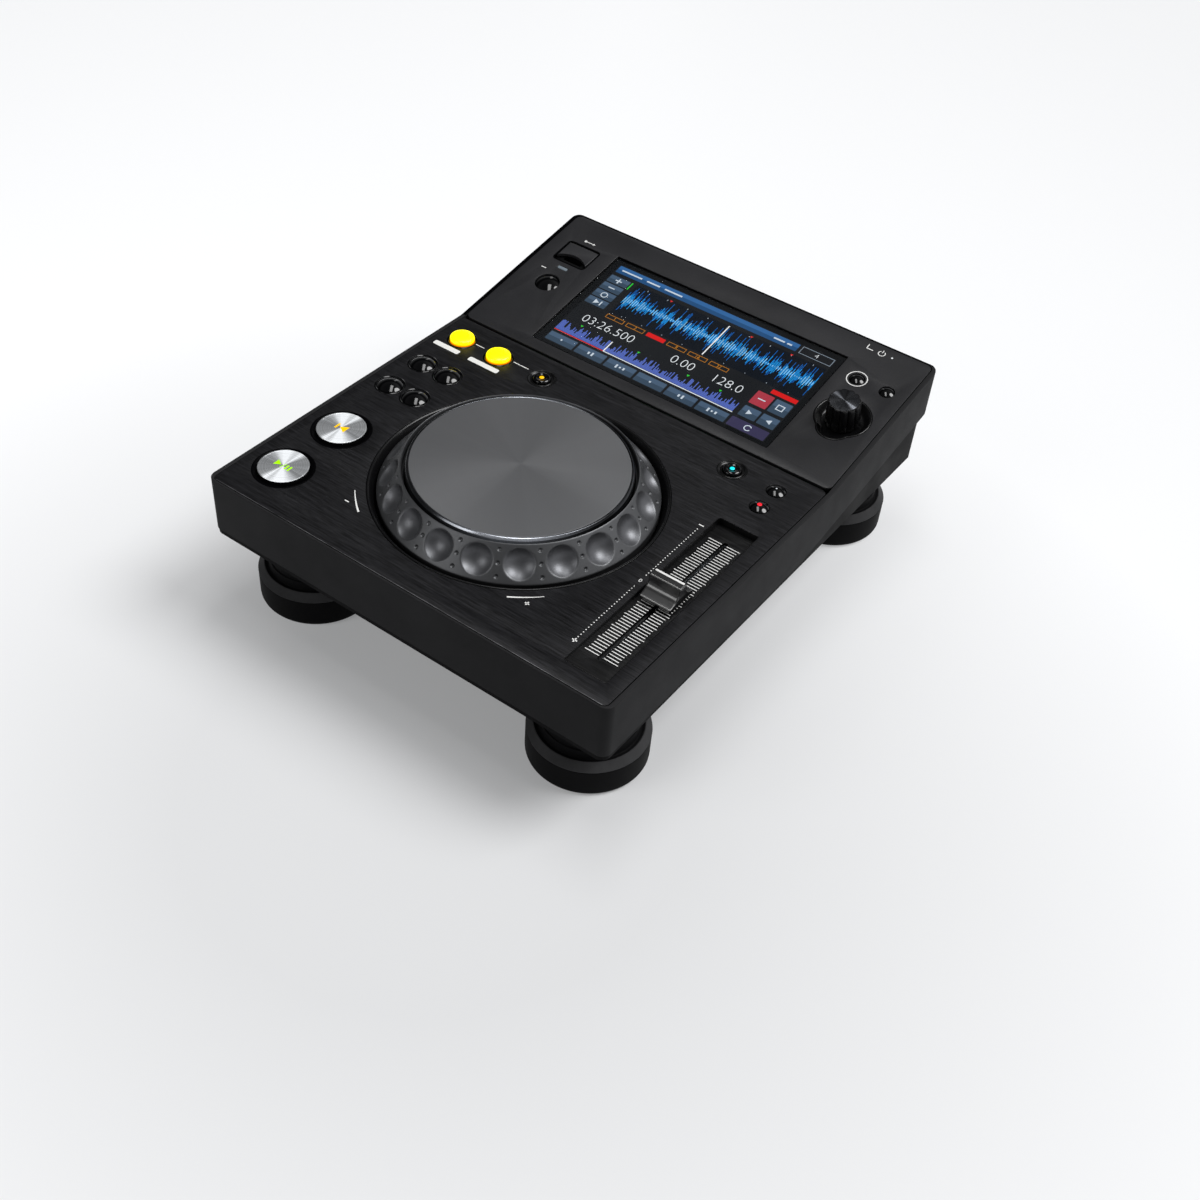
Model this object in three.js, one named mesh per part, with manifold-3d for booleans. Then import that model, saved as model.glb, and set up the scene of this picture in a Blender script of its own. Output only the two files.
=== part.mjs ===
// A table-top dj multi player: a flat deck with a jog wheel, a tempo fader and
// round buttons, and behind it a tilted screen housing that overhangs the jacks.
// Millimetres, +Z up, feet on Z = 0, front towards -Y.

import * as THREE from 'three';
import { mergeVertices } from 'three/addons/utils/BufferGeometryUtils.js';
import Module from 'manifold-3d';

const wasm = await Module();
wasm.setup();

// Case. Its width and depth follow from what it holds, further down.
const CASE_HEIGHT = 34.5;
const PANEL_TILT = THREE.MathUtils.degToRad(10.4);
const JACK_HEADROOM = 6.55;
const OVERHANG = 11.7;
const CORNER_RADIUS = 5;
const SHELL_WALL = 2.5;
const FLOOR_THICKNESS = 2;
const BAND_HEIGHT = 2.2;
const LOWER_INSET = 0.4;
const LIP_HEIGHT = 4;
const LIP_THICKNESS = 1.5;

// Clearances
const FIT_GAP = 0.3;
const CUT_OVERRUN = 1;
const MERGE_TOLERANCE = 0.0001;

// Deck plate and screen panel
const DECK_THICKNESS = 1.5;
const PANEL_THICKNESS = 2;
const SIDE_RIM = 2.7;
const FRONT_RIM = 1.2;
const REAR_RIM = 1.4;
const BEND_GROOVE = 1;
const LEDGE_WIDTH = 3;
const LEDGE_THICKNESS = 2;
const BOARD_BOSS_RADIUS = 2.2;
const BOARD_BOSS_EDGE = 3.4;

// Posts that join the two case halves
const POST_RADIUS = 4;
const POST_SIDE = 7;
const POST_STUB_HEIGHT = 6;
const FRONT_POST_DEPTH = 10;
const MIDDLE_POST_BEHIND_BEND = 11;
const REAR_POST_MARGIN = 18.7;

// Feet
const FOOT_HEIGHT = 45.5;
const FOOT_RADIUS = 30.5;
const FOOT_EDGE_RADIUS = 3.5;
const FOOT_WALL_HEIGHT = 16.5;
const FOOT_CHAMFER_RADIUS = 27;
const FOOT_CHAMFER_HEIGHT = 20.4;
const FOOT_NECK_RADIUS = 24;
const FOOT_STUB_RADIUS = 6;
const FOOT_MARGIN = 33.45;
const FRONT_FOOT_DEPTH = 37;
const REAR_FOOT_MARGIN = 32.2;

// Underside vents
const VENT_LENGTH = 34;
const VENT_WIDTH = 2.6;
const VENT_PITCH = 6.5;
const VENT_ROW_DEPTH = 152;
const VENT_SIDE = 46;

// Jog wheel, heights from the deck surface
const JOG_X = -1.2;
const JOG_SIDE = 46.85;
const JOG_FRONT = 18.8;
const JOG_REAR = 23.2;
const WHEEL_RADIUS = 70.5;
const WELL_CLEARANCE = 1.3;
const WELL_CONE_WIDTH = 3.7;
const WELL_CONE_DEPTH = 4;
const WELL_WALL = 1.8;
const WELL_FLOOR_DEPTH = 17;
const WELL_FLANGE = 4.5;
const HUB_RADIUS = 8;
const HUB_BORE_RADIUS = 5;
const HUB_HEIGHT = 19;
const BEARING_WALL = 2.4;
const BEARING_HEIGHT = 18;
const WHEEL_EDGE_DEPTH = 1;
const WHEEL_SKIRT = 7;
const WHEEL_SKIRT_WALL = 2.6;
const WHEEL_SLOPE_WIDTH = 11.5;
const WHEEL_TOP_HEIGHT = 13.3;
const WHEEL_WEB_TOP = 6;
const WHEEL_WEB = 2;
const WHEEL_SHOULDER_STEP = 4;
const WHEEL_SLEEVE_WALL = 2;
const WHEEL_SLEEVE_DEPTH = 6;
const WHEEL_RIM_WIDTH = 2.4;
const PLATTER_HEIGHT = 14.3;
const PLATTER_BEVEL = 0.9;
const PLATTER_SKIN = 2.4;
const PLATTER_RIM_WALL = 3.2;
const PLATTER_TRAVEL = 0.5;
const SPINDLE_CLIP_RADIUS = 7.5;
const SPINDLE_CLIP_HEIGHT = 1.4;
const DIMPLE_RADIUS = 7.75;
const DIMPLE_DEPTH = 3.5;
const DIMPLE_START = THREE.MathUtils.degToRad(2.2);
const DIMPLE_OVERREACH = 1.3;
const PIT_RADIUS = 0.85;
const PIT_DEPTH = 0.6;
const ENCODER_RADIUS = 34;
const ENCODER_THICKNESS = 0.9;
const ENCODER_SLOT_LENGTH = 4;
const ENCODER_SLOT_WIDTH = 1.6;
const ENCODER_EDGE = 1.8;
const SENSOR_WIDTH = 9;
const SENSOR_REACH = 6;
const SENSOR_LENGTH = 13;
const SENSOR_JAW = 3;

// Tempo fader
const FADER_MARGIN = 22.65;
const TRAY_FRONT = 12.5;
const TRAY_REAR = 53.1;
const TRAY_WIDTH = 23.4;
const TRAY_END = 10.7;
const TRAY_FRONT_RECESS = 0.8;
const TRAY_REAR_RECESS = 3.8;
const TRAY_FLOOR = 1.5;
const TRAY_FLANGE = 2.5;
const SLOT_LENGTH = 106;
const SLOT_WIDTH = 2.6;
const TRACK_WIDTH = 13;
const TRACK_END = 9;
const TRACK_HEIGHT = 10;
const LEVER_THICKNESS = 1.3;
const LEVER_LENGTH = 5;
const LEVER_REACH = 6;
const LEVER_GRIP = 4;
const FADER_CAP_WIDTH = 17.4;
const FADER_CAP_LENGTH = 19.4;
const FADER_CAP_HEIGHT = 10.6;
const FADER_CAP_EDGE = 2;
const FADER_CAP_VALLEY = 3.3;
const FADER_CAP_RIDGE = 4.6;
const FADER_CAP_RIDGE_FLARE = 0.9;
const FADER_CAP_LIFT = 0.5;

// Screen, lengths up the panel from the bend
const SCREEN_WIDTH = 155;
const SCREEN_SIDE = 44.85;
const SCREEN_START = 8.2;
const SCREEN_LENGTH = 82.8;
const SCREEN_REAR = 18.12;
const GLASS_RECESS = 0.8;
const GLASS_BORDER = 3;
const GLASS_THICKNESS = 1.4;
const LCD_THICKNESS = 4.6;

// Rotary selector
const SELECTOR_MARGIN = 24.05;
const SELECTOR_DROP = 28.8;
const DISH_RADIUS = 15.2;
const DISH_FLOOR_RADIUS = 12.4;
const DISH_DEPTH = 4;
const DISH_WALL = 1.4;
const DISH_FLANGE = 2;
const SCOOP_RADIUS = 9.8;
const SCOOP_FLOOR_RADIUS = 7.6;
const SCOOP_OFFSET = 8.6;
const KNOB_HEIGHT = 12;
const KNOB_TOP_RADIUS = 8.8;
const KNOB_BASE_RADIUS = 9.3;
const KNOB_BEVEL = 0.8;
const KNOB_PUSH = 0.6;
const KNOB_SKIN = 2.5;
const FLUTE_RADIUS = 1.5;
const SHAFT_RADIUS = 3;
const ENCODER_BODY_WIDTH = 13.4;
const ENCODER_BODY_HEIGHT = 7;
const ROTOR_RADIUS = 5;
const ROTOR_THICKNESS = 2;

// USB port
const USB_MARGIN = 23.95;
const USB_COVER_WIDTH = 20.6;
const USB_COVER_REAR = 22.72;
const USB_COVER_LENGTH = 16.6;
const USB_COVER_THICKNESS = 1.8;
const USB_HINGE_RADIUS = 1.3;
const USB_SCOOP_RADIUS = 9;
const USB_SCOOP_BITE = 3;
const USB_BODY_DEPTH = 15;
const USB_BODY_INSET = 1;
const USB_FLANGE = 2;
const USB_FLANGE_THICKNESS = 1.4;
const USB_SLOT_WIDTH = 12.4;
const USB_SLOT_HEIGHT = 5.2;
const USB_SLOT_DEPTH = 11.5;
const USB_TONGUE_WIDTH = 10.4;
const USB_TONGUE_THICKNESS = 1.2;
const USB_TONGUE_RECESS = 1;
const USB_BAR_DROP = 5.4;
const USB_BAR_WIDTH = 6.2;
const USB_BAR_LENGTH = 1.8;
const USB_BAR_DEPTH = 3;

// Buttons
const KEY_TRAVEL = 0.5;
const KEY_FLANGE = 1;
const KEY_FLANGE_THICKNESS = 2.6;
const BOARD_THICKNESS = 1.6;
const MAIN_KEY_MARGIN = 23.55;
const PLAY_DEPTH = 29;
const CUE_DEPTH = 70.4;
const MAIN_KEY_RADIUS = 12.9;
const MAIN_KEY_RISE = 2;
const MAIN_KEY_BEVEL = 0.9;
const RING_RADIUS = 15.5;
const RING_LIP = 0.5;
const RING_STEP = 0.7;
const RING_CONE_DEPTH = 1.4;
const SEARCH_LEFT_MARGIN = 15.75;
const SEARCH_RIGHT_MARGIN = 33.15;
const TRACK_ROW_DEPTH = 142.4;
const SEARCH_ROW_DEPTH = 116;
const DOME_RADIUS = 6.9;
const DOME_RISE = 2.4;
const LOOP_ROW_TO_BEND = 18.8;
const LOOP_IN_MARGIN = 16.95;
const LOOP_OUT_MARGIN = 42.75;
const LOOP_EXIT_MARGIN = 72.95;
const LOOP_KEY_RADIUS = 6.9;
const LOOP_KEY_RISE = 3.2;
const LOOP_KEY_BEVEL = 1.6;
const SMALL_KEY_RADIUS = 4.9;
const SMALL_KEY_RISE = 1.2;
const SMALL_KEY_BEVEL = 0.7;
const VINYL_MARGIN = 49.75;
const TEMPO_KEY_MARGIN = 23.35;
const TEMPO_RANGE_TO_BEND = 17.4;
const MASTER_TEMPO_TO_BEND = 33.6;
const STOP_DROP = 20.2;
const STOP_RADIUS = 6.9;
const BACK_MARGIN = 32.35;
const TAG_MARGIN = 14.15;
const BACK_REAR = 30.52;
const PANEL_KEY_RADIUS = 4;
const PANEL_KEY_RISE = 1.3;
const POWER_MARGIN = 40.35;
const POWER_RADIUS = 3.4;
const POWER_RISE = 1.2;
const POWER_DEPTH = 6;

// Boards
const KEY_BOARD_WIDTH = 36;
const KEY_BOARD_MARGIN = 5.35;
const KEY_BOARD_START = 15;
const KEY_BOARD_TO_BEND = 9;
const KEY_BOARD_ARM_WIDTH = 17.5;
const KEY_BOARD_ARM_REACH = 13.4;
const TEMPO_BOARD_REACH = 11.6;
const TEMPO_BOARD_LENGTH = 33;
const PANEL_BOARD_MARGIN = 8.6;
const USB_BOARD_REACH = 12.6;
const SCREEN_BOARD_REACH = 7;
const BOARD_SIDE_MARGIN = 14.35;
const POWER_BOARD_WIDTH = 56;
const POWER_BOARD_GAP = 8;
const MAIN_BOARD_TO_BEND = 11;
const POWER_BOARD_TO_BEND = 3;
const BOARD_REAR_MARGIN = 20;
const BOARD_POST_HEIGHT = 3;
const CHIP_WIDTH = 19;
const CHIP_HEIGHT = 1.6;
const CAPACITOR_RADIUS = 6;
const CAPACITOR_PITCH = 15;
const CAPACITOR_HEIGHT = 13;
const TRANSFORMER_WIDTH = 24;
const TRANSFORMER_HEIGHT = 14;

// Jacks on the rear wall
const JACK_PLATE_THICKNESS = 1.2;
const JACK_WINDOW_MARGIN = 19.35;
const JACK_WINDOW_SILL = 4.6;
const JACK_WINDOW_TOP = 2;
const JACK_PLATE_LAP = 2;
const MAINS_MARGIN = 38.35;
const MAINS_WIDTH = 24;
const MAINS_HEIGHT = 14.6;
const MAINS_BODY_DEPTH = 14;
const MAINS_FLANGE_WIDTH = 28;
const MAINS_CAVITY_WALL = 1.6;
const MAINS_PIN_WIDTH = 2.2;
const MAINS_PIN_HEIGHT = 4;
const MAINS_PIN_PITCH = 14;
const MAINS_PIN_DROP = 4;
const PHONO_SIDE_MARGIN = 30.35;
const PHONO_PITCH = 18;
const PHONO_RADIUS = 4.2;
const PHONO_MARGIN = 0.8;
const PHONO_BORE_RADIUS = 3.2;
const PHONO_COLLAR_RADIUS = 5.8;
const PHONO_COLLAR_THICKNESS = 1.6;
const PHONO_REACH = 9;
const PHONO_BODY_DEPTH = 10;
const PHONO_BORE_DEPTH = 12;
const PHONO_BODY_WIDTH = 12;
const NETWORK_X = -20;
const NETWORK_WIDTH = 16;
const NETWORK_HEIGHT = 13;
const NETWORK_DEPTH = 18;
const NETWORK_HOLE_WIDTH = 11.8;
const NETWORK_HOLE_HEIGHT = 8.2;
const NETWORK_HOLE_DEPTH = 13;
const NETWORK_SILL = 1.6;
const USB_B_X = 18;
const USB_B_WIDTH = 12;
const USB_B_HEIGHT = 11;
const USB_B_DEPTH = 16;
const USB_B_HOLE_WIDTH = 8.6;
const USB_B_HOLE_HEIGHT = 7.8;
const USB_B_HOLE_DEPTH = 10;
const USB_B_TONGUE_WIDTH = 5.4;
const USB_B_TONGUE_HEIGHT = 3;

// Counts
const DIMPLES = 20;
const PIT_ROWS = 3;
const ENCODER_SLOTS = 16;
const FLUTES = 12;
const VENTS = 6;
const WHEEL_STEPS = 40;
const FOOT_STEPS = 20;
const LARGE_KEY_STEPS = 24;
const KEY_STEPS = 16;
const SMALL_STEPS = 8;
const DIMPLE_STEPS = 10;
const PIT_STEPS = 4;
const CAP_CURVE_STEPS = 8;
const ARC_STEPS = 2;
const CORNER_STEPS = 5;

// Sizes that follow from the pieces inside: the case is as wide as the wider of
// its screen row and jog row, and the deck as deep as the deeper of its jog
// column and fader column
const WELL_THROAT_RADIUS = WHEEL_RADIUS + WELL_CLEARANCE;
const WELL_RADIUS = WELL_THROAT_RADIUS + WELL_CONE_WIDTH;
const WHEEL_TOP_RADIUS = WHEEL_RADIUS - WHEEL_SLOPE_WIDTH;
const WHEEL_SHOULDER_RADIUS = WHEEL_TOP_RADIUS - WHEEL_SHOULDER_STEP;
const PLATTER_RADIUS = WHEEL_TOP_RADIUS - WHEEL_RIM_WIDTH;
const TRAY_LENGTH = SLOT_LENGTH + 2 * TRAY_END;
const TRACK_LENGTH = SLOT_LENGTH + 2 * TRACK_END;
const SCREEN_ROW_WIDTH = SCREEN_WIDTH + 2 * SCREEN_SIDE;
const JOG_ROW_WIDTH = 2 * (WELL_RADIUS + JOG_SIDE);
const CASE_WIDTH = Math.max(SCREEN_ROW_WIDTH, JOG_ROW_WIDTH);
const JOG_COLUMN_DEPTH = JOG_FRONT + 2 * WELL_RADIUS + JOG_REAR;
const FADER_COLUMN_DEPTH = TRAY_FRONT + TRAY_LENGTH + TRAY_REAR;
const DECK_DEPTH = Math.max(JOG_COLUMN_DEPTH, FADER_COLUMN_DEPTH);
const PANEL_LENGTH = SCREEN_START + SCREEN_LENGTH + SCREEN_REAR;
const CASE_DEPTH = DECK_DEPTH + (PANEL_LENGTH + REAR_RIM) * Math.cos(PANEL_TILT);
const JACK_ROW_HEIGHT = FLOOR_THICKNESS + BOARD_POST_HEIGHT + BOARD_THICKNESS + FIT_GAP
  + NETWORK_HEIGHT + JACK_HEADROOM;

// Places that follow from the sizes
const HALF_WIDTH = CASE_WIDTH / 2;
const FRONT_Y = -CASE_DEPTH / 2;
const REAR_Y = CASE_DEPTH / 2;
const BEND_Y = FRONT_Y + DECK_DEPTH;
const JACK_WALL_Y = REAR_Y - OVERHANG;
const CASE_BOTTOM_Z = FOOT_HEIGHT;
const FLOOR_Z = CASE_BOTTOM_Z + FLOOR_THICKNESS;
const DECK_Z = CASE_BOTTOM_Z + CASE_HEIGHT;
const SLOPE = Math.tan(PANEL_TILT);
const REAR_TOP_Z = DECK_Z + (REAR_Y - BEND_Y) * SLOPE;
const BAND_Z = CASE_BOTTOM_Z + BAND_HEIGHT;
const REAR_SEAM_Z = CASE_BOTTOM_Z + JACK_ROW_HEIGHT;
const BAND_END_Y = REAR_Y - (REAR_SEAM_Z - FIT_GAP - BAND_Z) / SLOPE;
const PANEL_HALF_WIDTH = HALF_WIDTH - SIDE_RIM;
const BOARD_Z = FLOOR_Z + BOARD_POST_HEIGHT;
const BOARD_TOP_Z = BOARD_Z + BOARD_THICKNESS;
const BOARD_REAR_Y = JACK_WALL_Y - BOARD_REAR_MARGIN;
const JACK_FACE_Y = JACK_WALL_Y - SHELL_WALL;
const JACK_BACK_Y = JACK_FACE_Y - JACK_PLATE_THICKNESS;
const JACK_Z = BOARD_TOP_Z + FIT_GAP + NETWORK_HEIGHT / 2;

const JOG_DEPTH = JOG_FRONT + WELL_RADIUS;
const FADER_DEPTH = TRAY_FRONT + TRAY_LENGTH / 2;
const FADER_X = HALF_WIDTH - FADER_MARGIN;
const TRACK_TOP = -TRAY_REAR_RECESS - TRAY_FLOOR;
const BACK_REACH = PANEL_LENGTH - BACK_REAR;
const SELECTOR_X = HALF_WIDTH - SELECTOR_MARGIN;
const SELECTOR_REACH = BACK_REACH - SELECTOR_DROP;
const USB_X = USB_MARGIN - HALF_WIDTH;
const USB_COVER_START = PANEL_LENGTH - USB_COVER_REAR - USB_COVER_LENGTH;
const USB_BAR_REACH = USB_COVER_START - USB_BAR_DROP;
const STOP_REACH = USB_COVER_START - STOP_DROP;
const BACK_X = HALF_WIDTH - BACK_MARGIN;
const TAG_X = HALF_WIDTH - TAG_MARGIN;
const MAIN_KEY_X = MAIN_KEY_MARGIN - HALF_WIDTH;
const LOOP_ROW_DEPTH = DECK_DEPTH - LOOP_ROW_TO_BEND;
const LOOP_EXIT_X = LOOP_EXIT_MARGIN - HALF_WIDTH;
const VINYL_X = HALF_WIDTH - VINYL_MARGIN;
const TEMPO_KEY_X = HALF_WIDTH - TEMPO_KEY_MARGIN;
const TEMPO_RANGE_DEPTH = DECK_DEPTH - TEMPO_RANGE_TO_BEND;
const POWER_X = HALF_WIDTH - POWER_MARGIN;
const KEY_BOARD_SIDE = HALF_WIDTH - KEY_BOARD_MARGIN;
const KEY_BOARD_END = DECK_DEPTH - KEY_BOARD_TO_BEND;
const KEY_BOARD_ARM_START = KEY_BOARD_END - KEY_BOARD_ARM_WIDTH;
const KEY_BOARD_ARM_END_X = LOOP_EXIT_X + KEY_BOARD_ARM_REACH;
const TEMPO_BOARD_START_X = VINYL_X - TEMPO_BOARD_REACH;
const TEMPO_BOARD_START = KEY_BOARD_END - TEMPO_BOARD_LENGTH;
const BOARD_SIDE_X = HALF_WIDTH - BOARD_SIDE_MARGIN;
const POWER_BOARD_START_X = BOARD_SIDE_X - POWER_BOARD_WIDTH;
const MAIN_BOARD_END_X = POWER_BOARD_START_X - POWER_BOARD_GAP;
const MAIN_BOARD_START = DECK_DEPTH - MAIN_BOARD_TO_BEND;
const POWER_BOARD_START = DECK_DEPTH - POWER_BOARD_TO_BEND;
const MAINS_X = HALF_WIDTH - MAINS_MARGIN;
const PHONO_LEFT_X = PHONO_SIDE_MARGIN - HALF_WIDTH;
const PHONO_RIGHT_X = PHONO_LEFT_X + PHONO_PITCH;

function fromFront(depth) {
  return FRONT_Y + depth;
}

// Height of the sloping seam between the two case halves
function seamZ(y) {
  return REAR_SEAM_Z - (REAR_Y - y) * SLOPE;
}

// Solids from three.js geometries

function signedVolume(positions, triangles) {
  const corners = [new THREE.Vector3(), new THREE.Vector3(), new THREE.Vector3()];
  let volume = 0;
  for (let i = 0; i < triangles.length; i += 3) {
    corners.forEach((corner, k) => corner.fromArray(positions, triangles[i + k] * 3));
    volume += corners[0].dot(corners[1].clone().cross(corners[2]));
  }
  return volume;
}

function toSolid(geometry) {
  const bare = geometry.clone();
  bare.deleteAttribute('normal');
  bare.deleteAttribute('uv');
  const merged = mergeVertices(bare, MERGE_TOLERANCE);
  const positions = merged.attributes.position.array;
  const index = merged.index.array;
  const kept = [];
  for (let i = 0; i < index.length; i += 3) {
    const [a, b, c] = [index[i], index[i + 1], index[i + 2]];
    if (a !== b && b !== c && a !== c) kept.push(a, b, c);
  }
  if (signedVolume(positions, kept) < 0) kept.reverse();
  return new wasm.Manifold(new wasm.Mesh({
    numProp: 3,
    vertProperties: new Float32Array(positions),
    triVerts: new Uint32Array(kept),
  }));
}

function toGeometry(solid) {
  const mesh = solid.getMesh();
  const geometry = new THREE.BufferGeometry();
  geometry.setAttribute('position', new THREE.BufferAttribute(new Float32Array(mesh.vertProperties), 3));
  geometry.setIndex(new THREE.BufferAttribute(new Uint32Array(mesh.triVerts), 1));
  geometry.computeVertexNormals();
  return geometry;
}

function join(...solids) {
  return solids.reduce((sum, solid) => sum.add(solid));
}

function cut(solid, ...tools) {
  return tools.reduce((rest, tool) => rest.subtract(tool), solid);
}

// A box between two corners
function block([x0, y0, z0], [x1, y1, z1]) {
  const geometry = new THREE.BoxGeometry(x1 - x0, y1 - y0, z1 - z0);
  geometry.translate((x0 + x1) / 2, (y0 + y1) / 2, (z0 + z1) / 2);
  return toSolid(geometry);
}

// An upright disc or rod
function rod(radius, x, y, z0, z1, steps = KEY_STEPS) {
  const geometry = new THREE.CylinderGeometry(radius, radius, z1 - z0, steps);
  geometry.rotateX(Math.PI / 2);
  geometry.translate(x, y, (z0 + z1) / 2);
  return toSolid(geometry);
}

// A rod that lies along Y
function rodAlongY(radius, x, z, y0, y1, steps = KEY_STEPS) {
  const geometry = new THREE.CylinderGeometry(radius, radius, y1 - y0, steps);
  geometry.translate(x, (y0 + y1) / 2, z);
  return toSolid(geometry);
}

// A rod that lies along X
function rodAlongX(radius, y, z, x0, x1, steps = KEY_STEPS) {
  const geometry = new THREE.CylinderGeometry(radius, radius, x1 - x0, steps);
  geometry.rotateZ(Math.PI / 2);
  geometry.translate((x0 + x1) / 2, y, z);
  return toSolid(geometry);
}

// A profile of [radius, height] pairs turned about an upright axis
function turned(profile, x = 0, y = 0, z = 0, steps = KEY_STEPS) {
  const points = profile.map(([r, h]) => new THREE.Vector2(r, h));
  const geometry = new THREE.LatheGeometry(points, steps);
  geometry.rotateX(Math.PI / 2);
  geometry.translate(x, y, z);
  return toSolid(geometry);
}

// A closed loop of [radius, height] pairs turned into a ring
function turnedRing(profile, x = 0, y = 0, z = 0, steps = KEY_STEPS) {
  return turned([...profile, profile[0]], x, y, z, steps);
}

// An outline in X and Y pulled up from z0 to z1
function upright(shape, z0, z1, curveSegments = ARC_STEPS) {
  const options = { depth: z1 - z0, bevelEnabled: false, curveSegments };
  const geometry = new THREE.ExtrudeGeometry(shape, options);
  geometry.translate(0, 0, z0);
  return toSolid(geometry);
}

// An outline in Y and Z pulled across from x0 to x1
function across(shape, x0, x1, curveSegments = ARC_STEPS) {
  const options = { depth: x1 - x0, bevelEnabled: false, curveSegments };
  const geometry = new THREE.ExtrudeGeometry(shape, options);
  const basis = new THREE.Matrix4().makeBasis(
    new THREE.Vector3(0, 1, 0),
    new THREE.Vector3(0, 0, 1),
    new THREE.Vector3(1, 0, 0),
  );
  geometry.applyMatrix4(basis);
  geometry.translate(x0, 0, 0);
  return toSolid(geometry);
}

function polygon(points) {
  return new THREE.Shape(points.map(([u, v]) => new THREE.Vector2(u, v)));
}

function roundedRectangle(x0, x1, y0, y1, radius) {
  const shape = new THREE.Shape();
  shape.moveTo(x0 + radius, y0);
  shape.lineTo(x1 - radius, y0);
  shape.absarc(x1 - radius, y0 + radius, radius, -Math.PI / 2, 0);
  shape.lineTo(x1, y1 - radius);
  shape.absarc(x1 - radius, y1 - radius, radius, 0, Math.PI / 2);
  shape.lineTo(x0 + radius, y1);
  shape.absarc(x0 + radius, y1 - radius, radius, Math.PI / 2, Math.PI);
  shape.lineTo(x0, y0 + radius);
  shape.absarc(x0 + radius, y0 + radius, radius, Math.PI, Math.PI * 1.5);
  return shape;
}

// The tilted frame of the screen panel: X across, Y up the panel, Z out of it
const panelMatrix = new THREE.Matrix4()
  .makeTranslation(0, BEND_Y, DECK_Z)
  .multiply(new THREE.Matrix4().makeRotationX(PANEL_TILT));

function tiltedBlock([x0, y0, z0], [x1, y1, z1]) {
  const geometry = new THREE.BoxGeometry(x1 - x0, y1 - y0, z1 - z0);
  geometry.translate((x0 + x1) / 2, (y0 + y1) / 2, (z0 + z1) / 2);
  geometry.applyMatrix4(panelMatrix);
  return toSolid(geometry);
}

// Finishes

function finish(color, roughness, metalness = 0) {
  return () => new THREE.MeshStandardMaterial({ color, roughness, metalness });
}

const charcoalPlastic = finish(0x4b4c4e, 0.55);
const blackPlastic = finish(0x1b1b1c, 0.5);
const glossBlack = finish(0x08080a, 0.15);
const brushedBlack = finish(0x3a3a3c, 0.38, 0.7);
const blackRubber = finish(0x101011, 0.8);
const greyRing = finish(0x5c5d5f, 0.3, 0.3);
const spunGrey = finish(0x8a8b8d, 0.3, 0.8);
const spunSilver = finish(0xd9dadc, 0.22, 0.9);
const litYellow = finish(0xffe100, 0.35);
const screenGlass = finish(0x0b1420, 0.05);
const bareSteel = finish(0xb4b6b8, 0.3, 1);
const boardGreen = finish(0x1f5b35, 0.5);
const ivoryPlastic = finish(0xd8d4c8, 0.5);

const player = new THREE.Group();
const panel = new THREE.Group();
panel.applyMatrix4(panelMatrix);
player.add(panel);

function addPiece(group, name, solid, material) {
  const mesh = new THREE.Mesh(toGeometry(solid), material());
  mesh.name = name;
  group.add(mesh);
  return mesh;
}

// Case halves

const POST_X = HALF_WIDTH - SHELL_WALL - POST_SIDE;
const POST_PLACES = [FRONT_POST_DEPTH, DECK_DEPTH + MIDDLE_POST_BEHIND_BEND, CASE_DEPTH - REAR_POST_MARGIN]
  .flatMap((depth) => [[-POST_X, fromFront(depth)], [POST_X, fromFront(depth)]]);
const POST_SEAT_Z = FLOOR_Z + POST_STUB_HEIGHT;
const FOOT_X = HALF_WIDTH - FOOT_MARGIN;
const FOOT_PLACES = {
  foot_front_left: [-FOOT_X, fromFront(FRONT_FOOT_DEPTH)],
  foot_front_right: [FOOT_X, fromFront(FRONT_FOOT_DEPTH)],
  foot_rear_left: [-FOOT_X, REAR_Y - REAR_FOOT_MARGIN],
  foot_rear_right: [FOOT_X, REAR_Y - REAR_FOOT_MARGIN],
};
const POWER_Z = (REAR_TOP_Z + REAR_SEAM_Z) / 2;

function caseOutline(inset, z0, z1) {
  const outline = roundedRectangle(
    -HALF_WIDTH + inset, HALF_WIDTH - inset, FRONT_Y + inset, REAR_Y - inset, CORNER_RADIUS);
  return upright(outline, z0, z1, CORNER_STEPS);
}

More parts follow.
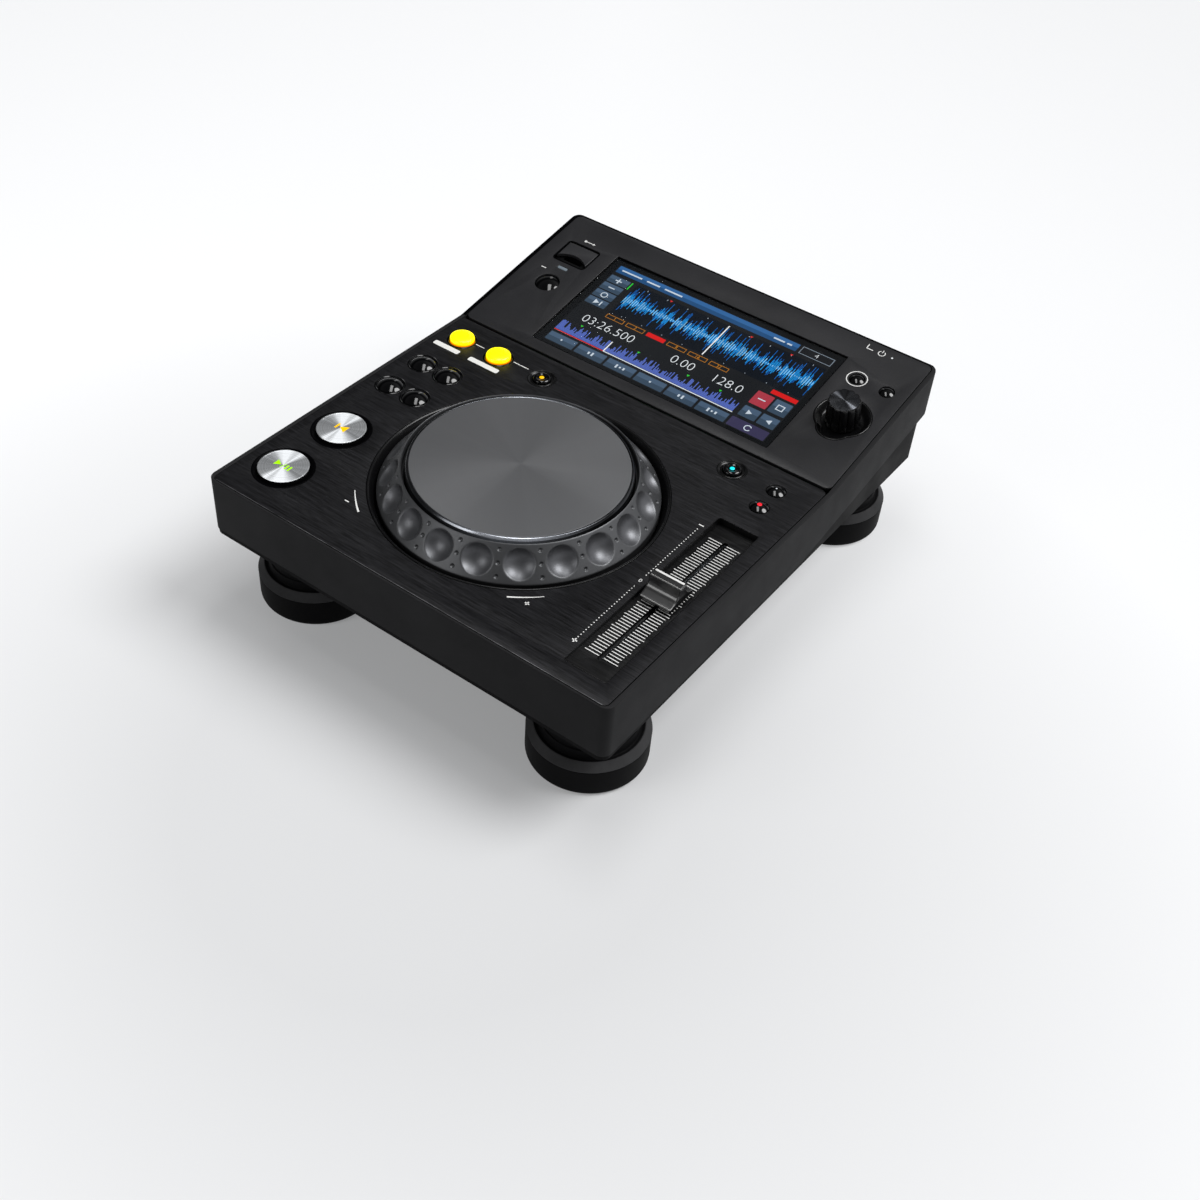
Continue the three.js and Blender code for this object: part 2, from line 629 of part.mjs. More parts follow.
function makeUpperCase() {
  const lowerEdgeZ = BAND_Z + FIT_GAP;
  const outside = polygon([
    [FRONT_Y, lowerEdgeZ],
    [FRONT_Y, DECK_Z],
    [BEND_Y, DECK_Z],
    [REAR_Y, REAR_TOP_Z],
    [REAR_Y, seamZ(REAR_Y)],
    [BAND_END_Y, lowerEdgeZ],
  ]);
  const shell = across(outside, -HALF_WIDTH, HALF_WIDTH)
    .intersect(caseOutline(0, CASE_BOTTOM_Z, REAR_TOP_Z + CUT_OVERRUN));

  // The hollow stops below the deck ledge and the panel ledge, and above the
  // overhang's underside
  const deckLedgeZ = DECK_Z - DECK_THICKNESS - LEDGE_THICKNESS;
  const panelLedgeDrop = (PANEL_THICKNESS + FIT_GAP + LEDGE_THICKNESS) / Math.cos(PANEL_TILT);
  const ledgeBendY = BEND_Y + (panelLedgeDrop - DECK_THICKNESS - LEDGE_THICKNESS) / SLOPE;
  const innerRearY = REAR_Y - SHELL_WALL;
  const panelLedgeZ = (y) => DECK_Z + (y - BEND_Y) * SLOPE - panelLedgeDrop;
  const inside = polygon([
    [FRONT_Y + SHELL_WALL, CASE_BOTTOM_Z],
    [FRONT_Y + SHELL_WALL, deckLedgeZ],
    [ledgeBendY, deckLedgeZ],
    [innerRearY, panelLedgeZ(innerRearY)],
    [innerRearY, seamZ(innerRearY) + SHELL_WALL],
    [JACK_FACE_Y, seamZ(JACK_FACE_Y) + SHELL_WALL],
    [JACK_FACE_Y, CASE_BOTTOM_Z],
  ]);
  const hollow = across(inside, -HALF_WIDTH + SHELL_WALL, HALF_WIDTH - SHELL_WALL);

  const deckHalf = PANEL_HALF_WIDTH + FIT_GAP;
  const deckPocket = block(
    [-deckHalf, FRONT_Y + FRONT_RIM - FIT_GAP, DECK_Z - DECK_THICKNESS],
    [deckHalf, BEND_Y, DECK_Z + CUT_OVERRUN],
  );
  const deckWindow = block(
    [-deckHalf + LEDGE_WIDTH, FRONT_Y + SHELL_WALL, DECK_Z + TRACK_TOP - FIT_GAP],
    [deckHalf - LEDGE_WIDTH, BEND_Y - LEDGE_WIDTH, DECK_Z],
  );
  const panelPocket = tiltedBlock(
    [-deckHalf, 0, -PANEL_THICKNESS - FIT_GAP],
    [deckHalf, PANEL_LENGTH + FIT_GAP, CASE_HEIGHT],
  );
  const panelWindow = tiltedBlock(
    [-deckHalf + LEDGE_WIDTH, LEDGE_WIDTH, -panelLedgeDrop - CUT_OVERRUN],
    [deckHalf - LEDGE_WIDTH, PANEL_LENGTH - LEDGE_WIDTH, 0],
  );
  const powerHole = rodAlongY(
    POWER_RADIUS + FIT_GAP, POWER_X, POWER_Z, innerRearY - CUT_OVERRUN, REAR_Y + CUT_OVERRUN);

  // Posts hang from the ledges, stand on the stubs of the lower case and stop
  // below the fader's tray
  const posts = POST_PLACES.map(([x, y]) => {
    const ledgeZ = y < BEND_Y ? deckLedgeZ : panelLedgeZ(y);
    const ribZ = Math.max(POST_SEAT_Z + LIP_HEIGHT, seamZ(y) + LIP_HEIGHT);
    return join(
      rod(POST_RADIUS, x, y, POST_SEAT_Z, ledgeZ + LEDGE_THICKNESS / 2, SMALL_STEPS),
      block(
        [x < 0 ? -HALF_WIDTH + SHELL_WALL / 2 : x, y - LIP_THICKNESS / 2, ribZ],
        [x < 0 ? x : HALF_WIDTH - SHELL_WALL / 2, y + LIP_THICKNESS / 2, ledgeZ + LEDGE_THICKNESS / 2],
      ),
    );
  });
  const hollowed = join(cut(shell, hollow), ...posts);
  return cut(hollowed, deckPocket, deckWindow, panelPocket, panelWindow, powerHole);
}

function jackWindow(margin, y0, y1) {
  const halfWidth = HALF_WIDTH - JACK_WINDOW_MARGIN + margin;
  return block(
    [-halfWidth, y0, CASE_BOTTOM_Z + JACK_WINDOW_SILL - margin],
    [halfWidth, y1, seamZ(JACK_FACE_Y) - FIT_GAP - JACK_WINDOW_TOP + margin],
  );
}

const BOARD_CORNERS = [
  [-BOARD_SIDE_X, fromFront(MAIN_BOARD_START)],
  [MAIN_BOARD_END_X, fromFront(MAIN_BOARD_START)],
  [-BOARD_SIDE_X, BOARD_REAR_Y],
  [MAIN_BOARD_END_X, BOARD_REAR_Y],
  [POWER_BOARD_START_X, fromFront(POWER_BOARD_START)],
  [BOARD_SIDE_X, fromFront(POWER_BOARD_START)],
  [POWER_BOARD_START_X, BOARD_REAR_Y],
  [BOARD_SIDE_X, BOARD_REAR_Y],
];

// A point moved from a board's corner towards its middle
function insetCorner([x, y], index) {
  const frontRow = index % 4 < 2;
  const leftColumn = index % 2 === 0;
  return [
    leftColumn ? x + BOARD_BOSS_EDGE : x - BOARD_BOSS_EDGE,
    frontRow ? y + BOARD_BOSS_EDGE : y - BOARD_BOSS_EDGE,
  ];
}

function makeLowerCase() {
  const outside = polygon([
    [FRONT_Y, CASE_BOTTOM_Z],
    [FRONT_Y, BAND_Z],
    [BAND_END_Y, BAND_Z],
    [JACK_WALL_Y, seamZ(JACK_WALL_Y) - FIT_GAP],
    [JACK_WALL_Y, CASE_BOTTOM_Z],
  ]);
  const body = across(outside, -HALF_WIDTH, HALF_WIDTH)
    .intersect(caseOutline(LOWER_INSET, CASE_BOTTOM_Z - CUT_OVERRUN, REAR_TOP_Z));
  const innerX = HALF_WIDTH - LOWER_INSET - SHELL_WALL;
  const innerFrontY = FRONT_Y + LOWER_INSET + SHELL_WALL;
  const hollow = block([-innerX, innerFrontY, FLOOR_Z], [innerX, JACK_FACE_Y, REAR_TOP_Z]);

  // A lip that locates the upper case, open at the rear
  const lipX = HALF_WIDTH - SHELL_WALL - FIT_GAP;
  const lipY = FRONT_Y + SHELL_WALL + FIT_GAP;
  const lip = cut(
    block([-lipX, lipY, CASE_BOTTOM_Z + FLOOR_THICKNESS / 2], [lipX, BAND_END_Y, BAND_Z + LIP_HEIGHT]),
    block(
      [-lipX + LIP_THICKNESS, lipY + LIP_THICKNESS, CASE_BOTTOM_Z],
      [lipX - LIP_THICKNESS, BAND_END_Y + CUT_OVERRUN, BAND_Z + LIP_HEIGHT + CUT_OVERRUN],
    ),
  );

  const stubs = POST_PLACES
    .map(([x, y]) => rod(POST_RADIUS, x, y, CASE_BOTTOM_Z, POST_SEAT_Z, SMALL_STEPS));
  const boardPosts = BOARD_CORNERS.map(insetCorner)
    .map(([x, y]) => rod(BOARD_BOSS_RADIUS, x, y, CASE_BOTTOM_Z, BOARD_Z, SMALL_STEPS));
  const belowFloor = CASE_BOTTOM_Z - CUT_OVERRUN;
  const aboveFloor = FLOOR_Z + CUT_OVERRUN;
  const footHoles = Object.values(FOOT_PLACES)
    .map(([x, y]) => rod(FOOT_STUB_RADIUS + FIT_GAP, x, y, belowFloor, aboveFloor, FOOT_STEPS));
  const vents = [-VENT_SIDE, VENT_SIDE].flatMap((x) => Array.from({ length: VENTS }, (_, i) => {
    const y = fromFront(VENT_ROW_DEPTH) + (i - (VENTS - 1) / 2) * VENT_PITCH;
    return block(
      [x - VENT_LENGTH / 2, y - VENT_WIDTH / 2, belowFloor],
      [x + VENT_LENGTH / 2, y + VENT_WIDTH / 2, aboveFloor],
    );
  }));
  const solid = join(cut(body, hollow), lip, ...stubs, ...boardPosts);
  const rearWindow = jackWindow(0, JACK_FACE_Y - CUT_OVERRUN, JACK_WALL_Y + CUT_OVERRUN);
  return cut(solid, rearWindow, ...footHoles, ...vents);
}

function makeFoot(x, y) {
  const rounding = Array.from({ length: ARC_STEPS + 1 }, (_, i) => {
    const angle = (i / ARC_STEPS) * Math.PI / 2;
    return [
      FOOT_RADIUS - FOOT_EDGE_RADIUS + FOOT_EDGE_RADIUS * Math.sin(angle),
      FOOT_EDGE_RADIUS - FOOT_EDGE_RADIUS * Math.cos(angle),
    ];
  });
  return turned([
    [0, 0],
    ...rounding,
    [FOOT_RADIUS, FOOT_WALL_HEIGHT],
    [FOOT_CHAMFER_RADIUS, FOOT_CHAMFER_HEIGHT],
    [FOOT_NECK_RADIUS, FOOT_CHAMFER_HEIGHT],
    [FOOT_NECK_RADIUS, FOOT_HEIGHT],
    [FOOT_STUB_RADIUS, FOOT_HEIGHT],
    [FOOT_STUB_RADIUS, FOOT_HEIGHT + FLOOR_THICKNESS],
    [0, FOOT_HEIGHT + FLOOR_THICKNESS],
  ], x, y, 0, FOOT_STEPS);
}

// Buttons on the deck and on the panel

const JOG_Y = fromFront(JOG_DEPTH);
const FADER_Y = fromFront(FADER_DEPTH);

const searchLeftX = SEARCH_LEFT_MARGIN - HALF_WIDTH;
const searchRightX = SEARCH_RIGHT_MARGIN - HALF_WIDTH;
const masterTempoDepth = DECK_DEPTH - MASTER_TEMPO_TO_BEND;
const DECK_KEYS = [
  { name: 'track_back_button', x: searchLeftX, depth: TRACK_ROW_DEPTH, kind: 'dome' },
  { name: 'track_forward_button', x: searchRightX, depth: TRACK_ROW_DEPTH, kind: 'dome' },
  { name: 'search_back_button', x: searchLeftX, depth: SEARCH_ROW_DEPTH, kind: 'dome' },
  { name: 'search_forward_button', x: searchRightX, depth: SEARCH_ROW_DEPTH, kind: 'dome' },
  { name: 'loop_in_button', x: LOOP_IN_MARGIN - HALF_WIDTH, depth: LOOP_ROW_DEPTH, kind: 'loop' },
  { name: 'loop_out_button', x: LOOP_OUT_MARGIN - HALF_WIDTH, depth: LOOP_ROW_DEPTH, kind: 'loop' },
  { name: 'loop_exit_button', x: LOOP_EXIT_X, depth: LOOP_ROW_DEPTH, kind: 'small' },
  { name: 'vinyl_mode_button', x: VINYL_X, depth: TEMPO_RANGE_DEPTH, kind: 'small' },
  { name: 'tempo_range_button', x: TEMPO_KEY_X, depth: TEMPO_RANGE_DEPTH, kind: 'small' },
  { name: 'master_tempo_button', x: TEMPO_KEY_X, depth: masterTempoDepth, kind: 'small' },
];
const PANEL_KEYS = [
  { name: 'usb_stop_button', x: USB_X, reach: STOP_REACH, kind: 'stop' },
  { name: 'back_button', x: BACK_X, reach: BACK_REACH, kind: 'panel' },
  { name: 'tag_button', x: TAG_X, reach: BACK_REACH, kind: 'panel' },
];
const KEY_KINDS = {
  main: { radius: MAIN_KEY_RADIUS, rise: MAIN_KEY_RISE, bevel: MAIN_KEY_BEVEL, material: spunSilver },
  dome: { radius: DOME_RADIUS, rise: DOME_RISE, bevel: DOME_RISE, material: glossBlack },
  loop: { radius: LOOP_KEY_RADIUS, rise: LOOP_KEY_RISE, bevel: LOOP_KEY_BEVEL, material: litYellow },
  small: { radius: SMALL_KEY_RADIUS, rise: SMALL_KEY_RISE, bevel: SMALL_KEY_BEVEL, material: glossBlack },
  stop: { radius: STOP_RADIUS, rise: PANEL_KEY_RISE, bevel: SMALL_KEY_BEVEL, material: glossBlack },
  panel: { radius: PANEL_KEY_RADIUS, rise: PANEL_KEY_RISE, bevel: PANEL_KEY_RISE, material: glossBlack },
};

// How far a button board's face lies under the surface of the plate above it
function boardDrop(plateThickness) {
  return plateThickness + KEY_FLANGE_THICKNESS + KEY_TRAVEL + 2 * FIT_GAP;
}

// Cap and hidden flange of a button that passes a plate: heights are from the
// plate's surface
function makeKey(kind, plateThickness, steps = KEY_STEPS) {
  const { radius, rise, bevel } = KEY_KINDS[kind];
  const rounding = Array.from({ length: ARC_STEPS + 1 }, (_, i) => {
    const angle = (i / ARC_STEPS) * Math.PI / 2;
    const run = kind === 'dome' || kind === 'panel' ? radius : bevel;
    return [radius - run * (1 - Math.sin(angle)), rise - bevel * (1 - Math.cos(angle))];
  });
  const start = kind === 'dome' || kind === 'panel' ? [] : [[0, rise]];
  const flangeTop = -plateThickness - FIT_GAP;
  return turned([
    ...start,
    ...rounding,
    [radius, flangeTop],
    [radius + KEY_FLANGE, flangeTop],
    [radius + KEY_FLANGE, flangeTop - KEY_FLANGE_THICKNESS],
    [0, flangeTop - KEY_FLANGE_THICKNESS],
  ], 0, 0, 0, steps);
}

// The dark ring round a main button, dropped into the deck from above
function makeKeyRing() {
  const throat = MAIN_KEY_RADIUS + FIT_GAP;
  const bodyRadius = RING_RADIUS - RING_STEP;
  return turnedRing([
    [RING_RADIUS, RING_LIP],
    [throat, RING_LIP - RING_CONE_DEPTH],
    [throat, -DECK_THICKNESS],
    [bodyRadius, -DECK_THICKNESS - FIT_GAP],
    [bodyRadius, 0],
    [RING_RADIUS, 0],
  ], 0, 0, 0, LARGE_KEY_STEPS);
}

// Deck plate

function keyBoardBosses(places, plateThickness) {
  return places.map(([x, y]) => rod(
    BOARD_BOSS_RADIUS, x, y, -boardDrop(plateThickness), -plateThickness / 2, SMALL_STEPS));
}

const DECK_BOSSES = [
  [-KEY_BOARD_SIDE + BOARD_BOSS_EDGE, fromFront(KEY_BOARD_START) + BOARD_BOSS_EDGE],
  [-KEY_BOARD_SIDE + KEY_BOARD_WIDTH - BOARD_BOSS_EDGE, fromFront(KEY_BOARD_START) + BOARD_BOSS_EDGE],
  [-KEY_BOARD_SIDE + BOARD_BOSS_EDGE, fromFront(KEY_BOARD_END) - BOARD_BOSS_EDGE],
  [KEY_BOARD_ARM_END_X - BOARD_BOSS_EDGE, fromFront(KEY_BOARD_ARM_START) + BOARD_BOSS_EDGE],
  [TEMPO_BOARD_START_X + BOARD_BOSS_EDGE, fromFront(KEY_BOARD_END) - BOARD_BOSS_EDGE],
  [KEY_BOARD_SIDE - BOARD_BOSS_EDGE, fromFront(KEY_BOARD_END) - BOARD_BOSS_EDGE],
  [KEY_BOARD_SIDE - BOARD_BOSS_EDGE, fromFront(TEMPO_BOARD_START) + BOARD_BOSS_EDGE],
];

function makeDeckPlate() {
  const rearY = BEND_Y - BEND_GROOVE;
  const outline = roundedRectangle(
    -PANEL_HALF_WIDTH, PANEL_HALF_WIDTH, FRONT_Y + FRONT_RIM, rearY, SIDE_RIM);
  const plate = upright(outline, -DECK_THICKNESS, 0);
  const top = CUT_OVERRUN;
  const bottom = -DECK_THICKNESS - CUT_OVERRUN;
  const jogHole = rod(WELL_RADIUS + FIT_GAP, JOG_X, JOG_Y, bottom, top, WHEEL_STEPS);
  const trayHole = block(
    [FADER_X - TRAY_WIDTH / 2, FADER_Y - TRAY_LENGTH / 2, bottom],
    [FADER_X + TRAY_WIDTH / 2, FADER_Y + TRAY_LENGTH / 2, top],
  );
  const keyHoles = DECK_KEYS.map(({ x, depth, kind }) => rod(
    KEY_KINDS[kind].radius + FIT_GAP, x, fromFront(depth), bottom, top));
  const ringHoles = [PLAY_DEPTH, CUE_DEPTH].map((depth) => rod(
    RING_RADIUS - RING_STEP + FIT_GAP, MAIN_KEY_X, fromFront(depth), bottom, top, LARGE_KEY_STEPS));
  const solid = cut(plate, jogHole, trayHole, ...keyHoles, ...ringHoles);
  return join(solid, ...keyBoardBosses(DECK_BOSSES, DECK_THICKNESS));
}

function makeDeckKeyBoard() {
  const inner = -KEY_BOARD_SIDE + KEY_BOARD_WIDTH;
  const outline = polygon([
    [-KEY_BOARD_SIDE, fromFront(KEY_BOARD_START)],
    [inner, fromFront(KEY_BOARD_START)],
    [inner, fromFront(KEY_BOARD_ARM_START)],
    [KEY_BOARD_ARM_END_X, fromFront(KEY_BOARD_ARM_START)],
    [KEY_BOARD_ARM_END_X, fromFront(KEY_BOARD_END)],
    [-KEY_BOARD_SIDE, fromFront(KEY_BOARD_END)],
  ]);
  const top = -boardDrop(DECK_THICKNESS);
  return upright(outline, top - BOARD_THICKNESS, top);
}

function makeTempoKeyBoard() {
  const top = -boardDrop(DECK_THICKNESS);
  return block(
    [TEMPO_BOARD_START_X, fromFront(TEMPO_BOARD_START), top - BOARD_THICKNESS],
    [KEY_BOARD_SIDE, fromFront(KEY_BOARD_END), top],
  );
}

// Jog wheel, built about its own axis with heights from the deck surface

const WELL_BOTTOM = -WELL_FLOOR_DEPTH - WELL_WALL;
const SLEEVE_BORE_RADIUS = HUB_RADIUS + BEARING_WALL + 2 * FIT_GAP;
const SPINDLE_RADIUS = HUB_BORE_RADIUS - FIT_GAP;

function makeJogWell() {
  const outerWall = WELL_THROAT_RADIUS + WELL_WALL;
  const flangeTop = -DECK_THICKNESS;
  const flangeBottom = flangeTop - WELL_WALL;
  return turnedRing([
    [WELL_RADIUS, 0],
    [WELL_THROAT_RADIUS, -WELL_CONE_DEPTH],
    [WELL_THROAT_RADIUS, -WELL_FLOOR_DEPTH],
    [HUB_RADIUS, -WELL_FLOOR_DEPTH],
    [HUB_RADIUS, -WELL_FLOOR_DEPTH + HUB_HEIGHT],
    [HUB_BORE_RADIUS, -WELL_FLOOR_DEPTH + HUB_HEIGHT],
    [HUB_BORE_RADIUS, WELL_BOTTOM],
    [outerWall, WELL_BOTTOM],
    [outerWall, flangeBottom],
    [WELL_RADIUS + WELL_FLANGE, flangeBottom],
    [WELL_RADIUS + WELL_FLANGE, flangeTop],
    [WELL_RADIUS, flangeTop],
  ], 0, 0, 0, WHEEL_STEPS);
}

function makeJogBearing() {
  const bottom = -WELL_FLOOR_DEPTH;
  return turnedRing([
    [HUB_RADIUS + FIT_GAP, bottom],
    [HUB_RADIUS + FIT_GAP + BEARING_WALL, bottom],
    [HUB_RADIUS + FIT_GAP + BEARING_WALL, bottom + BEARING_HEIGHT],
    [HUB_RADIUS + FIT_GAP, bottom + BEARING_HEIGHT],
  ], 0, 0, 0, LARGE_KEY_STEPS);
}

function makeJogSpindle() {
  const clipTop = WELL_BOTTOM - FIT_GAP;
  const top = WHEEL_WEB_TOP + WHEEL_WEB;
  return turned([
    [0, clipTop - SPINDLE_CLIP_HEIGHT],
    [SPINDLE_CLIP_RADIUS, clipTop - SPINDLE_CLIP_HEIGHT],
    [SPINDLE_CLIP_RADIUS, clipTop],
    [SPINDLE_RADIUS, clipTop],
    [SPINDLE_RADIUS, top],
    [0, top],
  ]);
}

// The wheel's outer face is a cone from its edge up to its top rim. A dimple or
// pit sits at a share of the way along it.
function conePoint(share) {
  return new THREE.Vector2(
    THREE.MathUtils.lerp(WHEEL_RADIUS, WHEEL_TOP_RADIUS, share),
    THREE.MathUtils.lerp(-WHEEL_EDGE_DEPTH, WHEEL_TOP_HEIGHT, share),
  );
}

function coneNormal() {
  const run = WHEEL_RADIUS - WHEEL_TOP_RADIUS;
  const rise = WHEEL_TOP_HEIGHT + WHEEL_EDGE_DEPTH;
  return new THREE.Vector2(rise, run).normalize();
}

// The round end of a ball, closed by a cone to its middle
function dimpleCap(sphereRadius) {
  const reach = Math.asin(DIMPLE_RADIUS / sphereRadius) * DIMPLE_OVERREACH;
  const points = [new THREE.Vector2(0, -sphereRadius)];
  for (let i = 1; i <= 2; i += 1) {
    const angle = (reach * i) / 2;
    points.push(new THREE.Vector2(sphereRadius * Math.sin(angle), -sphereRadius * Math.cos(angle)));
  }
  points.push(new THREE.Vector2(0, 0));
  return new THREE.LatheGeometry(points, DIMPLE_STEPS);
}

function makeDimple(angle) {
  const sphereRadius = (DIMPLE_RADIUS ** 2 + DIMPLE_DEPTH ** 2) / (2 * DIMPLE_DEPTH);
  const centre = conePoint(1 / 2).addScaledVector(coneNormal(), sphereRadius - DIMPLE_DEPTH);
  const geometry = dimpleCap(sphereRadius);
  geometry.rotateX(Math.PI / 2);
  geometry.rotateY(Math.PI / 2 - coneNormal().angle());
  geometry.translate(centre.x, 0, centre.y);
  geometry.rotateZ(angle);
  return toSolid(geometry);
}

function makePit(angle, share) {
  const centre = conePoint(share);
  const normal = coneNormal();
  const geometry = new THREE.ConeGeometry(PIT_RADIUS * 2, PIT_DEPTH * 2, PIT_STEPS);
  geometry.rotateX(-Math.PI / 2);
  geometry.rotateY(Math.PI / 2 - normal.angle());
  geometry.translate(centre.x, 0, centre.y);
  geometry.rotateZ(angle);
  return toSolid(geometry);
}

function makeJogWheel() {
  const pocketRadius = PLATTER_RADIUS + 2 * FIT_GAP;
  const webBottom = WHEEL_WEB_TOP - WHEEL_WEB;
  const skirtEnd = -WHEEL_EDGE_DEPTH - WHEEL_SKIRT;
  const ring = turnedRing([
    [WHEEL_RADIUS, -WHEEL_EDGE_DEPTH],
    [WHEEL_TOP_RADIUS, WHEEL_TOP_HEIGHT],
    [pocketRadius, WHEEL_TOP_HEIGHT],
    [pocketRadius, WHEEL_WEB_TOP],
    [SPINDLE_RADIUS + FIT_GAP, WHEEL_WEB_TOP],
    [SPINDLE_RADIUS + FIT_GAP, webBottom],
    [SLEEVE_BORE_RADIUS, webBottom],
    [SLEEVE_BORE_RADIUS, -WHEEL_SLEEVE_DEPTH],
    [SLEEVE_BORE_RADIUS + WHEEL_SLEEVE_WALL, -WHEEL_SLEEVE_DEPTH],
    [SLEEVE_BORE_RADIUS + WHEEL_SLEEVE_WALL, webBottom],
    [WHEEL_SHOULDER_RADIUS, webBottom],
    [WHEEL_RADIUS - WHEEL_SKIRT_WALL, skirtEnd / 2],
    [WHEEL_RADIUS - WHEEL_SKIRT_WALL, skirtEnd],
    [WHEEL_RADIUS, skirtEnd],
  ], 0, 0, 0, WHEEL_STEPS);
  const step = (2 * Math.PI) / DIMPLES;
  const cuts = [];
  for (let i = 0; i < DIMPLES; i += 1) {
    cuts.push(makeDimple(DIMPLE_START + i * step));
    for (let row = 1; row <= PIT_ROWS; row += 1) {
      const share = (row - 1 / 2) / PIT_ROWS;
      cuts.push(makePit(DIMPLE_START + (i + 1 / 2) * step, share));
    }
  }
  return cut(ring, ...cuts);
}

function makeJogPlatter() {
  const bottom = WHEEL_WEB_TOP + PLATTER_TRAVEL + FIT_GAP;
  const inner = PLATTER_RADIUS - PLATTER_RIM_WALL;
  return turned([
    [0, PLATTER_HEIGHT],
    [PLATTER_RADIUS - PLATTER_BEVEL, PLATTER_HEIGHT],
    [PLATTER_RADIUS, PLATTER_HEIGHT - PLATTER_BEVEL],
    [PLATTER_RADIUS, bottom],
    [inner, bottom],
    [inner, PLATTER_HEIGHT - PLATTER_SKIN],
    [0, PLATTER_HEIGHT - PLATTER_SKIN],
  ], 0, 0, 0, WHEEL_STEPS);
}

function makeEncoderDisc() {
  const top = -WHEEL_SLEEVE_DEPTH - FIT_GAP;
  const disc = turnedRing([
    [SLEEVE_BORE_RADIUS, top - ENCODER_THICKNESS],
    [ENCODER_RADIUS, top - ENCODER_THICKNESS],
    [ENCODER_RADIUS, top],
    [SLEEVE_BORE_RADIUS, top],
  ], 0, 0, 0, ENCODER_SLOTS * 2);
  const slotEnd = ENCODER_RADIUS - ENCODER_EDGE;
  const slots = Array.from({ length: ENCODER_SLOTS }, (_, i) => {
    const geometry = new THREE.BoxGeometry(ENCODER_SLOT_LENGTH, ENCODER_SLOT_WIDTH, CASE_HEIGHT);
    geometry.translate(slotEnd - ENCODER_SLOT_LENGTH / 2, 0, top);
    geometry.rotateZ((i / ENCODER_SLOTS) * 2 * Math.PI);
    return toSolid(geometry);
  });
  return cut(disc, ...slots);
}

// A fork that stands on the well's floor and straddles the slotted disc
function makeJogSensor() {
  const discTop = -WHEEL_SLEEVE_DEPTH - FIT_GAP;
  const discBottom = discTop - ENCODER_THICKNESS;
  const far = ENCODER_RADIUS + SENSOR_REACH;
  const body = block(
    [-SENSOR_WIDTH / 2, -far, -WELL_FLOOR_DEPTH],
    [SENSOR_WIDTH / 2, -far + SENSOR_LENGTH, discTop + FIT_GAP + SENSOR_JAW],
  );
  const gap = block(
    [-SENSOR_WIDTH, -ENCODER_RADIUS - 2 * FIT_GAP, discBottom - 2 * FIT_GAP],
    [SENSOR_WIDTH, 0, discTop + 2 * FIT_GAP],
  );
  return cut(body, gap);
}

// Tempo fader, built about its own middle with heights from the deck surface

// The tray's floor slopes down to the rear, from inside the deck's hole at the
// front to below the deck at the rear
function makeFaderTray() {
  const halfWidth = TRAY_WIDTH / 2;
  const halfLength = TRAY_LENGTH / 2;
  const frame = block(
    [-halfWidth - TRAY_FLANGE, -halfLength - TRAY_FLANGE, TRACK_TOP],
    [halfWidth + TRAY_FLANGE, halfLength + TRAY_FLANGE, -DECK_THICKNESS],
  );
  const plug = block(
    [-halfWidth + FIT_GAP, -halfLength + FIT_GAP, TRACK_TOP],
    [halfWidth - FIT_GAP, halfLength - FIT_GAP, 0],
  );
  const recess = across(polygon([
    [-halfLength, -TRAY_FRONT_RECESS],
    [halfLength, -TRAY_REAR_RECESS],
    [halfLength, CUT_OVERRUN],
    [-halfLength, CUT_OVERRUN],
  ]), -halfWidth, halfWidth);
  const slot = block(
    [-SLOT_WIDTH / 2, -SLOT_LENGTH / 2, TRACK_TOP - CUT_OVERRUN],
    [SLOT_WIDTH / 2, SLOT_LENGTH / 2, 0],
  );
  return cut(join(frame, plug), recess, slot);
}

function makeFaderTrack() {
  const bottom = TRACK_TOP - TRACK_HEIGHT;
  const can = block(
    [-TRACK_WIDTH / 2, -TRACK_LENGTH / 2, bottom],
    [TRACK_WIDTH / 2, TRACK_LENGTH / 2, TRACK_TOP],
  );
  const channel = block(
    [-SLOT_WIDTH / 2, -SLOT_LENGTH / 2, TRACK_TOP - LEVER_REACH - 2 * FIT_GAP],
    [SLOT_WIDTH / 2, SLOT_LENGTH / 2, TRACK_TOP + CUT_OVERRUN],
  );
  return cut(can, channel);
}

function makeFaderLever() {
  return block(
    [-LEVER_THICKNESS / 2, -LEVER_LENGTH / 2, TRACK_TOP - LEVER_REACH],
    [LEVER_THICKNESS / 2, LEVER_LENGTH / 2, FADER_CAP_LIFT + LEVER_GRIP],
  );
}

// The cap has a flat ridge between two hollow slopes that run out to its ends
function makeFaderCap() {
  const end = FADER_CAP_LENGTH / 2;
  const ridge = FADER_CAP_RIDGE / 2;
  const valley = ridge + FADER_CAP_RIDGE_FLARE;
  const outline = new THREE.Shape();
  outline.moveTo(-end, FADER_CAP_LIFT);
  outline.lineTo(-end, FADER_CAP_LIFT + FADER_CAP_EDGE);
  outline.quadraticCurveTo(-valley, FADER_CAP_VALLEY, -ridge, FADER_CAP_HEIGHT);
  outline.lineTo(ridge, FADER_CAP_HEIGHT);
  outline.quadraticCurveTo(valley, FADER_CAP_VALLEY, end, FADER_CAP_LIFT + FADER_CAP_EDGE);
  outline.lineTo(end, FADER_CAP_LIFT);
  const cap = across(outline, -FADER_CAP_WIDTH / 2, FADER_CAP_WIDTH / 2, CAP_CURVE_STEPS);
  const socket = block(
    [-LEVER_THICKNESS / 2 - FIT_GAP, -LEVER_LENGTH / 2 - FIT_GAP, 0],
    [LEVER_THICKNESS / 2 + FIT_GAP, LEVER_LENGTH / 2 + FIT_GAP, FADER_CAP_LIFT + LEVER_GRIP + FIT_GAP],
  );
  return cut(cap, socket);
}

// Screen panel and what sits in it, in the panel's frame

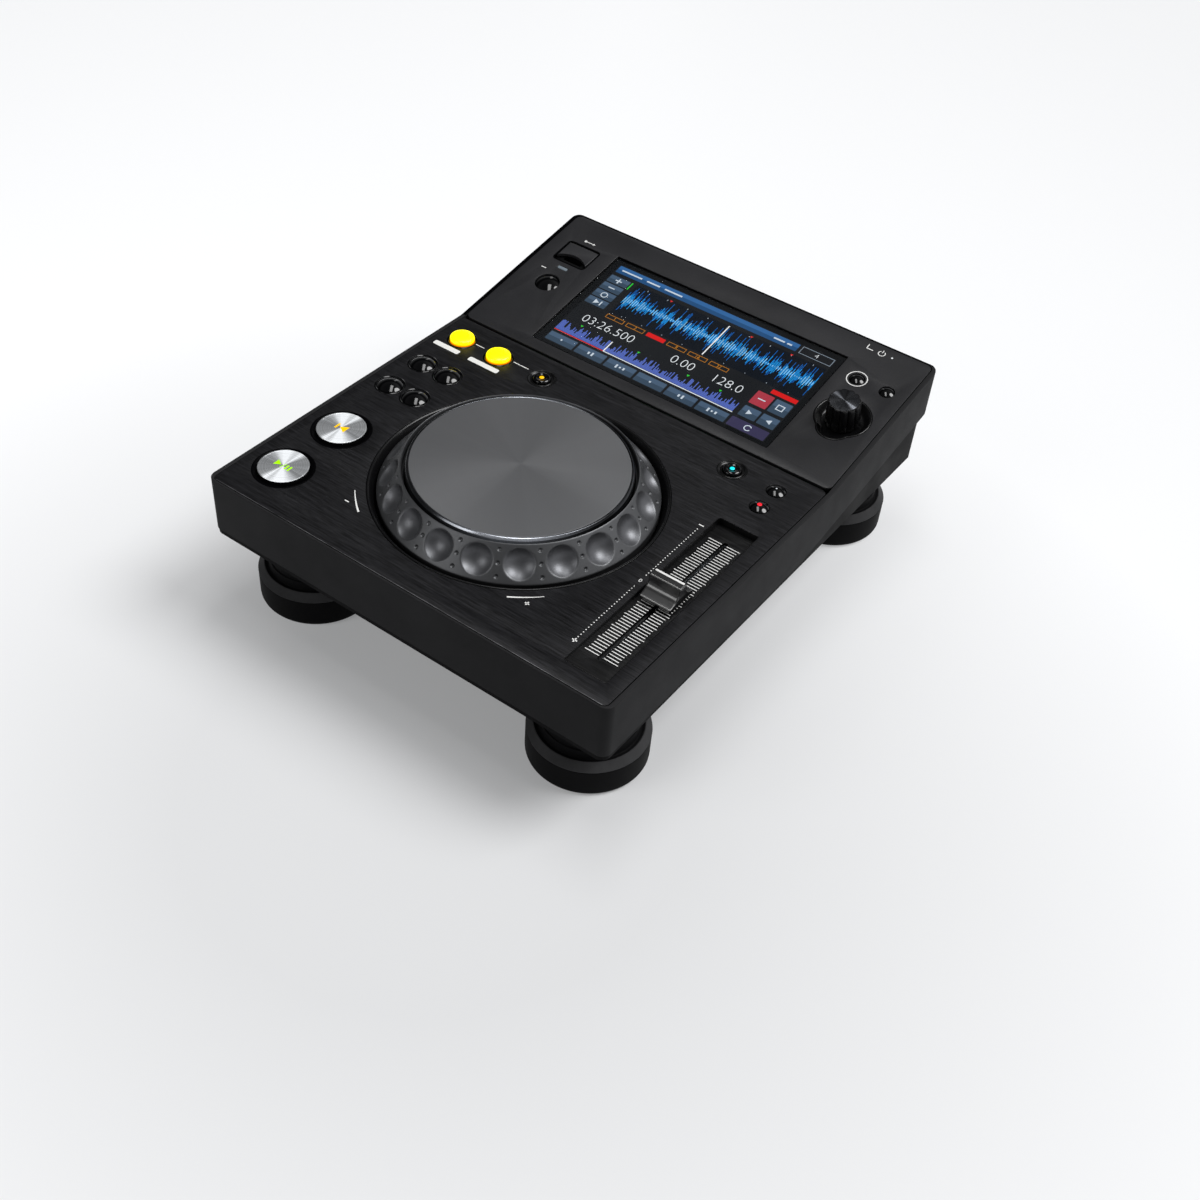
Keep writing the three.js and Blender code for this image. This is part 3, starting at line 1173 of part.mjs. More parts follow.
const PANEL_BOSSES = [
  [USB_X, STOP_REACH - USB_BOARD_REACH + BOARD_BOSS_RADIUS],
  [USB_X, STOP_REACH + USB_BOARD_REACH - BOARD_BOSS_RADIUS],
  [(BACK_X + TAG_X) / 2, BACK_REACH - SCREEN_BOARD_REACH + BOARD_BOSS_RADIUS],
  [(BACK_X + TAG_X) / 2, BACK_REACH + SCREEN_BOARD_REACH - BOARD_BOSS_RADIUS],
];

function selectorOpening(radius, scoopRadius, z0, z1) {
  return join(
    rod(radius, SELECTOR_X, SELECTOR_REACH, z0, z1, LARGE_KEY_STEPS),
    rod(scoopRadius, SELECTOR_X, SELECTOR_REACH - SCOOP_OFFSET, z0, z1, LARGE_KEY_STEPS),
  );
}

function makeScreenPanel() {
  const outline = roundedRectangle(
    -PANEL_HALF_WIDTH, PANEL_HALF_WIDTH, BEND_GROOVE, PANEL_LENGTH, CORNER_RADIUS - REAR_RIM);
  const plate = upright(outline, -PANEL_THICKNESS, 0);
  const top = CUT_OVERRUN;
  const bottom = -PANEL_THICKNESS - CUT_OVERRUN;
  const window = block(
    [-SCREEN_WIDTH / 2, SCREEN_START, bottom],
    [SCREEN_WIDTH / 2, SCREEN_START + SCREEN_LENGTH, top],
  );
  const coverHole = block(
    [USB_X - USB_COVER_WIDTH / 2 - FIT_GAP, USB_COVER_START - FIT_GAP, bottom],
    [USB_X + USB_COVER_WIDTH / 2 + FIT_GAP, USB_COVER_START + USB_COVER_LENGTH + FIT_GAP, top],
  );
  const barHole = block(
    [USB_X - USB_BAR_WIDTH / 2 - FIT_GAP, USB_BAR_REACH - USB_BAR_LENGTH / 2 - FIT_GAP, bottom],
    [USB_X + USB_BAR_WIDTH / 2 + FIT_GAP, USB_BAR_REACH + USB_BAR_LENGTH / 2 + FIT_GAP, top],
  );
  const keyHoles = PANEL_KEYS.map(({ x, reach, kind }) => rod(
    KEY_KINDS[kind].radius + FIT_GAP, x, reach, bottom, top));
  const dishHole = selectorOpening(DISH_RADIUS + FIT_GAP, SCOOP_RADIUS + FIT_GAP, bottom, top);
  const solid = cut(plate, window, coverHole, barHole, dishHole, ...keyHoles);
  return join(solid, ...keyBoardBosses(PANEL_BOSSES, PANEL_THICKNESS));
}

const GLASS_BOTTOM = -GLASS_RECESS - GLASS_THICKNESS;

// The glass fills the window, and the module behind it laps the window's edge
function makeGlass() {
  return block(
    [-SCREEN_WIDTH / 2 + FIT_GAP, SCREEN_START + FIT_GAP, GLASS_BOTTOM],
    [SCREEN_WIDTH / 2 - FIT_GAP, SCREEN_START + SCREEN_LENGTH - FIT_GAP, -GLASS_RECESS],
  );
}

function makeLcdModule() {
  const top = GLASS_BOTTOM - FIT_GAP;
  return block(
    [-SCREEN_WIDTH / 2 - GLASS_BORDER, SCREEN_START - GLASS_BORDER, top - LCD_THICKNESS],
    [SCREEN_WIDTH / 2 + GLASS_BORDER, SCREEN_START + SCREEN_LENGTH + GLASS_BORDER, top],
  );
}

function makePanelKeyBoard(x0, x1, reach, halfLength) {
  const top = -boardDrop(PANEL_THICKNESS);
  return block(
    [x0 - PANEL_BOARD_MARGIN, reach - halfLength, top - BOARD_THICKNESS],
    [x1 + PANEL_BOARD_MARGIN, reach + halfLength, top],
  );
}

// The selector's dish has a thumb scoop at the front, and hangs by its flange
function makeSelectorDish() {
  const flangeTop = -PANEL_THICKNESS - FIT_GAP;
  const floorBottom = -DISH_DEPTH - DISH_WALL;
  const cup = (radius, floorRadius, y) => turned([
    [0, -DISH_DEPTH],
    [floorRadius, -DISH_DEPTH],
    [radius, CUT_OVERRUN],
    [0, CUT_OVERRUN],
  ], SELECTOR_X, y, 0, LARGE_KEY_STEPS);
  const flangeRadius = DISH_RADIUS + DISH_FLANGE;
  const flangeScoopRadius = SCOOP_RADIUS + DISH_FLANGE;
  const outside = join(
    selectorOpening(DISH_RADIUS, SCOOP_RADIUS, floorBottom, 0),
    selectorOpening(flangeRadius, flangeScoopRadius, flangeTop - DISH_WALL, flangeTop),
  );
  return cut(
    outside,
    cup(DISH_RADIUS, DISH_FLOOR_RADIUS, SELECTOR_REACH),
    cup(SCOOP_RADIUS, SCOOP_FLOOR_RADIUS, SELECTOR_REACH - SCOOP_OFFSET),
    rod(SHAFT_RADIUS + FIT_GAP, SELECTOR_X, SELECTOR_REACH, floorBottom - CUT_OVERRUN, 0),
  );
}

const ENCODER_BODY_TOP = -DISH_DEPTH - DISH_WALL - FIT_GAP;
const ROTOR_TOP = ENCODER_BODY_TOP - ENCODER_BODY_HEIGHT / 2;
const KNOB_BOTTOM = -DISH_DEPTH + KNOB_PUSH + FIT_GAP;

// The encoder's case is open below its lid's bore and above its floor
function makeSelectorEncoder() {
  const half = ENCODER_BODY_WIDTH / 2;
  const bottom = ENCODER_BODY_TOP - ENCODER_BODY_HEIGHT - ROTOR_THICKNESS;
  const drill = (radius, z0, z1) => rod(radius, SELECTOR_X, SELECTOR_REACH, z0, z1);
  return cut(
    block(
      [SELECTOR_X - half, SELECTOR_REACH - half, bottom],
      [SELECTOR_X + half, SELECTOR_REACH + half, ENCODER_BODY_TOP],
    ),
    drill(ROTOR_RADIUS + FIT_GAP, bottom + ROTOR_THICKNESS, ROTOR_TOP + FIT_GAP),
    drill(SHAFT_RADIUS + FIT_GAP, bottom - CUT_OVERRUN, ENCODER_BODY_TOP + CUT_OVERRUN),
  );
}

function makeSelectorRotor() {
  return cut(
    rod(ROTOR_RADIUS, 0, 0, ROTOR_TOP - ROTOR_THICKNESS, ROTOR_TOP),
    rod(SHAFT_RADIUS + FIT_GAP, 0, 0, ROTOR_TOP - ROTOR_THICKNESS - CUT_OVERRUN, ROTOR_TOP + CUT_OVERRUN),
  );
}

function makeSelectorShaft() {
  const bottom = ROTOR_TOP - ROTOR_THICKNESS;
  return rod(SHAFT_RADIUS, 0, 0, bottom, KNOB_HEIGHT - KNOB_SKIN - FIT_GAP);
}

function makeSelectorKnob() {
  const body = turned([
    [0, KNOB_HEIGHT],
    [KNOB_TOP_RADIUS - KNOB_BEVEL, KNOB_HEIGHT],
    [KNOB_TOP_RADIUS, KNOB_HEIGHT - KNOB_BEVEL],
    [KNOB_BASE_RADIUS, KNOB_BOTTOM],
    [0, KNOB_BOTTOM],
  ], 0, 0, 0, LARGE_KEY_STEPS);
  const bore = rod(SHAFT_RADIUS + FIT_GAP, 0, 0, KNOB_BOTTOM - CUT_OVERRUN, KNOB_HEIGHT - KNOB_SKIN);
  const lean = Math.atan((KNOB_BASE_RADIUS - KNOB_TOP_RADIUS) / (KNOB_HEIGHT - KNOB_BOTTOM));
  const flutes = Array.from({ length: FLUTES }, (_, i) => {
    const geometry = new THREE.CylinderGeometry(FLUTE_RADIUS, FLUTE_RADIUS, KNOB_HEIGHT * 2, SMALL_STEPS);
    geometry.rotateX(Math.PI / 2);
    geometry.rotateY(-lean);
    geometry.translate((KNOB_TOP_RADIUS + KNOB_BASE_RADIUS + FLUTE_RADIUS) / 2, 0, KNOB_HEIGHT / 2);
    geometry.rotateZ((i / FLUTES) * 2 * Math.PI);
    return toSolid(geometry);
  });
  return cut(body, bore, ...flutes);
}

// USB port: the socket fills the hole under the cover
function makeUsbSocket() {
  const top = -USB_COVER_THICKNESS - 2 * FIT_GAP;
  const halfWidth = USB_COVER_WIDTH / 2;
  const middle = USB_COVER_START + USB_COVER_LENGTH / 2;
  const bottom = -PANEL_THICKNESS - USB_BODY_DEPTH;
  const flangeTop = -PANEL_THICKNESS - FIT_GAP;
  const flangeReach = FIT_GAP + USB_FLANGE;
  const rear = USB_COVER_START + USB_COVER_LENGTH - 2 * USB_HINGE_RADIUS - FIT_GAP;
  const flange = block(
    [USB_X - halfWidth - flangeReach, USB_COVER_START - flangeReach, flangeTop - USB_FLANGE_THICKNESS],
    [USB_X + halfWidth + flangeReach, rear, flangeTop],
  );
  const body = block(
    [USB_X - halfWidth + USB_BODY_INSET, USB_COVER_START + USB_BODY_INSET, bottom],
    [USB_X + halfWidth - USB_BODY_INSET, rear, top],
  );
  const slot = block(
    [USB_X - USB_SLOT_WIDTH / 2, middle - USB_SLOT_HEIGHT, top - USB_SLOT_DEPTH],
    [USB_X + USB_SLOT_WIDTH / 2, middle, CUT_OVERRUN],
  );
  const tongueRear = middle - FIT_GAP;
  const tongue = block(
    [USB_X - USB_TONGUE_WIDTH / 2, tongueRear - USB_TONGUE_THICKNESS, top - USB_SLOT_DEPTH - CUT_OVERRUN],
    [USB_X + USB_TONGUE_WIDTH / 2, tongueRear, top - USB_TONGUE_RECESS],
  );
  return join(cut(join(flange, body), slot), tongue);
}

// A flap with a thumb scoop at the front and a round hinge at the rear, about
// its own hinge line
const USB_HINGE_REACH = USB_COVER_START + USB_COVER_LENGTH - USB_HINGE_RADIUS;

function makeUsbCover() {
  const halfWidth = USB_COVER_WIDTH / 2;
  const front = -(USB_COVER_LENGTH - USB_HINGE_RADIUS);
  const underside = USB_HINGE_RADIUS - USB_COVER_THICKNESS;
  const flap = block([-halfWidth, front, underside], [halfWidth, 0, USB_HINGE_RADIUS]);
  const hinge = rodAlongX(USB_HINGE_RADIUS, 0, 0, -halfWidth, halfWidth);
  const scoop = rod(
    USB_SCOOP_RADIUS, 0, front - USB_SCOOP_RADIUS + USB_SCOOP_BITE,
    -USB_COVER_THICKNESS, USB_COVER_THICKNESS + CUT_OVERRUN, LARGE_KEY_STEPS);
  return cut(join(flap, hinge), scoop);
}

function makeUsbLightBar() {
  return block(
    [USB_X - USB_BAR_WIDTH / 2, USB_BAR_REACH - USB_BAR_LENGTH / 2, -USB_BAR_DEPTH],
    [USB_X + USB_BAR_WIDTH / 2, USB_BAR_REACH + USB_BAR_LENGTH / 2, 0],
  );
}

// Boards in the lower case

function makeMainBoard() {
  const middleX = (-BOARD_SIDE_X + MAIN_BOARD_END_X) / 2;
  const middleY = (fromFront(MAIN_BOARD_START) + BOARD_REAR_Y) / 2;
  const board = block(
    [-BOARD_SIDE_X, fromFront(MAIN_BOARD_START), BOARD_Z],
    [MAIN_BOARD_END_X, BOARD_REAR_Y, BOARD_TOP_Z],
  );
  const chips = [-1, 0, 1].map((step) => block(
    [middleX + (step * 2 - 1 / 2) * CHIP_WIDTH, middleY - CHIP_WIDTH / 2, BOARD_Z],
    [middleX + (step * 2 + 1 / 2) * CHIP_WIDTH, middleY + CHIP_WIDTH / 2, BOARD_TOP_Z + CHIP_HEIGHT],
  ));
  return join(board, ...chips);
}

function makePowerBoard() {
  const middleX = (POWER_BOARD_START_X + BOARD_SIDE_X) / 2;
  const middleY = (fromFront(POWER_BOARD_START) + BOARD_REAR_Y) / 2;
  const board = block(
    [POWER_BOARD_START_X, fromFront(POWER_BOARD_START), BOARD_Z],
    [BOARD_SIDE_X, BOARD_REAR_Y, BOARD_TOP_Z],
  );
  const transformer = block(
    [middleX, middleY - TRANSFORMER_WIDTH / 2, BOARD_Z],
    [middleX + TRANSFORMER_WIDTH, middleY + TRANSFORMER_WIDTH / 2, BOARD_TOP_Z + TRANSFORMER_HEIGHT],
  );
  const capacitors = [-1, 0, 1].map((step) => rod(
    CAPACITOR_RADIUS, middleX - CAPACITOR_PITCH, middleY + step * CAPACITOR_PITCH,
    BOARD_Z, BOARD_TOP_Z + CAPACITOR_HEIGHT, SMALL_STEPS));
  return join(board, transformer, ...capacitors);
}

// Rear jacks

function makeJackPlate() {
  const plate = jackWindow(JACK_PLATE_LAP, JACK_BACK_Y, JACK_FACE_Y);
  const y0 = JACK_BACK_Y - CUT_OVERRUN;
  const y1 = JACK_FACE_Y + CUT_OVERRUN;
  const hole = (x, width, z0, z1) => block(
    [x - width / 2 - FIT_GAP, y0, z0 - FIT_GAP],
    [x + width / 2 + FIT_GAP, y1, z1 + FIT_GAP],
  );
  const phono = [PHONO_LEFT_X, PHONO_RIGHT_X]
    .map((x) => rodAlongY(PHONO_RADIUS + PHONO_MARGIN, x, JACK_Z, y0, y1));
  return cut(
    plate,
    hole(MAINS_X, MAINS_WIDTH, JACK_Z - MAINS_HEIGHT / 2, JACK_Z + MAINS_HEIGHT / 2),
    hole(NETWORK_X, NETWORK_WIDTH, BOARD_TOP_Z + FIT_GAP, BOARD_TOP_Z + FIT_GAP + NETWORK_HEIGHT),
    hole(USB_B_X, USB_B_WIDTH, BOARD_TOP_Z + FIT_GAP, BOARD_TOP_Z + FIT_GAP + USB_B_HEIGHT),
    ...phono,
  );
}

function makeMainsInlet() {
  const y0 = JACK_BACK_Y - MAINS_BODY_DEPTH;
  const faceY = JACK_FACE_Y + FIT_GAP;
  const frontY = faceY + MAINS_CAVITY_WALL;
  const halfWidth = MAINS_WIDTH / 2;
  const halfHeight = MAINS_HEIGHT / 2;
  const body = block(
    [MAINS_X - halfWidth, y0, JACK_Z - halfHeight],
    [MAINS_X + halfWidth, frontY, JACK_Z + halfHeight],
  );
  const flange = block(
    [MAINS_X - MAINS_FLANGE_WIDTH / 2, faceY, JACK_Z - halfHeight],
    [MAINS_X + MAINS_FLANGE_WIDTH / 2, frontY, JACK_Z + halfHeight],
  );
  const cavityX = halfWidth - MAINS_CAVITY_WALL;
  const cavityZ = halfHeight - MAINS_CAVITY_WALL;
  const cavity = block(
    [MAINS_X - cavityX, y0 + MAINS_CAVITY_WALL, JACK_Z - cavityZ],
    [MAINS_X + cavityX, frontY + CUT_OVERRUN, JACK_Z + cavityZ],
  );
  const pin = (x, z) => block(
    [x - MAINS_PIN_WIDTH / 2, y0, z - MAINS_PIN_HEIGHT / 2],
    [x + MAINS_PIN_WIDTH / 2, faceY, z + MAINS_PIN_HEIGHT / 2],
  );
  const earthZ = JACK_Z + MAINS_PIN_DROP / 2;
  const lineZ = JACK_Z - MAINS_PIN_DROP / 2;
  return join(
    cut(join(body, flange), cavity),
    pin(MAINS_X - MAINS_PIN_PITCH / 2, lineZ),
    pin(MAINS_X + MAINS_PIN_PITCH / 2, lineZ),
    pin(MAINS_X, earthZ),
  );
}

function makePhonoJack(x) {
  const collarY = JACK_FACE_Y + FIT_GAP;
  const tipY = JACK_FACE_Y + PHONO_REACH;
  const bodyY = JACK_BACK_Y - FIT_GAP;
  return cut(
    join(
      rodAlongY(PHONO_RADIUS, x, JACK_Z, bodyY - PHONO_BODY_DEPTH / 2, tipY),
      rodAlongY(PHONO_COLLAR_RADIUS, x, JACK_Z, collarY, collarY + PHONO_COLLAR_THICKNESS),
      block(
        [x - PHONO_BODY_WIDTH / 2, bodyY - PHONO_BODY_DEPTH, BOARD_TOP_Z + FIT_GAP],
        [x + PHONO_BODY_WIDTH / 2, bodyY, JACK_Z + PHONO_BODY_WIDTH / 2],
      ),
    ),
    rodAlongY(PHONO_BORE_RADIUS, x, JACK_Z, tipY - PHONO_BORE_DEPTH, tipY + CUT_OVERRUN),
  );
}

function makeNetworkJack() {
  const z0 = BOARD_TOP_Z + FIT_GAP;
  const y1 = JACK_FACE_Y + FIT_GAP;
  const body = block(
    [NETWORK_X - NETWORK_WIDTH / 2, y1 - NETWORK_DEPTH, z0],
    [NETWORK_X + NETWORK_WIDTH / 2, y1, z0 + NETWORK_HEIGHT],
  );
  const hole = block(
    [NETWORK_X - NETWORK_HOLE_WIDTH / 2, y1 - NETWORK_HOLE_DEPTH, z0 + NETWORK_SILL],
    [NETWORK_X + NETWORK_HOLE_WIDTH / 2, y1 + CUT_OVERRUN, z0 + NETWORK_SILL + NETWORK_HOLE_HEIGHT],
  );
  return cut(body, hole);
}

function makeUsbBJack() {
  const z0 = BOARD_TOP_Z + FIT_GAP;
  const y1 = JACK_FACE_Y + FIT_GAP;
  const middleZ = z0 + USB_B_HEIGHT / 2;
  const body = block(
    [USB_B_X - USB_B_WIDTH / 2, y1 - USB_B_DEPTH, z0],
    [USB_B_X + USB_B_WIDTH / 2, y1, z0 + USB_B_HEIGHT],
  );
  const hole = block(
    [USB_B_X - USB_B_HOLE_WIDTH / 2, y1 - USB_B_HOLE_DEPTH, middleZ - USB_B_HOLE_HEIGHT / 2],
    [USB_B_X + USB_B_HOLE_WIDTH / 2, y1 + CUT_OVERRUN, middleZ + USB_B_HOLE_HEIGHT / 2],
  );
  const tongue = block(
    [USB_B_X - USB_B_TONGUE_WIDTH / 2, y1 - USB_B_DEPTH, middleZ - USB_B_TONGUE_HEIGHT / 2],
    [USB_B_X + USB_B_TONGUE_WIDTH / 2, y1 - CUT_OVERRUN, middleZ + USB_B_TONGUE_HEIGHT / 2],
  );
  return join(cut(body, hole), tongue);
}

// The power button passes the housing's rear wall
function makePowerButton() {
  const innerY = REAR_Y - SHELL_WALL - FIT_GAP;
  return join(
    rodAlongY(POWER_RADIUS, POWER_X, POWER_Z, innerY - POWER_DEPTH, REAR_Y - POWER_RISE),
    rodAlongY(POWER_RADIUS + KEY_FLANGE, POWER_X, POWER_Z, innerY - KEY_FLANGE_THICKNESS, innerY),
  );
}

// The whole player

addPiece(player, 'lower_case', makeLowerCase(), blackPlastic);
addPiece(player, 'upper_case', makeUpperCase(), charcoalPlastic);
for (const [name, [x, y]] of Object.entries(FOOT_PLACES)) {
  addPiece(player, name, makeFoot(x, y), blackRubber);
}

const deck = new THREE.Group();
deck.position.z = DECK_Z;
player.add(deck);
addPiece(deck, 'deck_plate', makeDeckPlate(), brushedBlack);
addPiece(deck, 'deck_key_board', makeDeckKeyBoard(), boardGreen);
addPiece(deck, 'tempo_key_board', makeTempoKeyBoard(), boardGreen);
for (const { name, x, depth, kind } of DECK_KEYS) {
  const key = addPiece(deck, name, makeKey(kind, DECK_THICKNESS), KEY_KINDS[kind].material);
  key.position.set(x, fromFront(depth), 0);
}
for (const [name, depth] of [['play', PLAY_DEPTH], ['cue', CUE_DEPTH]]) {
  const cap = makeKey('main', DECK_THICKNESS, LARGE_KEY_STEPS);
  const key = addPiece(deck, `${name}_button`, cap, spunSilver);
  const ring = addPiece(deck, `${name}_ring`, makeKeyRing(), glossBlack);
  key.position.set(MAIN_KEY_X, fromFront(depth), 0);
  ring.position.copy(key.position);
}

const jog = new THREE.Group();
jog.position.set(JOG_X, JOG_Y, 0);
deck.add(jog);
addPiece(jog, 'jog_well', makeJogWell(), blackPlastic);
addPiece(jog, 'jog_bearing', makeJogBearing(), ivoryPlastic);
addPiece(jog, 'jog_spindle', makeJogSpindle(), bareSteel);
addPiece(jog, 'jog_wheel', makeJogWheel(), greyRing);
addPiece(jog, 'jog_platter', makeJogPlatter(), spunGrey);
addPiece(jog, 'jog_encoder_disc', makeEncoderDisc(), bareSteel);
addPiece(jog, 'jog_sensor', makeJogSensor(), blackPlastic);

const fader = new THREE.Group();
fader.position.set(FADER_X, FADER_Y, 0);
deck.add(fader);
addPiece(fader, 'fader_tray', makeFaderTray(), blackPlastic);
addPiece(fader, 'fader_track', makeFaderTrack(), bareSteel);
addPiece(fader, 'fader_lever', makeFaderLever(), bareSteel);
addPiece(fader, 'fader_cap', makeFaderCap(), blackPlastic);

addPiece(panel, 'screen_panel', makeScreenPanel(), charcoalPlastic);
addPiece(panel, 'screen_glass', makeGlass(), screenGlass);
addPiece(panel, 'lcd_module', makeLcdModule(), bareSteel);
const usbBoard = makePanelKeyBoard(USB_X, USB_X, STOP_REACH, USB_BOARD_REACH);
const screenBoard = makePanelKeyBoard(BACK_X, TAG_X, BACK_REACH, SCREEN_BOARD_REACH);
addPiece(panel, 'usb_key_board', usbBoard, boardGreen);
addPiece(panel, 'screen_key_board', screenBoard, boardGreen);
for (const { name, x, reach, kind } of PANEL_KEYS) {
  const key = addPiece(panel, name, makeKey(kind, PANEL_THICKNESS), KEY_KINDS[kind].material);
  key.position.set(x, reach, 0);
}
addPiece(panel, 'selector_dish', makeSelectorDish(), glossBlack);
addPiece(panel, 'selector_encoder', makeSelectorEncoder(), bareSteel);
const selectorPieces = [
  ['selector_rotor', makeSelectorRotor(), ivoryPlastic],
  ['selector_shaft', makeSelectorShaft(), bareSteel],
  ['selector_knob', makeSelectorKnob(), blackPlastic],
];
for (const [name, solid, material] of selectorPieces) {
  addPiece(panel, name, solid, material).position.set(SELECTOR_X, SELECTOR_REACH, 0);
}
addPiece(panel, 'usb_socket', makeUsbSocket(), blackPlastic);
const usbCover = addPiece(panel, 'usb_cover', makeUsbCover(), blackPlastic);
usbCover.position.set(USB_X, USB_HINGE_REACH, -USB_HINGE_RADIUS);
addPiece(panel, 'usb_light_bar', makeUsbLightBar(), ivoryPlastic);

addPiece(player, 'main_board', makeMainBoard(), boardGreen);
addPiece(player, 'power_board', makePowerBoard(), boardGreen);
addPiece(player, 'rear_jack_plate', makeJackPlate(), blackPlastic);
addPiece(player, 'mains_inlet', makeMainsInlet(), blackPlastic);
addPiece(player, 'phono_jack_left', makePhonoJack(PHONO_LEFT_X), spunSilver);
addPiece(player, 'phono_jack_right', makePhonoJack(PHONO_RIGHT_X), spunSilver);
addPiece(player, 'network_jack', makeNetworkJack(), bareSteel);
addPiece(player, 'usb_b_jack', makeUsbBJack(), bareSteel);
addPiece(player, 'power_button', makePowerButton(), blackPlastic);

export default player;
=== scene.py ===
"""The looks of a table-top dj multi player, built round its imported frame.

Sizes are in millimetres on two working planes, the flat deck and the tilted
screen panel behind it. Every finished mesh is placed in the world in metres.
"""

from __future__ import annotations

import logging
import math
from dataclasses import asdict, dataclass, field
from enum import Enum, StrEnum
from typing import Callable, Iterable, Sequence

import bmesh
import bpy
from mathutils import Matrix, Vector

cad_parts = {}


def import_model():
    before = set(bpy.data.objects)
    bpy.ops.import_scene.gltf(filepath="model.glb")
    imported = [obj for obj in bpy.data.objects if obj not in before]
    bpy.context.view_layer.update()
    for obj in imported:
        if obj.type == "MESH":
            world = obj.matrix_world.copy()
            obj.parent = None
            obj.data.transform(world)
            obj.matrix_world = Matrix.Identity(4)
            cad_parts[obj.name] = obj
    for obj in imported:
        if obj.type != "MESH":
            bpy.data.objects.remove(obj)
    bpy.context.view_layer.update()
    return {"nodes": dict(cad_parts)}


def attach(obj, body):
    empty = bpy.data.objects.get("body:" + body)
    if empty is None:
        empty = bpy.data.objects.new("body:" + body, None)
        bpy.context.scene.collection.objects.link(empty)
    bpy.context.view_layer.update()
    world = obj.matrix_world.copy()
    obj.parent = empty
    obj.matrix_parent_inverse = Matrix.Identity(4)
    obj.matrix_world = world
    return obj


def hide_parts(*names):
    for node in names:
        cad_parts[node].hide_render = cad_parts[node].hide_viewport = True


log = logging.getLogger("player")

MM = 0.001
TURN = 2 * math.pi

Point = tuple[float, float]
Place = tuple[float, float, float]
Box = tuple[float, float, float, float]
Colour = tuple[float, float, float, float]
Profile = list[Point]
Mesh = bmesh.types.BMesh
Socket = bpy.types.NodeSocket
Material = bpy.types.Material
Inputs = dict[str | int, object]


class Body(StrEnum):
    """The bodies of the frame that pieces ride on, the keys' own ones apart."""

    CASE = "case"
    WHEEL = "jog_turning"
    PLATTER = "jog_top"
    FADER = "tempo_fader"
    KNOB = "selector_pushing"
    FLAP = "usb_flap"
    POWER = "power_key"


class Slot(StrEnum):
    """The record's material slots."""

    CHARCOAL = "charcoal_plastic"
    BLACK = "black_plastic"
    GLOSS = "gloss_black"
    BRUSHED = "brushed_black"
    RUBBER = "black_rubber"
    RING = "grey_ring"
    PLATTER = "spun_grey"
    SILVER = "spun_silver"
    YELLOW = "lit_yellow"
    GLASS = "screen_glass"
    STEEL = "bare_steel"
    IVORY = "ivory_plastic"


def paint(code: str) -> Colour:
    """The linear colour of a six-figure display colour."""
    channels = [int(code[i : i + 2], 16) / 255 for i in (0, 2, 4)]
    return (*(c / 12.92 if c <= 0.04045 else ((c + 0.055) / 1.055) ** 2.4 for c in channels), 1.0)


def shade(colour: Colour, factor: float) -> Colour:
    """A colour made lighter or darker."""
    return (*(channel * factor for channel in colour[:3]), 1.0)


# Working planes


@dataclass(frozen=True)
class Plane:
    """A working plane: x across, y away from the user, z out of it.

    Args:
        y: world place of the plane's own zero, millimetres.
        z: world height of the plane's own zero, millimetres.
        tilt: how far the plane leans towards the user, degrees.
    """

    y: float
    z: float
    tilt: float = 0.0

    def matrix(self, x: float = 0.0, y: float = 0.0, z: float = 0.0, turn: float = 0.0) -> Matrix:
        """The matrix that carries millimetres at a place on the plane to world metres.

        Args:
            x: place across the plane.
            y: place up the plane.
            z: height above the plane.
            turn: turn about the plane's normal, radians.

        Returns:
            The matrix.
        """
        base = Matrix.Translation(Vector((0, self.y, self.z)) * MM)
        lean = Matrix.Rotation(math.radians(self.tilt), 4, "X")
        local = Matrix.Translation((x, y, z)) @ Matrix.Rotation(turn, 4, "Z")
        return base @ lean @ Matrix.Scale(MM, 4) @ local


CASE_WIDTH = 244.7
REAR = 301.704 / 2
DECK_Z = 80.0
PANEL_TILT = 10.4
SLOPE = math.tan(math.radians(PANEL_TILT))
PLATE_HALF = 119.5
DECK = Plane(-REAR, DECK_Z)
PANEL = Plane(193.0 - REAR, DECK_Z, PANEL_TILT)
WORLD = Plane(0.0, 0.0)
JOG = (-1.2, 94.3)
WINDOW = (-77.5, 77.5, 8.2, 91.0)
FLAP_OPENING = (-109.0, -87.8, 69.5, 86.7)
LIGHT_OPENING = (-101.8, -95.0, 63.2, 65.6)


# Node trees


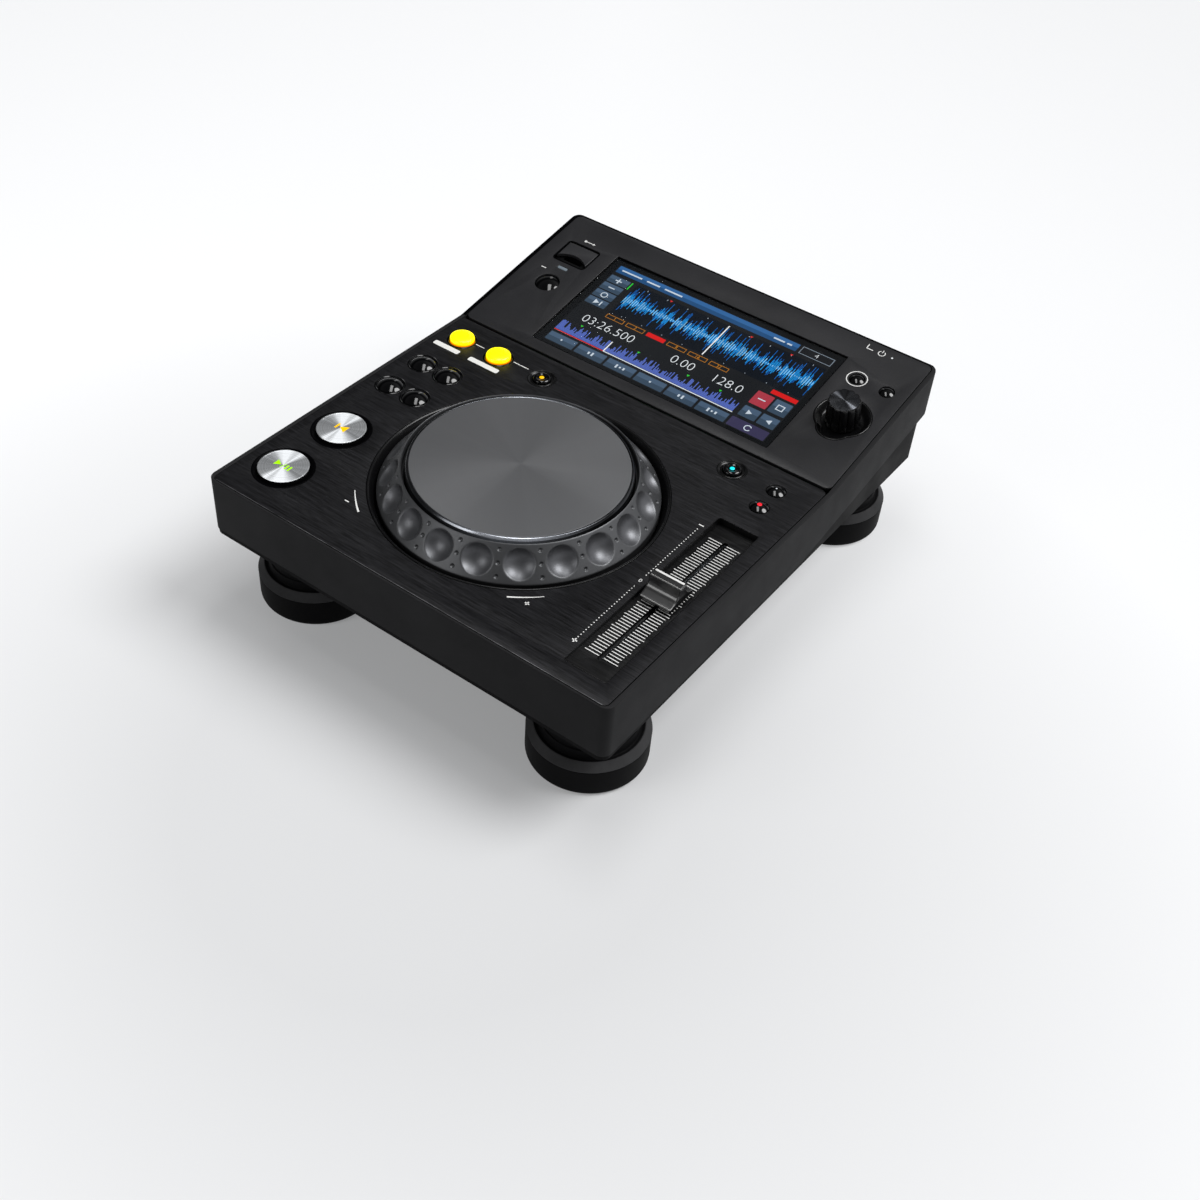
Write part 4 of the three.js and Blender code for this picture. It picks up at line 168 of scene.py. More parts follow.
class Tree:
    """A node tree, with short ways to add and join its nodes."""

    def __init__(self, tree: bpy.types.NodeTree) -> None:
        """Keeps the tree."""
        self.tree = tree

    def feed(self, socket: Socket, value: object) -> None:
        """Joins a socket to another one, or gives it a constant."""
        if isinstance(value, Socket):
            self.tree.links.new(value, socket)
        else:
            socket.default_value = value

    def node(self, kind: str, inputs: Inputs | None = None, **values: object) -> bpy.types.Node:
        """Adds a node.

        Args:
            kind: the node's type.
            inputs: sockets or constants for its inputs, by name or number.
            values: its properties.

        Returns:
            The node.
        """
        made = self.tree.nodes.new(kind)
        for key, value in values.items():
            setattr(made, key, value)
        for key, value in (inputs or {}).items():
            self.feed(made.inputs[key], value)
        return made

    def maths(self, operation: str, a: object, b: object = 0.0) -> Socket:
        """The result of one sum, from sockets or numbers."""
        return self.node("ShaderNodeMath", {0: a, 1: b}, operation=operation).outputs[0]

    def vector(self, x: object = 0.0, y: object = 0.0, z: object = 0.0) -> Socket:
        """A vector from its three parts."""
        return self.node("ShaderNodeCombineXYZ", {0: x, 1: y, 2: z}).outputs[0]

    def vector_maths(self, operation: str, a: object, b: object = (0, 0, 0)) -> bpy.types.bpy_prop_collection:
        """The outputs of one sum of vectors."""
        return self.node("ShaderNodeVectorMath", {0: a, 1: b}, operation=operation).outputs

    def spread(self, value: Socket, low: float, high: float, start: float = 0.0, end: float = 1.0) -> Socket:
        """A value mapped from start and end to low and high."""
        inputs = {"Value": value, "From Min": start, "From Max": end, "To Min": low, "To Max": high}
        return self.node("ShaderNodeMapRange", inputs).outputs["Result"]

    def noise_along(self, value: Socket, scale: float, detail: float) -> Socket:
        """A noise value over a single number."""
        inputs = {"W": value, "Scale": scale, "Detail": detail}
        return self.node("ShaderNodeTexNoise", inputs, noise_dimensions="1D").outputs[0]


class Graph(Tree):
    """A material's node tree."""

    def __init__(self, name: str) -> None:
        """Starts a material with a shader and an output."""
        self.material = bpy.data.materials.new(name)
        self.material.use_nodes = True
        super().__init__(self.material.node_tree)
        self.shader = self.tree.nodes["Principled BSDF"]

    def place(
        self, scale: Place = (1, 1, 1), centre: Place | Vector = (0, 0, 0), lean: float = 0.0
    ) -> Socket:
        """Object coordinates about a centre, stretched along the axes.

        Args:
            scale: cycles per metre along each axis.
            centre: the world point that becomes zero, metres.
            lean: turn about X that lays the plane flat, degrees.

        Returns:
            The vector.
        """
        about = self.vector_maths("SUBTRACT", self.node("ShaderNodeTexCoord").outputs["Object"], centre)[0]
        turn = {"Vector": about, "Rotation": (math.radians(-lean), 0, 0)}
        laid = self.node("ShaderNodeMapping", turn, vector_type="POINT").outputs[0]
        return self.vector_maths("MULTIPLY", laid, scale)[0]

    def noise(self, vector: Socket, scale: float, detail: float = 2.0, rough: float = 0.5) -> Socket:
        """A noise value over a vector."""
        inputs = {"Vector": vector, "Scale": scale, "Detail": detail, "Roughness": rough}
        return self.node("ShaderNodeTexNoise", inputs).outputs["Fac"]

    def blend(self, first: Socket, second: Socket, share: float) -> Socket:
        """Two values mixed, with the share of the second."""
        return self.node("ShaderNodeMix", {0: share, 2: first, 3: second}, data_type="FLOAT").outputs[0]

    def tint(
        self, value: Socket, dark: Colour, light: Colour, start: float = 0.3, end: float = 0.7
    ) -> Socket:
        """A colour between two, by a value."""
        ramp = self.node("ShaderNodeValToRGB", {"Fac": value})
        for element, place, colour in zip(ramp.color_ramp.elements, (start, end), (dark, light)):
            element.position, element.color = place, colour
        return ramp.outputs["Color"]

    def relief(self, height: Socket, depth: float, strength: float) -> Socket:
        """The normal of a bump of a depth in metres."""
        inputs = {"Strength": strength, "Distance": depth, "Height": height}
        return self.node("ShaderNodeBump", inputs).outputs["Normal"]

    def dressed(self, **inputs: object) -> Material:
        """The material, once the shader's own sockets are fed, spaces written as underscores."""
        for key, value in inputs.items():
            self.feed(self.shader.inputs[key.replace("_", " ")], value)
        return self.material


# Finishes


@dataclass(frozen=True)
class Finish:
    """What every finish has: a name, and a material that it builds."""

    name: str

    def build(self) -> Material:
        """Makes the material."""
        raise NotImplementedError


MADE: dict[str, Material] = {}


def material_of(finish: Finish) -> Material:
    """The material of a finish, made once."""
    if finish.name not in MADE:
        MADE[finish.name] = finish.build()
    return MADE[finish.name]


@dataclass(frozen=True)
class MouldedPlastic(Finish):
    """Moulded plastic with a fine grain, or polished where the grain is nought."""

    colour: Colour
    roughness: float
    grain: float = 0.00002
    grain_scale: float = 2600.0
    coat: float = 0.0
    specular: float = 0.3
    speckle: float = 0.0

    def build(self) -> Material:
        """Makes the material."""
        graph = Graph(self.name)
        vector = graph.place()
        fine = graph.noise(vector, self.grain_scale, 3)
        cloud = graph.blend(graph.noise(vector, 22, 3), fine, self.speckle)
        spread = 0.1 + self.speckle * 0.5
        smudge = graph.noise(vector, 60, 4)
        bump = {"Normal": graph.relief(fine, self.grain, 0.6)} if self.grain else {}
        return graph.dressed(
            Base_Color=graph.tint(cloud, shade(self.colour, 1 - spread), shade(self.colour, 1 + spread)),
            Roughness=graph.spread(smudge, self.roughness * 0.88, self.roughness * 1.12, 0.3, 0.7),
            Coat_Weight=self.coat,
            Coat_Roughness=0.06,
            Specular_IOR_Level=self.specular,
            **bump,
        )


@dataclass(frozen=True)
class HairlineSheet(Finish):
    """A dark sheet brushed from side to side."""

    colour: Colour
    roughness: float

    def build(self) -> Material:
        """Makes the material."""
        graph = Graph(self.name)
        long_hairs = graph.noise(graph.place((45, 1500, 1500)), 1.0, 3, 0.6)
        short_hairs = graph.noise(graph.place((160, 4200, 4200)), 1.0, 2, 0.5)
        value = graph.blend(long_hairs, short_hairs, 0.4)
        return graph.dressed(
            Base_Color=graph.tint(value, shade(self.colour, 0.3), shade(self.colour, 2.2), 0.4, 0.6),
            Roughness=graph.spread(value, self.roughness * 0.8, self.roughness * 1.25, 0.3, 0.7),
            Normal=graph.relief(value, 0.00003, 0.5),
            Metallic=0.4,
            Anisotropic=0.3,
            Specular_IOR_Level=0.35,
        )


@dataclass(frozen=True)
class SpunMetal(Finish):
    """Metal turned on a lathe: fine rings, and highlights painted into its colour as fans from its middle.

    Args:
        name: the material's name.
        colour: the metal's colour.
        centre: a point on the axis, metres.
        roughness: mean roughness.
        ring_pitch: distance between two rings, millimetres.
        ring_depth: depth of the rings, metres.
        fan: strength of the two opposite fans of painted highlight.
        fan_turn: where the painted highlight fans point, degrees from +X.
        fan_sharp: how narrow the painted highlight fans are.
        thin_turn: where a second, thin pair of painted highlight fans points.
        glint: how much lighter than the metal a painted highlight may be.
        streak: strength of the thin painted streaks of light.
        anisotropy: how far highlights stretch across the rings.
        metallic: how metallic it is.
        lean: tilt of its plane, degrees.
    """

    colour: Colour
    centre: Vector
    roughness: float
    ring_pitch: float
    ring_depth: float = 0.000004
    fan: float = 1.0
    fan_turn: float = 125.0
    fan_sharp: float = 7.0
    thin_turn: float = 86.0
    glint: float = 4.6
    streak: float = 0.05
    anisotropy: float = 0.8
    metallic: float = 1.0
    lean: float = 0.0

    def build(self) -> Material:
        """Makes the material."""
        graph = Graph(self.name)
        place = graph.place(centre=self.centre, lean=self.lean)
        x, y, _ = graph.node("ShaderNodeSeparateXYZ", {0: place}).outputs
        level = graph.vector(x, y)
        radius = graph.vector_maths("LENGTH", level)["Value"]
        across = graph.vector_maths("CROSS_PRODUCT", (0, 0, 1), level)[0]
        to_world = {"vector_type": "VECTOR", "convert_from": "OBJECT", "convert_to": "WORLD"}
        wave = graph.maths("SINE", graph.maths("MULTIPLY", radius, TURN / (self.ring_pitch * MM)))
        hair = graph.noise_along(radius, 2400, 3)
        return graph.dressed(
            # Painted highlight: the base colour is lighter in fans about the axis.
            Base_Color=self.fans(graph, graph.maths("ARCTAN2", y, x)),
            Roughness=graph.spread(hair, self.roughness * 0.8, self.roughness * 1.2, 0.3, 0.7),
            Normal=graph.relief(graph.maths("ADD", wave, hair), self.ring_depth, 0.5),
            Tangent=graph.node("ShaderNodeVectorTransform", {0: across}, **to_world).outputs[0],
            Metallic=self.metallic,
            Anisotropic=self.anisotropy,
        )

    def fans(self, graph: Graph, angle: Socket) -> Socket:
        """The colour with highlights painted into it: lighter in a broad and a thin pair of opposite fans,
        with painted streaks of light between them.
        """
        value = graph.spread(graph.noise_along(angle, 3.0, 5), 0.0, 2 * self.streak, 0.3, 0.7)
        broad = (self.fan_turn, self.fan, self.fan_sharp)
        thin = (self.thin_turn, self.fan * 0.6, self.fan_sharp * 14)
        for turn, strength, sharp in (broad, thin):
            way = graph.maths("COSINE", graph.maths("SUBTRACT", angle, math.radians(turn)))
            lobe = graph.maths("POWER", graph.maths("ABSOLUTE", way), sharp)
            value = graph.maths("ADD", value, graph.maths("MULTIPLY", lobe, strength))
        return graph.tint(value, shade(self.colour, 0.8), shade(self.colour, self.glint), 0.0, 1.0)


@dataclass(frozen=True)
class DimpledMetal(Finish):
    """Satin metal whose round hollows, spaced evenly round an axis, are brighter and smoother.

    Args:
        name: the material's name.
        flat: colour between the hollows.
        bowl: colour in the hollows.
        centre: a point on the axis, metres.
        first: angle of one hollow, degrees from +X.
        count: how many hollows.
        middle: radius and height of the middle of a hollow above that point, metres.
        way: unit step of radius and height up the face.
        reach: radius of a hollow, metres.
        lip: width of the change at a hollow's edge, metres.
    """

    flat: Colour
    bowl: Colour
    centre: Vector
    first: float
    count: int
    middle: Point
    way: Point
    reach: float
    lip: float = 0.0004

    def build(self) -> Material:
        """Makes the material."""
        graph = Graph(self.name)
        maths = graph.maths
        vector = graph.place(centre=self.centre)
        x, y, z = graph.node("ShaderNodeSeparateXYZ", {0: vector}).outputs
        radius = self.hypot(graph, x, y)
        turn = maths("SUBTRACT", maths("ARCTAN2", y, x), math.radians(self.first) - TURN)
        across = maths("MULTIPLY", maths("PINGPONG", turn, math.pi / self.count), radius)
        steps = zip((radius, z), self.middle, self.way)
        along = maths("ADD", *(maths("MULTIPLY", maths("SUBTRACT", v, m), step) for v, m, step in steps))
        away = self.hypot(graph, across, along)
        inside = graph.spread(away, 1.0, 0.0, self.reach - self.lip, self.reach)
        fine = graph.noise(vector, 2600, 3)
        return graph.dressed(
            Base_Color=graph.tint(inside, self.flat, self.bowl, 0.0, 1.0),
            Roughness=maths("ADD", graph.spread(inside, 0.47, 0.44), graph.spread(fine, -0.03, 0.03)),
            Normal=graph.relief(fine, 0.000006, 0.5),
            Metallic=0.85,
            Specular_IOR_Level=1.0,
        )

    def hypot(self, graph: Graph, a: Socket, b: Socket) -> Socket:
        """The long side over two sides at a right angle."""
        squares = [graph.maths("MULTIPLY", side, side) for side in (a, b)]
        return graph.maths("POWER", graph.maths("ADD", *squares), 0.5)


@dataclass(frozen=True)
class Glow(Finish):
    """Lit plastic or a lit picture, the same brightness from every side."""

    colour: Colour
    strength: float
    mottle: float = 0.06
    body: float = 0.3

    def build(self) -> Material:
        """Makes the material."""
        graph = Graph(self.name)
        value = graph.noise(graph.place(), 300, 2)
        dark, light = (shade(self.colour, 1 + way * self.mottle) for way in (-1, 1))
        return graph.dressed(
            Emission_Color=graph.tint(value, dark, light),
            Base_Color=shade(self.colour, self.body),
            Roughness=0.35,
            Emission_Strength=self.strength,
            Specular_IOR_Level=0.2 if self.body else 0.0,
        )


@dataclass(frozen=True)
class LitDome(Finish):
    """A translucent button lit from below, deeper in colour near its foot."""

    top: Colour
    foot: Colour
    foot_z: float
    top_z: float
    strength: float

    def build(self) -> Material:
        """Makes the material."""
        graph = Graph(self.name)
        vector = graph.place()
        z = graph.node("ShaderNodeSeparateXYZ", {0: vector}).outputs[2]
        height = graph.spread(z, 0, 1, self.foot_z * MM, self.top_z * MM)
        tint = graph.tint(height, self.foot, self.top, 0.05, 0.75)
        return graph.dressed(
            Base_Color=tint,
            Emission_Color=tint,
            Roughness=graph.spread(graph.noise(vector, 500, 2), 0.24, 0.36),
            Emission_Strength=self.strength,
        )


@dataclass(frozen=True)
class Ink(Finish):
    """Printed marks, slightly uneven."""

    colour: Colour
    roughness: float = 0.45

    def build(self) -> Material:
        """Makes the material."""
        graph = Graph(self.name)
        value = graph.noise(graph.place(), 900, 3)
        return graph.dressed(
            Base_Color=graph.tint(value, shade(self.colour, 0.93), self.colour),
            Roughness=graph.spread(value, self.roughness * 0.8, self.roughness * 1.2),
        )


@dataclass(frozen=True)
class ClearGlass(Finish):
    """The screen's cover glass."""

    def build(self) -> Material:
        """Makes the material."""
        graph = Graph(self.name)
        return graph.dressed(
            Roughness=graph.spread(graph.noise(graph.place(), 40, 2), 0.0, 0.008),
            Base_Color=(0.96, 0.98, 1.0, 1.0),
            Transmission_Weight=1.0,
            IOR=1.46,
        )


@dataclass(frozen=True)
class StampedMetal(Finish):
    """Bright sheet metal with faint rolling marks."""

    colour: Colour
    roughness: float

    def build(self) -> Material:
        """Makes the material."""
        graph = Graph(self.name)
        value = graph.noise(graph.place((900, 60, 900)), 1.0, 4)
        return graph.dressed(
            Base_Color=graph.tint(value, shade(self.colour, 0.85), shade(self.colour, 1.1)),
            Roughness=graph.spread(value, self.roughness * 0.7, self.roughness * 1.3),
            Normal=graph.relief(value, 0.00002, 0.3),
            Metallic=1.0,
        )


@dataclass(frozen=True)
class SoftRubber(Finish):
    """Matte rubber with a faint bloom and fine pitting."""

    colour: Colour
    roughness: float = 0.6

    def build(self) -> Material:
        """Makes the material."""
        graph = Graph(self.name)
        vector = graph.place()
        bloom = graph.noise(vector, 45, 5, 0.6)
        return graph.dressed(
            Base_Color=graph.tint(bloom, shade(self.colour, 0.8), shade(self.colour, 1.35)),
            Roughness=graph.spread(bloom, self.roughness * 0.85, self.roughness * 1.1),
            Normal=graph.relief(graph.noise(vector, 3200, 2), 0.00003, 0.5),
            Specular_IOR_Level=0.06,
        )


CASE_PLASTIC = MouldedPlastic("Grained plastic", paint("2a2a2b"), 0.5, 0.00003, 1900, specular=0.03)
PANEL_PLASTIC = MouldedPlastic("Panel plastic", paint("262628"), 0.4, 0.00003, 2400, speckle=0.5)
BASE = MouldedPlastic("Base plastic", paint("101011"), 0.5, 0.00004, 1500, specular=0.03)
SATIN = MouldedPlastic("Satin black plastic", paint("0b0b0c"), 0.28, 0.00001)
POLISHED = MouldedPlastic("Polished black plastic", paint("030304"), 0.09, 0.0, coat=0.4)
DEEP_BLACK = MouldedPlastic("Deep black plastic", paint("020203"), 0.35, 0.00001, specular=0.05)
CAP_PLASTIC = MouldedPlastic("Fader cap plastic", paint("0c0c0d"), 0.32, 0.0, coat=0.6, specular=1.0)
LID_PLASTIC = MouldedPlastic("Lid plastic", paint("2c2c2e"), 0.42, 0.00002, 2400)
BOARD = MouldedPlastic("Circuit board", paint("1f5b35"), 0.45)
IVORY = MouldedPlastic("Pale plastic", paint("d8d4c8"), 0.45)
DECK_SHEET = HairlineSheet("Brushed deck sheet", paint("18181a"), 0.4)
TRAY_SHEET = HairlineSheet("Brushed tray sheet", paint("111112"), 0.42)
# A lighter sheet for a painted highlight line.
PAINTED_EDGE_HIGHLIGHT = HairlineSheet("Bare plate edge", paint("5a5a5c"), 0.35)
RUBBER = SoftRubber("Foot rubber", paint("070708"))
# Lighter rubber for the chamfer band: painted light from above.
PAINTED_LIGHT_CHAMFER = SoftRubber("Foot chamfer", paint("39393a"))
STEEL = StampedMetal("Stamped steel", paint("b9bbbd"), 0.3)
BLACK_STEEL = StampedMetal("Blackened steel", paint("2d2e30"), 0.35)
GILT = StampedMetal("Plated contacts", paint("c9a24c"), 0.25)
# White for the printed marks, and for the painted highlight lines on the fader cap.
WHITE_INK_AND_HIGHLIGHT = Ink("White print", paint("e8e8e6"))
YELLOW_LIGHT = LitDome("Lit yellow cap", paint("fff000"), paint("ff5a00"), DECK_Z - 0.3, DECK_Z + 1.3, 0.8)


class Light(Enum):
    """The lamps in the keys and beside them: name, display colour and strength."""

    GREEN = ("Green light", "a5ee00", 1.0)
    AMBER = ("Amber light", "ffc400", 1.0)
    CYAN = ("Cyan light", "16e6ee", 1.0)
    RED = ("Red light", "ff2030", 1.0)
    WHITE = ("White light", "e9eef2", 0.7)
    BAR = ("Bar light", "8d9aa4", 0.35)

    def finish(self) -> Glow:
        """The lamp's finish."""
        name, code, strength = self.value
        return Glow(name, paint(code), strength)


# Outlines


def polar(radius: float, angle: float, x: float = 0.0, y: float = 0.0) -> Point:
    """The point at a distance and an angle, in radians, from a place."""
    return (x + radius * math.cos(angle), y + radius * math.sin(angle))


def arc(radius: float, start: float, end: float, steps: int, x: float = 0.0, y: float = 0.0) -> Profile:
    """Points along an arc between two angles in degrees."""
    return [polar(radius, math.radians(start + (end - start) * k / steps), x, y) for k in range(steps + 1)]


def rounded(corners: Sequence[Place], steps: int = 4) -> Profile:
    """A profile with its corners rounded.

    Args:
        corners: radius, height and fillet of each corner, in order.
        steps: pieces in each fillet.

    Returns:
        The profile's points.
    """
    points: Profile = []
    for i, (u, v, fillet) in enumerate(corners):
        if fillet <= 0 or i in (0, len(corners) - 1):
            points.append((u, v))
            continue
        here = Vector((u, v))
        before, after = (Vector(corners[n][:2]) - here for n in (i - 1, i + 1))
        reach = min(fillet, before.length * 0.49, after.length * 0.49)
        start, end = (here + way.normalized() * reach for way in (before, after))
        for k in range(steps + 1):
            t = k / steps
            points.append(tuple(start.lerp(here, t).lerp(here.lerp(end, t), t)))
    return points


def box_outline(x0: float, x1: float, y0: float, y1: float, radius: float, steps: int = 6) -> Profile:
    """A rectangle with round corners, anticlockwise from its lower left."""
    radius = min(radius, (x1 - x0) / 2, (y1 - y0) / 2)
    left, right, low, high = x0 + radius, x1 - radius, y0 + radius, y1 - radius
    corners = ((left, low, 180), (right, low, 270), (right, high, 0), (left, high, 90))
    return [point for x, y, start in corners for point in arc(radius, start, start + 90, steps, x, y)]


def inset(box: Box, by: float) -> Box:
    """A box made smaller on every side."""
    x0, x1, y0, y1 = box
    return (x0 + by, x1 - by, y0 + by, y1 - by)


def plates(boxes: Iterable[Box], radius: float = 0.5, steps: int = 2) -> list[Profile]:
    """Several rectangles with the same round corners."""
    return [box_outline(*box, radius, steps) for box in boxes]


def circle_outline(x: float, y: float, radius: float, steps: int = 64) -> Profile:
    """A circle as a polygon."""
    return [polar(radius, TURN * k / steps, x, y) for k in range(steps)]


def bar(x: float, y: float, width: float, height: float) -> Profile:
    """A small rectangle about its middle."""
    w, h = width / 2, height / 2
    return [(x - w, y - h), (x + w, y - h), (x + w, y + h), (x - w, y + h)]


def bars(*rows: Box) -> list[Profile]:
    """Several small rectangles."""
    return [bar(*row) for row in rows]


def plus(x: float, y: float, size: float, thickness: float) -> list[Profile]:
    """A plus sign as two bars."""
    return bars((x, y, size, thickness), (x, y, thickness, size))


def frame_outline(x0: float, x1: float, y0: float, y1: float, width: float) -> list[Profile]:
    """A thin frame as four bars."""
    x, y, w = (x0 + x1) / 2, (y0 + y1) / 2, width / 2
    level = [(x, middle, x1 - x0, width) for middle in (y0 + w, y1 - w)]
    upright = [(middle, y, width, y1 - y0 - 2 * width) for middle in (x0 + w, x1 - w)]
    return bars(*level, *upright)


def triangle(x: float, y: float, size: float, way: float) -> Profile:
    """A triangle that points along X, with its base about a place."""
    return [(x, y - size * 0.6), (x + way * size, y), (x, y + size * 0.6)]


def triangle_down(x: float, y: float, size: float = 1.5) -> Profile:
    """A small triangle that points down."""
    return [(x - size * 0.6, y), (x, y - size), (x + size * 0.6, y)]


def arc_band(
    centre: Point, radius: float, widths: Point, start: float, end: float, steps: int = 24
) -> Profile:
    """A band along an arc, which may widen on its way.

    Args:
        centre: the arc's centre.
        radius: the arc's radius.
        widths: width of the band at its start and at its end.
        start: angle of its start, degrees.
        end: angle of its end, degrees.
        steps: pieces along the arc.

    Returns:
        The band's edge.
    """
    outer, inner = [], []
    for k in range(steps + 1):
        t = k / steps
        angle = math.radians(start + (end - start) * t)
        half = (widths[0] + (widths[1] - widths[0]) * t) / 2
        outer.append(polar(radius + half, angle, *centre))
        inner.append(polar(radius - half, angle, *centre))
    return outer + inner[::-1]


# Meshes


def linked(name: str, data: bpy.types.ID) -> bpy.types.Object:
    """A new object in the scene."""
    item = bpy.data.objects.new(name, data)
    bpy.context.scene.collection.objects.link(item)
    return item


def stored(name: str, bm: Mesh) -> bpy.types.Mesh:
    """Mesh data written from a working mesh, which is freed."""
    data = bpy.data.meshes.new(name)
    bm.to_mesh(data)
    bm.free()
    return data


def evaluated(item: bpy.types.Object) -> bpy.types.Mesh:
    """The mesh that an object's curve or modifiers make."""
    graph = bpy.context.evaluated_depsgraph_get()
    return bpy.data.meshes.new_from_object(item.evaluated_get(graph))


def spent(item: bpy.types.Object) -> Mesh:
    """What an object's curve or modifiers make, as a working mesh; the object and its data go."""
    result, data = evaluated(item), item.data
    item.modifiers.clear()
    bm = bmesh.new()
    bm.from_mesh(result)
    bpy.data.objects.remove(item)
    store = bpy.data.curves if isinstance(data, bpy.types.Curve) else bpy.data.meshes
    store.remove(data)
    bpy.data.meshes.remove(result)
    return bm


def filled(curve: bpy.types.Curve, move: Place) -> Mesh:
    """The welded and moved mesh of a curve, which goes."""
    bm = spent(linked(curve.name, curve))
    bmesh.ops.remove_doubles(bm, verts=bm.verts, dist=0.0005)
    bmesh.ops.translate(bm, verts=bm.verts, vec=move)
    return bm


def skin(bm: Mesh, rows: Sequence[Sequence[bmesh.types.BMVert]], wrap: bool = True) -> None:
    """Lays faces between each row of points and the next.

    Args:
        bm: the mesh that gets the faces.
        rows: rows with the same number of points.
        wrap: joins the last point of a row to its first.
    """
    for low, high in zip(rows, rows[1:]):
        for k in range(len(low) if wrap else len(low) - 1):
            n = (k + 1) % len(low)
            corners = list(dict.fromkeys((low[k], low[n], high[n], high[k])))
            if len(corners) > 2:
                bm.faces.new(corners)


def turned(profile: Iterable[Point], steps: int = 96, closed: bool = False) -> Mesh:
    """A profile of radius and height turned about the local Z axis.

    Args:
        profile: points from the bottom up or the top down.
        steps: pieces round the turn.
        closed: joins the last point to the first, for a ring.

    Returns:
        The mesh.
    """
    bm = bmesh.new()
    rows = []
    for r, z in profile:
        on_axis = r < 1e-6
        made = [bm.verts.new((*polar(r, TURN * k / steps), z)) for k in range(1 if on_axis else steps)]
        rows.append(made * steps if on_axis else made)
    skin(bm, rows + rows[:1] if closed else rows)
    bmesh.ops.recalc_face_normals(bm, faces=bm.faces)
    return bm


def lofted(loops: Sequence[Sequence[Place]], closed: bool = True) -> Mesh:
    """Skin over a stack of loops with the same number of points.

    Args:
        loops: the loops in order.
        closed: joins the last loop to the first instead of capping both.

    Returns:
        The mesh.
    """
    bm = bmesh.new()
    rows = [[bm.verts.new(p) for p in loop] for loop in loops]
    skin(bm, rows + rows[:1] if closed else rows)
    if not closed:
        bm.faces.new(list(reversed(rows[0])))
        bm.faces.new(rows[-1])
    bmesh.ops.recalc_face_normals(bm, faces=bm.faces)
    return bm


def slab(outline: Profile, z0: float, z1: float, holes: Iterable[Profile] = (), bevel: float = 0.0) -> Mesh:
    """A flat plate with holes and softened edges, made from a filled curve.

    Args:
        outline: the outer edge.
        z0: underside.
        z1: top.
        holes: inner edges.
        bevel: size of the softened edge.

    Returns:
        The mesh.
    """
    curve = bpy.data.curves.new("plate", "CURVE")
    curve.dimensions, curve.fill_mode = "2D", "BOTH"
    curve.extrude = (z1 - z0) / 2 - bevel
    curve.bevel_depth, curve.bevel_resolution, curve.offset = bevel, 2, -bevel
    for loop in (outline, *holes):
        spline = curve.splines.new("POLY")
        spline.points.add(len(loop) - 1)
        for point, (x, y) in zip(spline.points, loop):
            point.co = (x, y, 0, 1)
        spline.use_cyclic_u = True
    bm = filled(curve, (0, 0, (z0 + z1) / 2))
    bmesh.ops.recalc_face_normals(bm, faces=bm.faces)
    return bm


def text_mesh(words: str, size: float, depth: float, x: float, y: float, thin: float = 0.0) -> Mesh:
    """Figures as a thin mesh about a place.

    Args:
        words: the figures.
        size: height of the type.
        depth: thickness of the mesh.
        x: middle across.
        y: middle up.
        thin: how much is taken off their strokes.

    Returns:
        The mesh.
    """
    curve = bpy.data.curves.new("figures", "FONT")
    curve.body, curve.size, curve.offset = words, size, -thin
    curve.align_x, curve.align_y = "CENTER", "CENTER"
    curve.resolution_u, curve.extrude = 4, depth / 2
    return filled(curve, (x, y, depth / 2))


def merged(*parts: Mesh) -> Mesh:
    """Several meshes as one."""
    whole = bmesh.new()
    for part in parts:
        data = stored("part", part)
        whole.from_mesh(data)
        bpy.data.meshes.remove(data)
    return whole


def moved(bm: Mesh, x: float = 0.0, y: float = 0.0, z: float = 0.0, turn: Matrix | None = None) -> Mesh:
    """A mesh turned about its own zero and then moved."""
    if turn is not None:
        bmesh.ops.transform(bm, matrix=turn, verts=bm.verts)
    bmesh.ops.translate(bm, verts=bm.verts, vec=(x, y, z))
    return bm


def patch(
    outlines: Iterable[Profile],
    z: float,
    thickness: float = 0.03,
    surface: Callable[[float, float], float] | None = None,
) -> Mesh:
    """Thin printed or raised shapes, draped over a surface where one is given.

    Args:
        outlines: the shapes' edges.
        z: underside of the shapes.
        thickness: how far they stand out.
        surface: height to add at a place, for a crowned surface.

    Returns:
        The mesh.
    """
    bm = merged(*(slab(outline, 0, thickness) for outline in outlines))
    if surface is not None:
        bmesh.ops.triangulate(bm, faces=bm.faces)
        for _ in range(2):
            long_edges = [edge for edge in bm.edges if edge.calc_length() > 0.7]
            if long_edges:
                bmesh.ops.subdivide_edges(bm, edges=long_edges, cuts=1)
            bmesh.ops.triangulate(bm, faces=bm.faces)
        for vert in bm.verts:
            vert.co.z += surface(vert.co.x, vert.co.y)
    return moved(bm, z=z)


# Geometry node patterns

SOCKET_KINDS = (
    (int, "Int"),
    (float, "Float"),
    (tuple, "Vector"),
    (bpy.types.Material, "Material"),
    (bpy.types.Object, "Object"),
)


